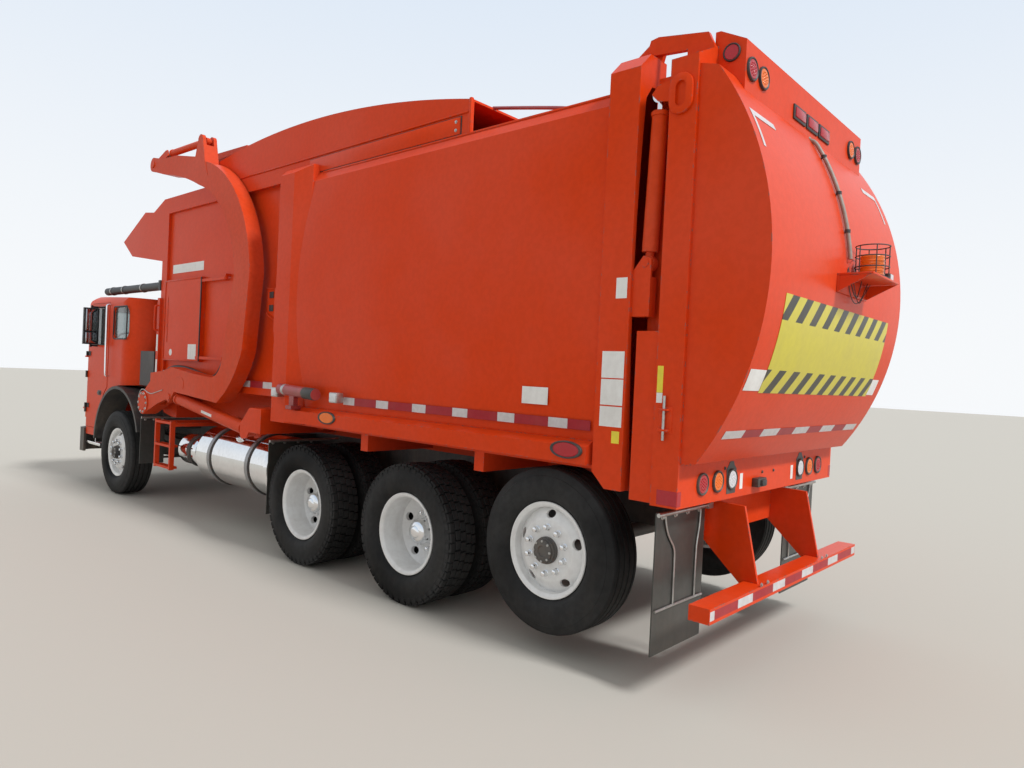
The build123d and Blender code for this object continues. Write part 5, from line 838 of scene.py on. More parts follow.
def punched(piece, x_low, x_high):
    """Cut the hand holes: ovals that stand round the disc."""
    punch = turned("punch", ((x_low, HAND_HOLE_RADIUS), (x_high, HAND_HOLE_RADIUS)), sides=20)
    take(punch)
    bpy.ops.object.mode_set(mode="EDIT")
    bpy.ops.mesh.select_all(action="SELECT")
    bpy.ops.transform.resize(value=(1, HAND_HOLE_STRETCH, 1), center_override=(0, 0, 0))
    bpy.ops.object.mode_set(mode="OBJECT")
    ring = [
        Matrix.Rotation(2 * pi * hole / HAND_HOLES, 4, "X") @ Matrix.Translation((0, 0, HAND_HOLE_AT))
        for hole in range(HAND_HOLES)
    ]
    punches = copied(punch, ring, "punches")
    take(piece)
    cut = piece.modifiers.new("holes", "BOOLEAN")
    cut.operation = "DIFFERENCE"
    cut.solver = "EXACT"
    cut.object = punches
    bpy.ops.object.modifier_apply(modifier="holes")
    drop(punch, punches)
    return smooth(piece)


steer_wheel = punched(spun("steer_wheel_master", STEER_SECTION), -0.02, 0.16)
twin_wheel = punched(spun("twin_wheel_master", TWIN_SECTION), 0.84, 1.02)
print("wheel faces:", len(steer_wheel.data.polygons), len(twin_wheel.data.polygons))

# %% [markdown]
# ## Hubs and wheel nuts
# Ten nuts hold each wheel. They are chrome-capped on this truck. The lifted and steered hubs stand out
# black with a ring of cap screws, and the driven ones wear a chrome cover that is turned like a bowl.

# %% Hubs and nuts
NUTS, NUT_CIRCLE = 10, 0.143
SCREWS, SCREW_CIRCLE, SCREW_X = 8, 0.062, 0.05
nut = turned(
    "nut", ((0.0, 0.021), (0.004, 0.021), (0.006, 0.018), (0.03, 0.0172), (0.036, 0.015), (0.039, 0.01)),
    sides=12
)
screw = turned("screw", ((0.0, 0.008), (0.008, 0.008), (0.009, 0.0065)), sides=6)
black_hub = turned(
    "black_hub",
    (
        (-0.09, 0.0836), (0.018, 0.0836), (0.02, 0.078), (0.036, 0.078), (0.038, 0.07), (0.05, 0.069),
        (0.0535, 0.06), (0.0535, 0.034), (0.047, 0.03),
    ),
    sides=48,
)
chrome_cap = turned(
    "chrome_cap",
    (
        (-0.01, 0.104), (0.01, 0.1045), (0.014, 0.098), (0.08, 0.093), (0.12, 0.09), (0.136, 0.083),
        (0.147, 0.07), (0.153, 0.048), (0.158, 0.044), (0.1645, 0.03), (0.165, 0.01),
    ),
    sides=56,
)


def ring_of(count, radius, x=0.0, start=0.0):
    """Matrices that stand copies in a ring about X."""
    return [
        Matrix.Rotation(start + 2 * pi * step / count, 4, "X") @ Matrix.Translation((x, 0, radius))
        for step in range(count)
    ]


nuts = copied(nut, ring_of(NUTS, NUT_CIRCLE), "nuts")
screws = copied(screw, ring_of(SCREWS, SCREW_CIRCLE, SCREW_X), "screws")
for axle, _, y, z, places in AXLES:
    twin = len(places) == 2
    for side, sign, way in SIDES:
        body = f"{axle}_wheel_{side}"
        middle = 0.0 if twin else places[0]
        face = TWIN_FACE if twin else middle + STEER_FACE
        wheel = copied(
            twin_wheel if twin else steer_wheel, [at(sign * middle, y, z, way)], f"{axle}_rim_{side}"
        )
        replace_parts(dress(wheel, WHITE_ENAMEL, body), f"{axle}_wheel_{side}")
        dress(copied(nuts, [at(sign * face, y, z, way)], f"{axle}_nuts_{side}"), CHROME, body)
        if twin:
            dress(
                copied(chrome_cap, [at(sign * face, y, z, way)], f"{axle}_cap_{side}"), CHROME,
                body
            )
        else:
            hub_parts = copied(black_hub, [at(sign * face, y, z, way)], f"{axle}_hub_{side}")
            dress(hub_parts, BLACK, body)
            dress(
                copied(screws, [at(sign * face, y, z, way)], f"{axle}_screws_{side}"), STEEL,
                body
            )
drop(nut, screw, nuts, screws, black_hub, chrome_cap, steer_wheel, twin_wheel)
print("wheels, hubs and nuts on")

# %% [markdown]
# ## Rear lamps
# Truck lamps are sealed round units pushed into rubber grommets: red stop lamps outside, amber
# indicators, then white reversing lamps. One grommet and one lens are turned at the origin and copied to
# every place. The three lamps in the middle of the top box mark a wide vehicle, and have rounded black
# frames.

# %% Rear lamps
BAR_Y, BOX_Y = 4.3135, 4.4755
BAR_LAMP_Z, BOX_LAMP_Z = 1.155, 3.42
grommet = spun(
    "grommet",
    (
        (-0.004, 0.05), (-0.004, 0.064), (0.008, 0.064), (0.0135, 0.0615), (0.0145, 0.057),
        (0.009, 0.0525), (0.008, 0.05)
    ),
    steps=44,
)
lens = turned(
    "lens", ((0.0, 0.0524), (0.008, 0.0524), (0.0112, 0.049), (0.012, 0.03), (0.012, 0.006)), sides=36
)
stud = turned("stud", ((0.0, 0.0042), (0.0025, 0.0042), (0.0036, 0.003)), sides=8)
diodes = copied(
    stud,
    [m for count, radius in ((1, 0.0), (6, 0.016), (12, 0.032)) for m in ring_of(count, radius, 0.0112)],
    "diodes"
)
LAMP_ROWS = (
    (
        RED_LENS, "red_lens",
        (
            (0.915, BAR_Y, BAR_LAMP_Z), (-0.895, BAR_Y, BAR_LAMP_Z), (0.905, BOX_Y, BOX_LAMP_Z),
            (-0.905, BOX_Y, BOX_LAMP_Z)
        )
    ),
    (
        AMBER_LENS, "amber_lens",
        (
            (0.728, BAR_Y, BAR_LAMP_Z), (-0.72, BAR_Y, BAR_LAMP_Z), (0.755, BOX_Y, BOX_LAMP_Z),
            (-0.755, BOX_Y, BOX_LAMP_Z)
        )
    ),
    (CLEAR_LENS, "clear_lens", ((0.545, BAR_Y, BAR_LAMP_Z), (-0.545, BAR_Y, BAR_LAMP_Z))),
)
grommets = []
for material, label, spots in LAMP_ROWS:
    places = [at(*spot, "+Y") for spot in spots]
    dress(copied(lens, places, f"rear_{label}"), material, "rear_door")
    dress(copied(diodes, places, f"rear_{label}_diodes"), material, "rear_door")
    grommets += places
grommets = dress(copied(grommet, grommets, "lamp_grommets"), BLACK_PLASTIC, "rear_door")
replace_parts(grommets, "rear_lamps")

wide_frames, wide_lenses = [], []
for x in (-0.212, 0.0, 0.212):
    wide_frames.append(block("frame", (x - 0.097, 4.472, 3.334), (x + 0.097, 4.485, 3.424), 0.0055))
    wide_lenses.append(block("lens", (x - 0.08, 4.478, 3.35), (x + 0.08, 4.4915, 3.408), 0.005))
dress(joined(wide_frames, "wide_lamp_frames"), BLACK_PLASTIC, "rear_door")
dress(joined(wide_lenses, "wide_lamp_lenses"), RED_LENS, "rear_door")
for side, sign, way in SIDES:
    spot = [at(sign * 0.9805, 4.394, 3.505, way) @ Matrix.Scale(0.78, 4)]
    dress(copied(grommet, spot, f"box_side_grommet_{side}"), BLACK_PLASTIC, "rear_door")
    dress(copied(lens, spot, f"box_side_lens_{side}"), RED_LENS, "rear_door")
drop(stud, diodes)
print("rear lamps:", sum(len(row[2]) for row in LAMP_ROWS))

# %% [markdown]
# ## Bolt heads
# A hexagon head on a washer, turned once and copied in rows. `bolts` puts a row of them on a face.

# %% Bolt heads
bolt = joined(
    [
        turned("washer", ((0.0, 0.0155), (0.0022, 0.0155), (0.0028, 0.0145)), sides=20),
        turned("head", ((0.002, 0.0108), (0.0095, 0.0108), (0.0108, 0.0092)), sides=6),
    ],
    "bolt_master",
)


def bolts(name, spots, way, material=None, body="truck", size=1.0):
    """A row of bolt heads on faces that look along the given way."""
    row = copied(bolt, [at(*spot, way) @ Matrix.Scale(size, 4) for spot in spots], name)
    return dress(row, material or STEEL, body)


for side, sign, way in SIDES:
    bolts(
        f"underride_bolts_{side}", [(sign * (0.5 + d), 4.528, 0.572) for d in (-0.045, 0.045)], "+Y",
        size=0.8
    )
    spots = [(sign * x, 4.194, 0.975) for x in (0.7, 0.84, 0.98, 1.12)]
    bolts(f"rear_flap_bolts_{side}", spots, "+Y", size=1.1)
    spots = [(sign * x, -2.768, 0.975) for x in (0.93, 1.03, 1.13)]
    bolts(f"front_flap_bolts_{side}", spots, "+Y")
    spots = [(sign * x, 0.149, 0.985) for x in (0.74, 0.88, 1.02, 1.14)]
    bolts(f"middle_flap_bolts_{side}", spots, "+Y")
print("bolts on the rear, front and middle flaps")

# %% [markdown]
# ## Curved stickers on the bulge
# The rear door bulges as part of a drum. A sticker on it starts as a grid of the right width and height.
# Its points are then laid on the drum, and Solidify gives it a film's thickness.

# %% Curved stickers
BULGE_Y, BULGE_Z, BULGE_R = 2.9937, 2.3436, 1.7572
FILM = 0.0008


def on_bulge(name, x_low, x_high, z_low, z_high, lift=0.0012, rows=14):
    """A film on the drum of the rear door, between two X and two Z values."""
    deselect()
    size = (x_high - x_low, z_high - z_low)
    bpy.ops.mesh.primitive_grid_add(x_subdivisions=2, y_subdivisions=rows, size=1, rotation=(pi / 2, 0, pi))
    bpy.context.active_object.scale = (*size, 1)
    film = settle(name)
    for corner in film.data.vertices:
        x = corner.co.x + (x_low + x_high) / 2
        z = corner.co.z + (z_low + z_high) / 2
        corner.co = (x, BULGE_Y + (max(0.0, (BULGE_R + lift) ** 2 - (z - BULGE_Z) ** 2)) ** 0.5, z)
    take(film)
    thick = film.modifiers.new("film", "SOLIDIFY")
    thick.thickness = FILM
    thick.offset = 1.0
    bpy.ops.object.modifier_apply(modifier="film")
    return smooth(film, 40)


RED_TAPE = finish(
    "red_reflective_tape", (0.36, 0.01, 0.02), 0.4, mottle=0.15, gloss=0.2, dirt=0.1, dirt_high=4.0,
    skin=(900.0, 0.0), bump=0.0004
)
WHITE_TAPE = finish(
    "white_reflective_tape", (0.62, 0.6, 0.61), 0.35, mottle=0.2, dirt=0.25, dirt_high=4.0,
    skin=(900.0, 0.0), bump=0.0004
)

STRIPES_PER_X, STRIPES_PER_Z, BLACK_SHARE = 4.95, 4.2, 0.48
TOP_BAND, LOW_BAND = (2.064, 2.21), (1.67, 1.805)
HAZARD = bpy.data.materials.new("hazard_panel")
HAZARD.use_nodes = True
tree = HAZARD.node_tree
shader = tree.nodes["Principled BSDF"]
place = add(tree, "TexCoord").outputs["Object"]
parts = add(tree, "SeparateXYZ", {"Vector": place}).outputs
across = calc(tree, "MULTIPLY", parts["X"], STRIPES_PER_X)
across = calc(tree, "ADD", across, calc(tree, "MULTIPLY", parts["Z"], STRIPES_PER_Z))
stripes = calc(tree, "LESS_THAN", calc(tree, "FRACT", across, 0.0), BLACK_SHARE)
bands = [
    calc(
        tree, "MULTIPLY", calc(tree, "GREATER_THAN", parts["Z"], low),
        calc(tree, "LESS_THAN", parts["Z"], high)
    )
    for low, high in (TOP_BAND, LOW_BAND)
]
black_part = calc(tree, "MULTIPLY", stripes, calc(tree, "MAXIMUM", *bands))
yellow = effect_node(tree, MOTTLE, Place=place, Colour=(0.6, 0.52, 0.022, 1.0), Strength=0.08)
shade = blend_colour(tree, black_part, yellow, (0.02, 0.02, 0.012, 1.0))
dirty = effect_node(tree, DIRT, Place=place, Amount=0.22, Height=4.0)
tree.links.new(blend_colour(tree, dirty, shade, DUST), shader.inputs["Base Color"])
tree.links.new(ramp(tree, dirty, 0.0, 1.0, 0.34, 0.7), shader.inputs["Roughness"])

panel = on_bulge("hazard_panel", -0.9, 0.95, 1.68, 2.2)
dress(panel, HAZARD, "rear_door")
notes = [
    on_bulge("note", 0.955, 1.15, 1.69, 1.8, rows=5), on_bulge("note", -1.05, -0.905, 1.69, 1.8, rows=5)
]
dress(joined(notes, "bulge_blank_notes"), WHITE_DECAL, "rear_door")
corners = []
for x_low, x_high, foot_low, foot_high in ((0.79, 1.1, 1.072, 1.1), (-1.06, -0.75, -1.06, -1.032)):
    corners.append(on_bulge("across", x_low, x_high, 3.104, 3.14, rows=3))
    corners.append(on_bulge("down", foot_low, foot_high, 2.93, 3.103, rows=5))
dress(joined(corners, "bulge_corner_tapes"), WHITE_TAPE, "rear_door")
TAPE_FROM, TAPE_LENGTH, TAPES = -1.09, 0.242, 9
TAPE_LOW, TAPE_HIGH, TAPE_GAP = 1.428, 1.472, 0.0006
reds, whites = [], []
for step in range(TAPES):
    start = TAPE_FROM + step * TAPE_LENGTH
    segment = on_bulge("tape", start, start + TAPE_LENGTH - TAPE_GAP, TAPE_LOW, TAPE_HIGH, rows=3)
    (reds if step % 2 else whites).append(segment)
dress(joined(reds, "bulge_tape_red"), RED_TAPE, "rear_door")
dress(joined(whites, "bulge_tape_white"), WHITE_TAPE, "rear_door")
print("films on the bulge:", 1 + len(notes) + len(corners) + len(reds) + len(whites))

# %% [markdown]
# ## Conduit and warning lamp
# Wires reach the beacon in a grey steel-clad conduit, which clamps hold to the door. The beacon is a
# ribbed amber dome that a section spun about Z would give. Here the turned helper makes it and a matrix
# stands it up. Three thin wires hang in loops below the shelf. They are limp, and are left as curves
# whose lengths are printed.

# %% Conduit and warning lamp
CONDUIT_X, CONDUIT_R, CONDUIT_STANDS = 0.022, 0.0125, 0.018
BEACON_X, BEACON_Y, BEACON_Z = -0.1, 4.85, 2.4


def drum_y(z, lift=0.0):
    """How far back the bulge lies at a height."""
    return BULGE_Y + ((BULGE_R + lift) ** 2 - (z - BULGE_Z) ** 2) ** 0.5


def conduit_at(z):
    """Where the conduit is at a height. It wanders a little from side to side."""
    return (CONDUIT_X + 0.006 * sin(3.0 * z), drum_y(z, CONDUIT_STANDS), z)


heights = [3.262 - 0.058 * step for step in range(14)]
line = [(CONDUIT_X, 4.468, 3.296), (CONDUIT_X, 4.474, 3.281)]
line += [conduit_at(z) for z in heights]
CONDUIT_STEEL = finish("grey_conduit", (0.3, 0.26, 0.22), 0.5, mottle=0.3, dirt=0.4, dirt_high=4.0)
dress(pipe("conduit", line, CONDUIT_R), CONDUIT_STEEL, "rear_door")
clamp = spun("clamp", ((-0.01, 0.013), (-0.01, 0.0165), (0.01, 0.0165), (0.01, 0.013)), steps=24)
clamps = [at(*conduit_at(z), "+Z") for z in (3.16, 2.92, 2.68)]
dress(copied(clamp, clamps, "conduit_clamps"), BLACK_PLASTIC, "rear_door")
drop(clamp)

dome_rings = [(0.012, 0.066), (0.02, 0.07)]
for step in range(5):
    x = 0.026 + step * 0.02
    dome_rings += [(x, 0.07), (x + 0.004, 0.0672), (x + 0.016, 0.0672)]
dome_rings += [(0.13, 0.069), (0.14, 0.064), (0.147, 0.048), (0.1485, 0.02)]
dome = turned("dome", dome_rings, sides=48)
base = turned("base", ((0.0006, 0.07), (0.012, 0.074), (0.018, 0.074), (0.022, 0.07)), sides=48)
stand = [at(BEACON_X, BEACON_Y, BEACON_Z, "+Z")]
dress(copied(dome, stand, "beacon_dome"), AMBER_LENS, "rear_door")
dress(copied(base, stand, "beacon_base"), BLACK_PLASTIC, "rear_door")
drop(dome, base)
lamp_box = block("work_lamp", (-0.3, 4.868, 2.4008), (-0.232, 4.918, 2.452), 0.006)
dress(lamp_box, BLACK_PLASTIC, "rear_door")
glassy = block("work_lamp_lens", (-0.294, 4.915, 2.407), (-0.238, 4.9225, 2.446), 0.002)
dress(glassy, CLEAR_LENS, "rear_door")
WIRES = (
    (
        "dome_wire", 0.006, 0.332,
        (
            (0.02, 4.749, 2.46), (0.03, 4.766, 2.4), (0.02, 4.78, 2.32), (-0.03, 4.79, 2.27),
            (-0.07, 4.79, 2.31), (-0.08, 4.8, 2.386)
        )
    ),
    (
        "lamp_wire", 0.0052, 0.466,
        (
            (0.03, 4.749, 2.45), (0.05, 4.762, 2.36), (0.01, 4.775, 2.26), (-0.06, 4.785, 2.24),
            (-0.14, 4.79, 2.29), (-0.2, 4.8, 2.386)
        )
    ),
    (
        "earth_wire", 0.0048, 0.358,
        (
            (-0.02, 4.77, 2.382), (-0.05, 4.776, 2.31), (-0.11, 4.78, 2.24), (-0.17, 4.785, 2.3),
            (-0.255, 4.8, 2.386)
        )
    ),
)
for label, thick, long, route in WIRES:
    wire = dress(
        routed(f"beacon_{label}", route, thick / 2, 2), BLACK_PLASTIC, "rear_door"
    )
    print(wire.name, "is", round(cord_length(wire), 3), "m long")
print("conduit, beacon and its wires made")

# %% [markdown]
# ## Fittings of the rear bar and the underride guard
# The bar has small hardware between its lamps: a camera box, a blank note beside each lamp group and a
# plate round the innermost lamp. Reflective tape in red and white marks the guard's whole width.

# %% Rear bar
bar_notes = [
    block("note", (sign * 0.385, 4.3125, 1.085), (sign * 0.425, 4.314, 1.18), 0.0006, 1)
    for _, sign, _ in SIDES
]
dress(joined(bar_notes, "bar_blank_notes"), WHITE_DECAL, "rear_door")
camera_box = joined(
    [
        block("box", (0.118, 4.312, 1.084), (0.248, 4.356, 1.14), 0.006),
        block("hood", (0.15, 4.34, 1.094), (0.216, 4.372, 1.13), 0.004)
    ],
    "bar_camera_box",
)
dress(camera_box, BLACK_PLASTIC, "rear_door")
PLATE = (
    (0.487, 1.07), (0.603, 1.07), (0.615, 1.215), (0.59, 1.238), (0.572, 1.262), (0.524, 1.262),
    (0.508, 1.238), (0.48, 1.215)
)
plates = [
    outline("plate", [(sign * x, z) for x, z in PLATE], 4.3125, 4.315, "Y", 0.0006, 1)
    for _, sign, _ in SIDES
]
dress(joined(plates, "inner_lamp_plates"), BLACK, "rear_door")
bolts(
    "bar_studs",
    [(0.099, 4.313, 1.168), (-0.082, 4.313, 1.167), (0.635, 4.313, 1.225), (-0.635, 4.313, 1.225)], "+Y",
    BLACK, "rear_door", 0.7
)
wraps = []
for _, sign, _ in SIDES:
    wraps.append(block("wrap", (sign * 1.15, 4.3125, 1.052), (sign * 1.1885, 4.3145, 1.132), 0.0005, 1))
    wraps.append(block("wrap", (sign * 1.1895, 4.19, 1.052), (sign * 1.1912, 4.313, 1.132), 0.0005, 1))
dress(joined(wraps, "bar_corner_reflectors"), RED_LENS, "rear_door")

GUARD_TAPES = (
    (1.175, 1.125, 0), (1.125, 0.845, 1), (0.845, 0.652, 0), (0.652, 0.366, 1), (0.366, 0.18, 0),
    (0.18, -0.102, 1), (-0.102, -0.3, 0), (-0.3, -0.59, 1), (-0.59, -0.79, 0), (-0.79, -1.095, 1),
    (-1.095, -1.175, 0)
)
reds, whites = [], []
for high, low, red in GUARD_TAPES:
    (reds if red else whites).append(
        block("tape", (low + 0.0004, 4.5268, 0.496), (high - 0.0004, 4.5278, 0.545), 0.0003, 1)
    )
dress(joined(reds, "guard_tape_red"), RED_TAPE)
dress(joined(whites, "guard_tape_white"), WHITE_TAPE)
print("rear bar and guard dressed")

# %% [markdown]
# ## Rear flap hangers
# Two bent rods and a cross rod stiffen each rubber flap behind the wheels. A rod that a press bends is a
# line of constant thickness, so it is a pipe on a smooth curve.

# %% Rear flap hangers
FLAP_Y, ROD, CROSS_ROD = 4.2002, 0.006, 0.0075
for side, sign, way in SIDES:
    y = FLAP_Y
    frame_line = [
        pipe(
            "hanger",
            [
                (sign * 1.1, y, 0.985), (sign * 1.09, y, 0.93), (sign * 1.055, y, 0.86),
                (sign * 0.985, y, 0.79), (sign * 0.975, y, 0.73), (sign * 0.975, y, 0.466)
            ],
            ROD
        ),
        pipe(
            "hanger",
            [
                (sign * 0.69, y, 0.985), (sign * 0.69, y, 0.9), (sign * 0.715, y, 0.8),
                (sign * 0.725, y, 0.74), (sign * 0.725, y, 0.466)
            ],
            ROD
        ),
        pipe(
            "cross", [(sign * 1.165, y, 0.461), (sign * 0.9, y, 0.463), (sign * 0.635, y, 0.461)],
            CROSS_ROD
        ),
    ]
    dress(joined(frame_line, f"flap_hanger_{side}"), STEEL)
print("flap hangers bent")

# %% [markdown]
# ## Stickers, tapes and lamps along the body
# Reflective tape runs along the load body's lower edge, red and white by turns. Sign plates on the posts
# and the body are kept blank: their white and yellow shapes belong to the truck's look, what is written
# on them doesn't. Each sticker is a thin block that stands a millimetre proud of its face.

# %% Stickers along the body
POST_X, RAIL_X, HOPPER_SIDE_X = 1.2005, 1.2355, 1.0458
BODY_LOW_Z, BODY_WIDE_Z, BODY_LOW_X, BODY_BOW = 1.18, 2.33, 1.14, 0.04
SIDE_TAPE_FROM, SIDE_TAPE_TO, RED_LONG, WHITE_LONG = 1.24, 3.71, 0.28, 0.15
HOPPER_TAPE_LOW, HOPPER_TAPE_HIGH = 1.468, 1.53


def side_film(y_low, y_high, z_low, z_high, x, sign, thick=0.0014):
    """A film on a face that looks sideways."""
    return block("film", (sign * x, y_low, z_low), (sign * (x + thick), y_high, z_high), 0.0004, 1)


def body_x(z):
    """The load body's side bows outwards; this is how far out it is at a height."""
    rise = (z - BODY_LOW_Z) / (BODY_WIDE_Z - BODY_LOW_Z)
    return BODY_LOW_X + BODY_BOW * sin(min(1.0, rise) * pi / 2)


for side, sign, way in SIDES:
    reds, whites = [], []
    start, red = SIDE_TAPE_FROM, 0
    while start < SIDE_TAPE_TO - 0.01:
        end = min(SIDE_TAPE_TO, start + (RED_LONG if red else WHITE_LONG))
        (reds if red else whites).append(
            side_film(start, end - 0.001, 1.405, 1.465, body_x(1.45) + 0.003, sign)
        )
        start, red = end, not red
    dress(joined(reds, f"body_tape_red_{side}"), RED_TAPE)
    dress(joined(whites, f"body_tape_white_{side}"), WHITE_TAPE)
    tape_at = (HOPPER_TAPE_LOW, HOPPER_TAPE_HIGH, HOPPER_SIDE_X, sign)
    hopper_tape = [side_film(-0.671, -0.49, *tape_at), side_film(-0.245, -0.063, *tape_at)]
    dress(joined(hopper_tape, f"hopper_tape_white_{side}"), WHITE_TAPE)
    dress(side_film(-0.489, -0.246, *tape_at), RED_TAPE).name = f"hopper_tape_red_{side}"
    films = [
        side_film(3.172, 3.383, 1.537, 1.645, body_x(1.59) + 0.004, sign),
        side_film(3.8, 3.95, 1.445, 1.56, POST_X, sign), side_film(3.8, 3.95, 1.568, 1.715, POST_X, sign),
        side_film(3.8, 3.95, 1.722, 1.874, POST_X, sign),
        side_film(3.872, 3.945, 2.173, 2.29, POST_X, sign),
        side_film(-2.671, -2.628, 1.793, 1.989, 1.0805, sign),
        side_film(-2.671, -2.628, 1.538, 1.695, 1.0805, sign),
    ]
    dress(joined(films, f"blank_side_notes_{side}"), WHITE_DECAL)
    dress(
        side_film(3.888, 3.94, 1.353, 1.422, POST_X, sign), YELLOW_DECAL
    ).name = f"yellow_note_{side}"
    plate = side_film(-2.44, -1.66, 2.7, 2.8, 1.0155, sign)
    dress(plate, WHITE_DECAL).name = f"hopper_blank_plate_{side}"
hatch_films = [side_film(-1.88, -1.68, 1.715, 1.881, 1.0575, 1)]
hatch_films.append(copied(lens, [at(1.048, -2.33, 1.785) @ Matrix.Scale(0.8, 4)], "round_note"))
dress(joined(hatch_films, "hatch_notes"), WHITE_DECAL, "hopper_hatch")
print("stickers along both sides")

# %% [markdown]
# ## Lamps and canister on the side rail
# The oval side lamps are the round lamp drawn out by a scale in their matrix. Only the left rail carries
# the red canister, which gets a mesh end and a neck ring, and two work lamps beside it.

# %% Lamps and canister on the side rail
OVAL = Matrix.Diagonal((1.0, 1.85, 0.82, 1.0))
SIDE_LAMP_Z = 1.288
CANISTER_X, CANISTER_LEAN = 1.252, -0.042
for side, sign, way in SIDES:
    for label, material, y in (("amber", AMBER_LENS, 1.132), ("red", RED_LENS, 3.599)):
        spot = [at(sign * RAIL_X, y, SIDE_LAMP_Z, way) @ OVAL]
        dress(copied(grommet, spot, f"rail_{label}_grommet_{side}"), BLACK_PLASTIC)
        dress(copied(lens, spot, f"rail_{label}_lens_{side}"), material)
drop(grommet, lens)
led_cases, led_lenses = [], []
for y in (0.352, 1.25):
    led_cases.append(block("case", (1.2, y - 0.052, 1.418), (1.272, y + 0.052, 1.502), 0.008))
    led_lenses.append(block("lens", (1.27, y - 0.04, 1.428), (1.2765, y + 0.04, 1.492), 0.003))
dress(joined(led_cases, "work_lamp_cases"), STEEL)
dress(joined(led_lenses, "work_lamp_lenses"), CLEAR_LENS)
canister_end = turned(
    "canister_end", ((0.0, 0.0486), (0.004, 0.0505), (0.15, 0.0505), (0.156, 0.048)), sides=32
)
canister_neck = turned(
    "canister_neck", ((0.0, 0.0486), (0.003, 0.05), (0.034, 0.05), (0.037, 0.0486)), sides=32
)
lean = Matrix.Rotation(CANISTER_LEAN, 4, "X") @ at(0, 0, 0, "+Y")
dress(
    copied(canister_end, [Matrix.Translation((CANISTER_X, 0.822, 1.4767)) @ lean], "canister_mesh_end"),
    BLACK_PLASTIC
)
dress(
    copied(canister_neck, [Matrix.Translation((CANISTER_X, 0.5, 1.4902)) @ lean], "canister_neck_ring"),
    STEEL
)
drop(canister_end, canister_neck)
print("rail lamps and canister dressed")

# %% [markdown]
# ## Hood and roof trim
# A name plate is bolted along the hood's side. It is bare here, in the body's colour, with a shadow line
# round it. The hood ends at the rear in a flange, and two thin rails run down from its top.

# %% Hood and roof trim
HOOD_X = 1.0805
for side, sign, way in SIDES:
    plate = block("plate", (sign * HOOD_X, 0.48, 3.408), (sign * (HOOD_X + 0.01), 2.4, 3.532), 0.003)
    dress(plate, ORANGE).name = f"name_plate_{side}"
    # A black sheet a little larger than the plate sits behind it, so that a thin black border shows round
    # the plate: a painted shadow line.
    back = block("back", (sign * HOOD_X, 0.47, 3.402), (sign * (HOOD_X + 0.003), 2.41, 3.538), 0.0008, 1)
    dress(back, BLACK_PLASTIC).name = f"name_plate_gap_{side}"
    seam = block("seam", (sign * HOOD_X, -1.3, 3.548), (sign * (HOOD_X + 0.012), 2.48, 3.56), 0.003)
    dress(seam, ORANGE).name = f"hood_seam_{side}"
    flange = block(
        "flange", (sign * (HOOD_X - 0.012), 2.486, 3.402), (sign * (HOOD_X + 0.012), 2.5095, 3.648), 0.003
    )
    dress(flange, ORANGE).name = f"hood_flange_{side}"
    spots = [
        (sign * (HOOD_X + 0.01), 0.52, 3.47), (sign * (HOOD_X + 0.01), 2.36, 3.5),
        (sign * (HOOD_X + 0.01), 2.36, 3.44)
    ]
    bolts(f"name_plate_bolts_{side}", spots, way, size=0.8)
    rail = pipe(
        "rail",
        [
            (sign * 0.86, 2.5, 3.64), (sign * 0.86, 2.9, 3.56), (sign * 0.86, 3.3, 3.472),
            (sign * 0.86, 3.33, 3.43)
        ],
        0.0125
    )
    feet = block("foot", (sign * 0.835, 3.295, 3.425), (sign * 0.885, 3.345, 3.452), 0.003)
    dress(joined([rail, feet], f"roof_rail_{side}"), RED_PAINT)
    top_lip = block("lip", (sign * 1.077, 0.7, 3.386), (sign * 1.096, 3.76, 3.4), 0.003)
    dress(top_lip, ORANGE).name = f"body_top_lip_{side}"
print("hood and roof trim on both sides")
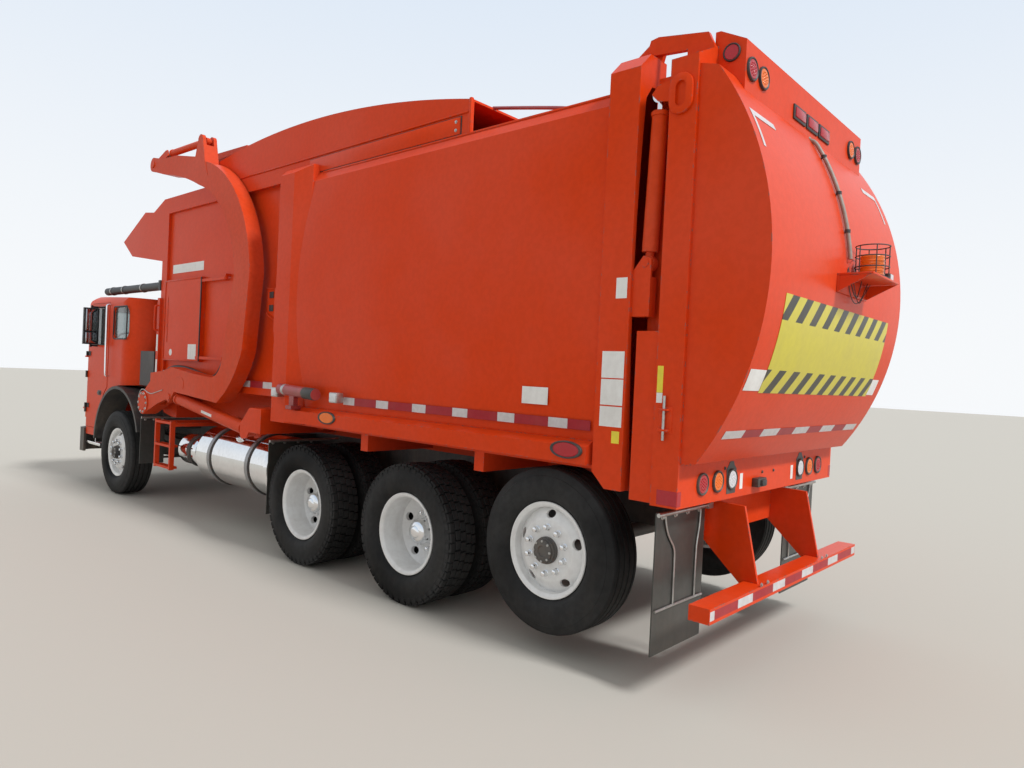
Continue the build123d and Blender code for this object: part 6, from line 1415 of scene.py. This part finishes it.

# %% [markdown]
# ## Hopper side
# The hatch has a rim and a rod down its rear edge. A pull handle stands on the front post, a stiff
# hydraulic hose runs behind the arm as a curve, and rubber pads on the stop plate catch the arm when
# it comes down.

# %% Hopper side
HOSE_X, PAD_LOW_X, PAD_HIGH_X, STOP_HIGH_X = 1.031, 1.0672, 1.0745, 1.084
rim = [
    block("rim", (1.0572, -2.528, 1.694), (1.064, -2.512, 2.616), 0.002),
    block("rim", (1.0572, -2.511, 1.694), (1.064, -1.604, 1.708), 0.002),
    block("rim", (1.0572, -2.511, 2.602), (1.064, -1.604, 2.616), 0.002),
    block("bead", (1.0572, -2.45, 1.9), (1.061, -2.432, 2.42), 0.0015),
]
dress(joined(rim, "hatch_rim"), ORANGE, "hopper_hatch")
dress(
    pipe("hatch_rod", [(1.066, -1.594, 1.7), (1.066, -1.594, 2.15), (1.066, -1.594, 2.612)], 0.0075),
    BLACK, "hopper_hatch"
)
for side, sign, way in SIDES:
    handle = pipe(
        "handle",
        [
            (sign * 1.078, -2.65, 2.33), (sign * 1.115, -2.65, 2.33), (sign * 1.118, -2.65, 2.3),
            (sign * 1.118, -2.65, 2.07), (sign * 1.115, -2.65, 2.04), (sign * 1.078, -2.65, 2.04)
        ],
        0.011,
    )
    dress(handle, ORANGE).name = f"post_handle_{side}"
    x = sign * HOSE_X
    route = [
        (x, -2.49, 1.56), (x, -2.38, 1.615), (x, -2.09, 1.631), (x, -1.78, 1.6), (x, -1.54, 1.556),
        (x, -1.276, 1.531), (x, -1.138, 1.64), (x, -1.05, 1.8), (x, -1.02, 1.985)
    ]
    # A real hose, made black so that it also stands for the shadow line along the arm's inner edge: partly
    # hose, partly painted shadow.
    hose = dress(routed(f"side_hose_{side}", route, 0.015), BLACK_PLASTIC)
    print(hose.name, "is", round(cord_length(hose), 3), "m long")
    end = turned("end", ((0.0, 0.021), (0.04, 0.021)), sides=6)
    ends = copied(end, [at(x, -1.018, 1.965, "+Z"), at(x, -2.5, 1.556, "-Y")], f"side_hose_ends_{side}")
    drop(end)
    dress(ends, STEEL)
    pads = [
        block(
            "pad", (sign * PAD_LOW_X, y - 0.035, z - 0.03), (sign * PAD_HIGH_X, y + 0.035, z + 0.03),
            0.002
        )
        for y, z in ((-0.11, 2.36), (0.04, 2.35), (-0.11, 2.235), (0.04, 2.225))
    ]
    dress(joined(pads, f"stop_pads_{side}"), BLACK_PLASTIC)
    rims = [
        outline("rim", edge, sign * PAD_LOW_X, sign * STOP_HIGH_X, "X", 0.002)
        for edge in (
            [(0.192, 2.401), (-0.188, 2.431), (-0.188, 2.421), (0.192, 2.391)],
            [(0.192, 2.391), (0.182, 2.391), (0.182, 2.01), (0.192, 2.002)],
            [(0.184, 2.004), (-0.176, 2.18), (-0.176, 2.192), (0.184, 2.016)],
        )
    ]
    dress(joined(rims, f"stop_rims_{side}"), ORANGE)
print("hopper side fittings made")

# %% [markdown]
# ## Arms and cylinders
# Each arm turns on a shaft held by a ring of bolts, with a grease pipe beside it. Weld beads run where
# plates meet. A cylinder's barrel ends in a gland collar that the bright rod slides through.

# %% Arms and cylinders
PIVOT_Y, PIVOT_Z, ARM_X, ARM_FACE_X = -2.57, 1.19, 1.2403, 1.2405
HUB_BOLTS, HUB_CIRCLE, HUB_BOLT_X = 10, 0.109, 1.251
LIFT_PINS, LIFT_X = ((-0.224, 1.062), (-1.89, 1.29)), 1.165
FORK_PINS, FORK_X = ((-1.372, 4.01), (-2.31, 4.03)), 1.165
TAIL_PINS, TAIL_X = ((4.039, 2.368), (4.068, 3.295)), 1.135
hub_ring = spun(
    "hub_ring",
    ((-0.001, 0.0875), (-0.001, 0.13), (0.009, 0.13), (0.011, 0.127), (0.011, 0.09), (0.009, 0.0875)),
    steps=56
)
collar = spun("collar", ((0.0, 1.001), (0.0, 1.14), (0.45, 1.14), (0.5, 1.1), (0.5, 1.001)), steps=40)


def aimed(start, end, x, along, radius):
    """A matrix that stands a unit collar on a cylinder, some way along the line between its pins."""
    begin, finish_at = Vector((x, *start)), Vector((x, *end))
    line = (finish_at - begin).normalized()
    turn = line.to_track_quat("X", "Z").to_matrix().to_4x4()
    return Matrix.Translation(begin + line * along) @ turn @ Matrix.Scale(radius, 4)


for side, sign, way in SIDES:
    hub = [at(sign * ARM_X, PIVOT_Y, PIVOT_Z, way)]
    dress(copied(hub_ring, hub, f"arm_hub_ring_{side}"), ARM_ORANGE, "lift_arms")
    turns = [2 * pi / HUB_BOLTS * n for n in range(HUB_BOLTS)]
    spots = [
        (sign * HUB_BOLT_X, PIVOT_Y + HUB_CIRCLE * cos(t), PIVOT_Z + HUB_CIRCLE * sin(t)) for t in turns
    ]
    bolts(f"arm_hub_bolts_{side}", spots, way, body="lift_arms")
    beads = [
        pipe(
            "bead",
            [
                (sign * ARM_FACE_X, y, z)
                for y, z in ((-1.7, 1.515), (-1.6, 1.52), (-1.545, 1.49), (-1.53, 1.44), (-1.545, 1.395))
            ],
            0.0042, 3
        ),
        pipe(
            "bead",
            [(sign * ARM_FACE_X, y, z) for y, z in ((-1.262, 3.8), (-1.225, 3.715), (-1.175, 3.61))],
            0.0042, 3
        ),
    ]
    dress(joined(beads, f"arm_weld_beads_{side}"), ARM_ORANGE, "lift_arms")
    grease = pipe(
        "grease",
        [
            (sign * 1.244, y, z)
            for y, z in (
                (-2.7, 1.25), (-2.66, 1.33), (-2.56, 1.35), (-2.44, 1.31), (-2.33, 1.3), (-2.2, 1.33),
                (-2.05, 1.36)
            )
        ],
        0.005, 3
    )
    dress(grease, STEEL, "lift_arms").name = f"arm_grease_pipe_{side}"
    rings = [aimed(*LIFT_PINS, sign * LIFT_X, 1.548, 0.062)]
    dress(copied(collar, rings, f"lift_gland_{side}"), ARM_ORANGE, "lift_barrels")
    rings = [aimed(*FORK_PINS, sign * FORK_X, 0.83, 0.036)]
    dress(copied(collar, rings, f"fork_gland_{side}"), ARM_ORANGE, "fork_barrels")
    rings = [aimed(*TAIL_PINS, sign * TAIL_X, 0.812, 0.046)]
    dress(copied(collar, rings, f"tail_gland_{side}"), ARM_ORANGE, "tail_barrels")
    label = block("label", (-0.115, -0.014, 0.0), (0.115, 0.014, 0.0036), 0.0008, 1)
    tilt = atan2(1.29 - 1.062, 1.89 - 0.224)
    label.data.transform(Matrix.Rotation(pi / 2 * sign, 4, "X"))
    label.data.transform(Matrix.Rotation(-tilt, 4, "X") @ at(0, 0, 0, "+Y"))
    label.data.transform(Matrix.Translation((sign * 1.225, -1.015, 1.1703)))
    dress(label, WHITE_DECAL, "lift_barrels").name = f"barrel_blank_label_{side}"
    line = pipe(
        "line",
        [
            (sign * 1.083, 4.03, 2.44), (sign * 1.08, 4.028, 2.7), (sign * 1.08, 4.034, 3.02),
            (sign * 1.083, 4.06, 3.08), (sign * 1.1, 4.062, 3.13)
        ],
        0.006, 3
    )
    dress(line, ARM_ORANGE, "tail_barrels").name = f"tail_oil_line_{side}"
drop(hub_ring, collar)
print("arms and cylinders dressed")

# %% [markdown]
# ## Rear door's side
# A slotted boss near the hinge takes the locking pin, and a latch bracket sits low on the post. The boss
# is a long round-ended plate with a smaller one cut out of it.

# %% Rear door's side
def stadium(middle_y, middle_z, half_long, radius, steps=10):
    """The outline of a long plate with round ends, standing upright."""
    top = [
        (middle_y + radius * cos(pi * n / steps), middle_z + half_long + radius * sin(pi * n / steps))
        for n in range(steps + 1)
    ]
    low = [
        (middle_y - radius * cos(pi * n / steps), middle_z - half_long - radius * sin(pi * n / steps))
        for n in range(steps + 1)
    ]
    return top + low


for side, sign, way in SIDES:
    boss = outline("boss", stadium(4.222, 3.255, 0.04, 0.07), sign * 1.1895, sign * 1.208, "X", 0.004)
    slot = outline("slot", stadium(4.222, 3.255, 0.038, 0.03), sign * 1.185, sign * 1.22, "X")
    take(boss)
    cut = boss.modifiers.new("slot", "BOOLEAN")
    cut.operation = "DIFFERENCE"
    cut.solver = "EXACT"
    cut.object = slot
    bpy.ops.object.modifier_apply(modifier="slot")
    drop(slot)
    dress(smooth(boss), ORANGE, "rear_door").name = f"hinge_boss_{side}"
    latch = [
        block("ear", (sign * 1.1895, 4.19, 1.56), (sign * 1.226, 4.25, 1.57), 0.002),
        block("ear", (sign * 1.1895, 4.19, 1.45), (sign * 1.226, 4.25, 1.46), 0.002),
        block("back", (sign * 1.1895, 4.18, 1.44), (sign * 1.194, 4.262, 1.58), 0.002),
    ]
    dress(joined(latch, f"latch_bracket_{side}"), ORANGE, "rear_door")
    dress(
        pipe(
            "latch_rod",
            [(sign * 1.208, 4.22, 1.4), (sign * 1.208, 4.22, 1.5), (sign * 1.208, 4.22, 1.64)], 0.008
        ),
        STEEL, "rear_door"
    ).name = f"latch_rod_{side}"
    strips = [
        side_film(4.16, 4.196, 1.655, 1.8, 1.1902, sign), side_film(4.16, 4.196, 1.6, 1.654, 1.1902, sign)
    ]
    dress(strips[0], YELLOW_DECAL, "rear_door").name = f"post_yellow_strip_{side}"
    dress(strips[1], WHITE_DECAL, "rear_door").name = f"post_white_strip_{side}"
print("rear door's side fittings made")

# %% [markdown]
# ## Tanks
# Steel bands hold the polished fuel tanks to their cradles, and a filler cap stands on each.

# %% Tanks
TANK_X, TANK_Z, FILLER_R, FILLER_TURN = 0.85, 0.715, 0.296, radians(52)
band = spun("band", ((-0.026, 0.3102), (-0.026, 0.3132), (0.026, 0.3132), (0.026, 0.3102)), steps=72)
filler = turned(
    "filler", ((-0.01, 0.05), (0.016, 0.05), (0.018, 0.044), (0.03, 0.044), (0.034, 0.038)), sides=28
)
BAND_STEEL = finish(
    "dull_steel_band", (0.33, 0.34, 0.35), 0.42, metal=0.7, mottle=0.2, dirt=0.4, dirt_high=2.0
)
for side, sign, way in SIDES:
    bands = [at(sign * TANK_X, y, TANK_Z, "+Y") for y in (-1.075, -0.295)]
    dress(copied(band, bands, f"tank_bands_{side}"), BAND_STEEL)
    tip_x, tip_z = TANK_X + FILLER_R * cos(FILLER_TURN), TANK_Z + FILLER_R * sin(FILLER_TURN)
    tip = Matrix.Translation((sign * tip_x, -0.64, tip_z)) @ Matrix.Rotation(-sign * FILLER_TURN, 4, "Y")
    tip = tip @ at(0, 0, 0, way)
    dress(copied(filler, [tip], f"filler_cap_{side}"), CHROME)
drop(band, filler)
print("tank bands and caps on")

# %% [markdown]
# ## Cab
# The cab gets what a driver touches and sees: handles, mirror glass, rubber round each window, wipers,
# lamps and a step. The photograph shows the cab from behind, so its front follows from the type: a
# slatted grille and round headlamps in square bezels.

# %% Cab
GASKET = 0.0085


def windshield_y(z, lift=0.0):
    """The sloped front at a height."""
    return -4.86 + (z - 1.56) * 0.16 / 0.88 - lift


def loop(name, corners, radius=GASKET):
    """A rubber gasket: a closed pipe with soft corners."""
    line = []
    count = len(corners)
    for place, corner in enumerate(corners):
        corner, following = Vector(corner), Vector(corners[(place + 1) % count])
        step = (following - corner).normalized() * min(0.06, (following - corner).length / 3)
        line += [corner + step, (corner + following) / 2, following - step]
        line.append(following)
    line.append(line[0])
    return pipe(name, [tuple(point) for point in line], radius, 3)


for side, sign, way in SIDES:
    door = f"cab_door_{side}"
    x = sign * 1.1495
    gasket = loop("gasket", [(x, -4.64, 1.85), (x, -4.035, 1.85), (x, -4.035, 2.35), (x, -4.56, 2.35)])
    dress(gasket, BLACK_PLASTIC, door).name = f"door_gasket_{side}"
    gasket = loop("gasket", [(x, -3.835, 1.93), (x, -3.405, 1.93), (x, -3.405, 2.34), (x, -3.835, 2.34)])
    dress(gasket, BLACK_PLASTIC).name = f"quarter_gasket_{side}"
    panes = [(sign * 0.045, 1.605), (sign * 0.935, 1.605), (sign * 0.935, 2.325), (sign * 0.045, 2.325)]
    gasket = loop("gasket", [(px, windshield_y(pz, 0.002), pz) for px, pz in panes])
    dress(gasket, BLACK_PLASTIC).name = f"windshield_gasket_{side}"
    wiper = [
        pipe(
            "arm",
            [
                (sign * 0.18, windshield_y(1.58, 0.02), 1.58),
                (sign * 0.3, windshield_y(1.7, 0.026), 1.7), (sign * 0.52, windshield_y(1.88, 0.02), 1.88)
            ],
            0.006, 3
        ),
        pipe(
            "blade",
            [
                (sign * 0.34, windshield_y(1.92, 0.012), 1.96),
                (sign * 0.52, windshield_y(1.88, 0.014), 1.88),
                (sign * 0.72, windshield_y(1.78, 0.012), 1.79)
            ],
            0.0065, 3
        ),
    ]
    dress(joined(wiper, f"wiper_{side}"), BLACK_PLASTIC)
    grab = pipe(
        "grab",
        [
            (sign * 1.148, -3.952, 2.369), (sign * 1.195, -3.952, 2.369), (sign * 1.199, -3.95, 2.33),
            (sign * 1.199, -3.928, 1.49), (sign * 1.195, -3.927, 1.447), (sign * 1.148, -3.927, 1.447)
        ],
        0.0125
    )
    dress(grab, CHROME).name = f"grab_handle_{side}"
    handle = [
        block("plate", (sign * 1.1495, -4.29, 1.185), (sign * 1.157, -4.165, 1.25), 0.003),
        block("paddle", (sign * 1.157, -4.275, 1.2), (sign * 1.17, -4.19, 1.232), 0.005)
    ]
    dress(joined(handle, f"door_handle_{side}"), BLACK_PLASTIC, door)
    glass = [
        block("flat", (sign * 1.178, -4.3255, 2.03), (sign * 1.322, -4.3225, 2.312), 0.0012),
        block("wide", (sign * 1.178, -4.3255, 1.868), (sign * 1.322, -4.3205, 2.005), 0.0022)
    ]
    dress(joined(glass, f"mirror_glass_{side}"), MIRROR_GLASS, door)
    step_parts = [block("tread", (sign * 0.985, -4.62, 0.518), (sign * 1.165, -4.11, 0.556), 0.006)]
    step_parts += [
        block("hanger", (sign * 1.075, y, 0.54), (sign * 1.085, y + 0.045, 0.74), 0.002)
        for y in (-4.56, -4.215)
    ]
    dress(joined(step_parts, f"cab_step_{side}"), CHROME)
    hinges = [turned("hinge", ((-0.045, 0.0135), (0.045, 0.0135)), sides=14) for _ in range(3)]
    barrels = copied(
        hinges[0], [at(sign * 1.166, -4.7, z, "+Z") for z in (0.98, 1.45, 1.98)], f"door_hinges_{side}"
    )
    drop(*hinges)
    dress(barrels, BLACK)
    bezel = [block("bezel", (sign * 0.7, -4.872, 0.83), (sign * 1.03, -4.859, 1.01), 0.008)]
    dress(joined(bezel, f"headlamp_bezel_{side}"), CHROME)
    lamp = turned(
        "lamp", ((0.0, 0.069), (0.008, 0.07), (0.014, 0.066), (0.019, 0.045), (0.021, 0.012)), sides=40
    )
    dress(
        copied(lamp, [at(sign * x, -4.87, 0.92, "-Y") for x in (0.785, 0.945)], f"headlamps_{side}"),
        CLEAR_LENS
    )
    turn_lamp = block("turn", (sign * 1.05, -4.87, 0.85), (sign * 1.11, -4.859, 0.99), 0.006)
    dress(turn_lamp, AMBER_LENS).name = f"front_indicator_{side}"
    hook = pipe(
        "hook",
        [
            (sign * 0.42, -4.93, 0.47), (sign * 0.42, -4.9385, 0.47), (sign * 0.42, -4.9385, 0.57),
            (sign * 0.42, -4.93, 0.57)
        ],
        0.011
    )
    dress(hook, STEEL).name = f"bumper_hook_{side}"
    drop(lamp)
slats = [
    block("slat", (-0.5, -4.88, z), (0.5, -4.8595, z + 0.022), 0.004)
    for z in [0.86 + 0.052 * n for n in range(11)]
]
dress(joined(slats, "grille_slats"), BLACK_PLASTIC)
surround = [
    block("bar", (-0.54, -4.884, 0.81), (0.54, -4.859, 0.845), 0.006),
    block("bar", (-0.54, -4.884, 1.435), (0.54, -4.859, 1.47), 0.006),
    block("bar", (-0.54, -4.8835, 0.845), (-0.505, -4.859, 1.435), 0.006),
    block("bar", (0.505, -4.8835, 0.845), (0.54, -4.859, 1.435), 0.006),
]
dress(joined(surround, "grille_surround"), CHROME)
backing = block("grille_backing", (-0.505, -4.864, 0.845), (0.505, -4.8592, 1.435), 0.001, 1)
dress(backing, BLACK)
duct_ring = spun("duct_ring", ((-0.012, 0.05), (-0.012, 0.056), (0.012, 0.056), (0.012, 0.05)), steps=40)
dress(
    copied(duct_ring, [at(1.0, y, 2.575, "+Y") for y in (-4.3, -3.9, -3.3)], "duct_clamps"), STEEL,
)
drop(duct_ring)
print("cab dressed")

# %% [markdown]
# ## Seats and driving place
# A seat pad is a firm foam block in a sewn cover, so it swells between its edges. A rounded block is
# remeshed to even faces and a short cloth simulation with inner pressure fills it. No point may move
# further than the foam would let it. Sewn channels are then pressed in, and the pads of one seat are
# copied for the other.

# %% Seats
SWELL, EVEN, PRESSURE, FRAMES = 0.014, 0.01, 4.0, 16
CHANNEL_HALF, CHANNEL_DEEP = 0.012, 0.007
CHANNELS = (0.6, 0.7, 0.8)
SEAT_CLOTH = finish(
    "seat_cloth", (0.06, 0.062, 0.068), 0.85, mottle=0.2, dirt=0.15, skin=(900.0, 0.0), bump=0.0008
)


def padding(name, low, high, channels=()):
    """A foam pad: even faces, a short filling simulation with a limit, then sewn channels along given X."""
    pad = block(name, low, high, 0.028, 3)
    take(pad)
    even = pad.modifiers.new("even", "REMESH")
    even.mode = "VOXEL"
    even.voxel_size = EVEN
    bpy.ops.object.modifier_apply(modifier="even")
    before = [corner.co.copy() for corner in pad.data.vertices]
    fill = pad.modifiers.new("fill", "CLOTH")
    fill.settings.use_pressure = True
    fill.settings.uniform_pressure_force = PRESSURE
    fill.settings.effector_weights.gravity = 0.0
    for step in range(1, FRAMES + 1):
        scene.frame_set(step)
    bpy.ops.object.modifier_apply(modifier="fill")
    scene.frame_set(1)
    for corner, start in zip(pad.data.vertices, before):
        moved = corner.co - start
        if moved.length > SWELL:
            corner.co = start + moved.normalized() * SWELL
    for corner in pad.data.vertices:
        press = max((max(0.0, 1.0 - abs(corner.co.x - x) / CHANNEL_HALF) for x in channels), default=0.0)
        corner.co -= corner.normal * CHANNEL_DEEP * press
    take(pad)
    round_off = pad.modifiers.new("soft", "SUBSURF")
    round_off.levels = round_off.render_levels = 1
    bpy.ops.object.modifier_apply(modifier="soft")
    bpy.ops.object.shade_smooth()
    return pad


pads = (
    padding("seat_cushion", (0.466, -4.02, 1.462), (0.934, -3.56, 1.56), CHANNELS),
    padding("seat_back", (0.476, -3.615, 1.6), (0.924, -3.49, 2.13), CHANNELS),
    padding("seat_headrest", (0.59, -3.6, 2.175), (0.81, -3.495, 2.3)),
)
flip = Matrix.Scale(-1, 4, Vector((1, 0, 0)))
for pad in pads:
    twin = copied(pad, [flip], pad.name + "_right")
    pad.name = pad.data.name = pad.name + "_left"
    for piece in (pad, twin):
        dress(piece, SEAT_CLOTH)
print("seat pads:", [len(pad.data.polygons) for pad in pads])

# %% [markdown]
# ## Driving place
# The seats' frames, the dash, its cluster and the steering column are rigid and never part, so they are
# one piece. The steering wheel is a spun ring with a hub and three spokes, made lying about X and then
# tilted.

# %% Driving place
fittings = []
for _, sign, _ in SIDES:
    fittings.append(block("base", (sign * 0.5, -3.96, 1.411), (sign * 0.9, -3.56, 1.466), 0.008))
    fittings.append(block("spine", (sign * 0.52, -3.497, 1.47), (sign * 0.88, -3.472, 2.1), 0.01))
    fittings += [
        pipe("post", [(sign * x, -3.545, 2.08), (sign * x, -3.548, 2.15), (sign * x, -3.55, 2.22)], 0.008)
        for x in (0.66, 0.74)
    ]
fittings.append(block("dash", (-0.88, -4.788, 1.25), (0.88, -4.562, 1.598), 0.03, 4))
fittings.append(block("cluster", (0.48, -4.66, 1.56), (0.92, -4.57, 1.69), 0.018, 3))
fittings.append(pipe("column", [(0.7, -4.6, 1.5), (0.7, -4.47, 1.7), (0.7, -4.345, 1.88)], 0.026))
inside = joined(fittings, "driving_place")
dress(inside, TRIM)
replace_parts(inside, "cab_interior")
wheel_ring = spun(
    "wheel_ring", [(0.013 * cos(pi / 6 * n), 0.219 + 0.014 * sin(pi / 6 * n)) for n in range(12)],
    steps=64
)
wheel_hub = turned("wheel_hub", ((-0.02, 0.04), (0.014, 0.04), (0.02, 0.032)), sides=24)
spoke = block("spoke", (-0.006, -0.014, 0.03), (0.006, 0.014, 0.214), 0.004)
spokes = copied(spoke, [Matrix.Rotation(2 * pi / 3 * n, 4, "X") for n in range(3)], "spokes")
drop(spoke)
steering = joined([wheel_ring, wheel_hub, spokes], "steering_wheel")
tilt_turn = Vector((0.0, 0.27, 0.34)).to_track_quat("X", "Z").to_matrix().to_4x4()
steering.data.transform(Matrix.Translation((0.7, -4.33, 1.9)) @ tilt_turn)
dress(steering, BLACK_PLASTIC)
print("driving place made")

# %% [markdown]
# ## Beacon shelf and cage
# The shelf is folded orange plate, and a cage of bent black wire guards the dome: four hoops and six
# uprights.

# %% Beacon shelf and cage
shelf = [
    block("shelf", (-0.32, 4.751, 2.388), (0.22, 4.949, 2.4), 0.002),
    block("back", (-0.32, 4.751, 2.29), (0.22, 4.763, 2.388), 0.002),
    outline(
        "web", [(4.763, 2.3), (4.77, 2.3), (4.94, 2.386), (4.763, 2.386)], -0.318, -0.31, "X", 0.001, 1
    ),
    outline("web", [(4.763, 2.3), (4.77, 2.3), (4.94, 2.386), (4.763, 2.386)], 0.21, 0.218, "X", 0.001, 1),
]
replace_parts(dress(joined(shelf, "beacon_shelf"), ORANGE, "rear_door"), "warning_lamp")
hoop = spun(
    "hoop", [(0.0038 * cos(pi / 3 * n), 0.096 + 0.0038 * sin(pi / 3 * n)) for n in range(6)], steps=44
)
cage = [copied(hoop, [at(BEACON_X, BEACON_Y, z, "+Z") for z in (2.404, 2.47, 2.535, 2.597)], "hoops")]
drop(hoop)
for n in range(6):
    spot = (BEACON_X + 0.096 * cos(pi / 3 * n + 0.5), BEACON_Y + 0.096 * sin(pi / 3 * n + 0.5))
    cage.append(pipe("upright", [(*spot, 2.4005), (*spot, 2.5), (*spot, 2.598)], 0.0036, 2))
dress(joined(cage, "beacon_cage"), BLACK, "rear_door")
drop(bolt)
print("beacon shelf and cage made")
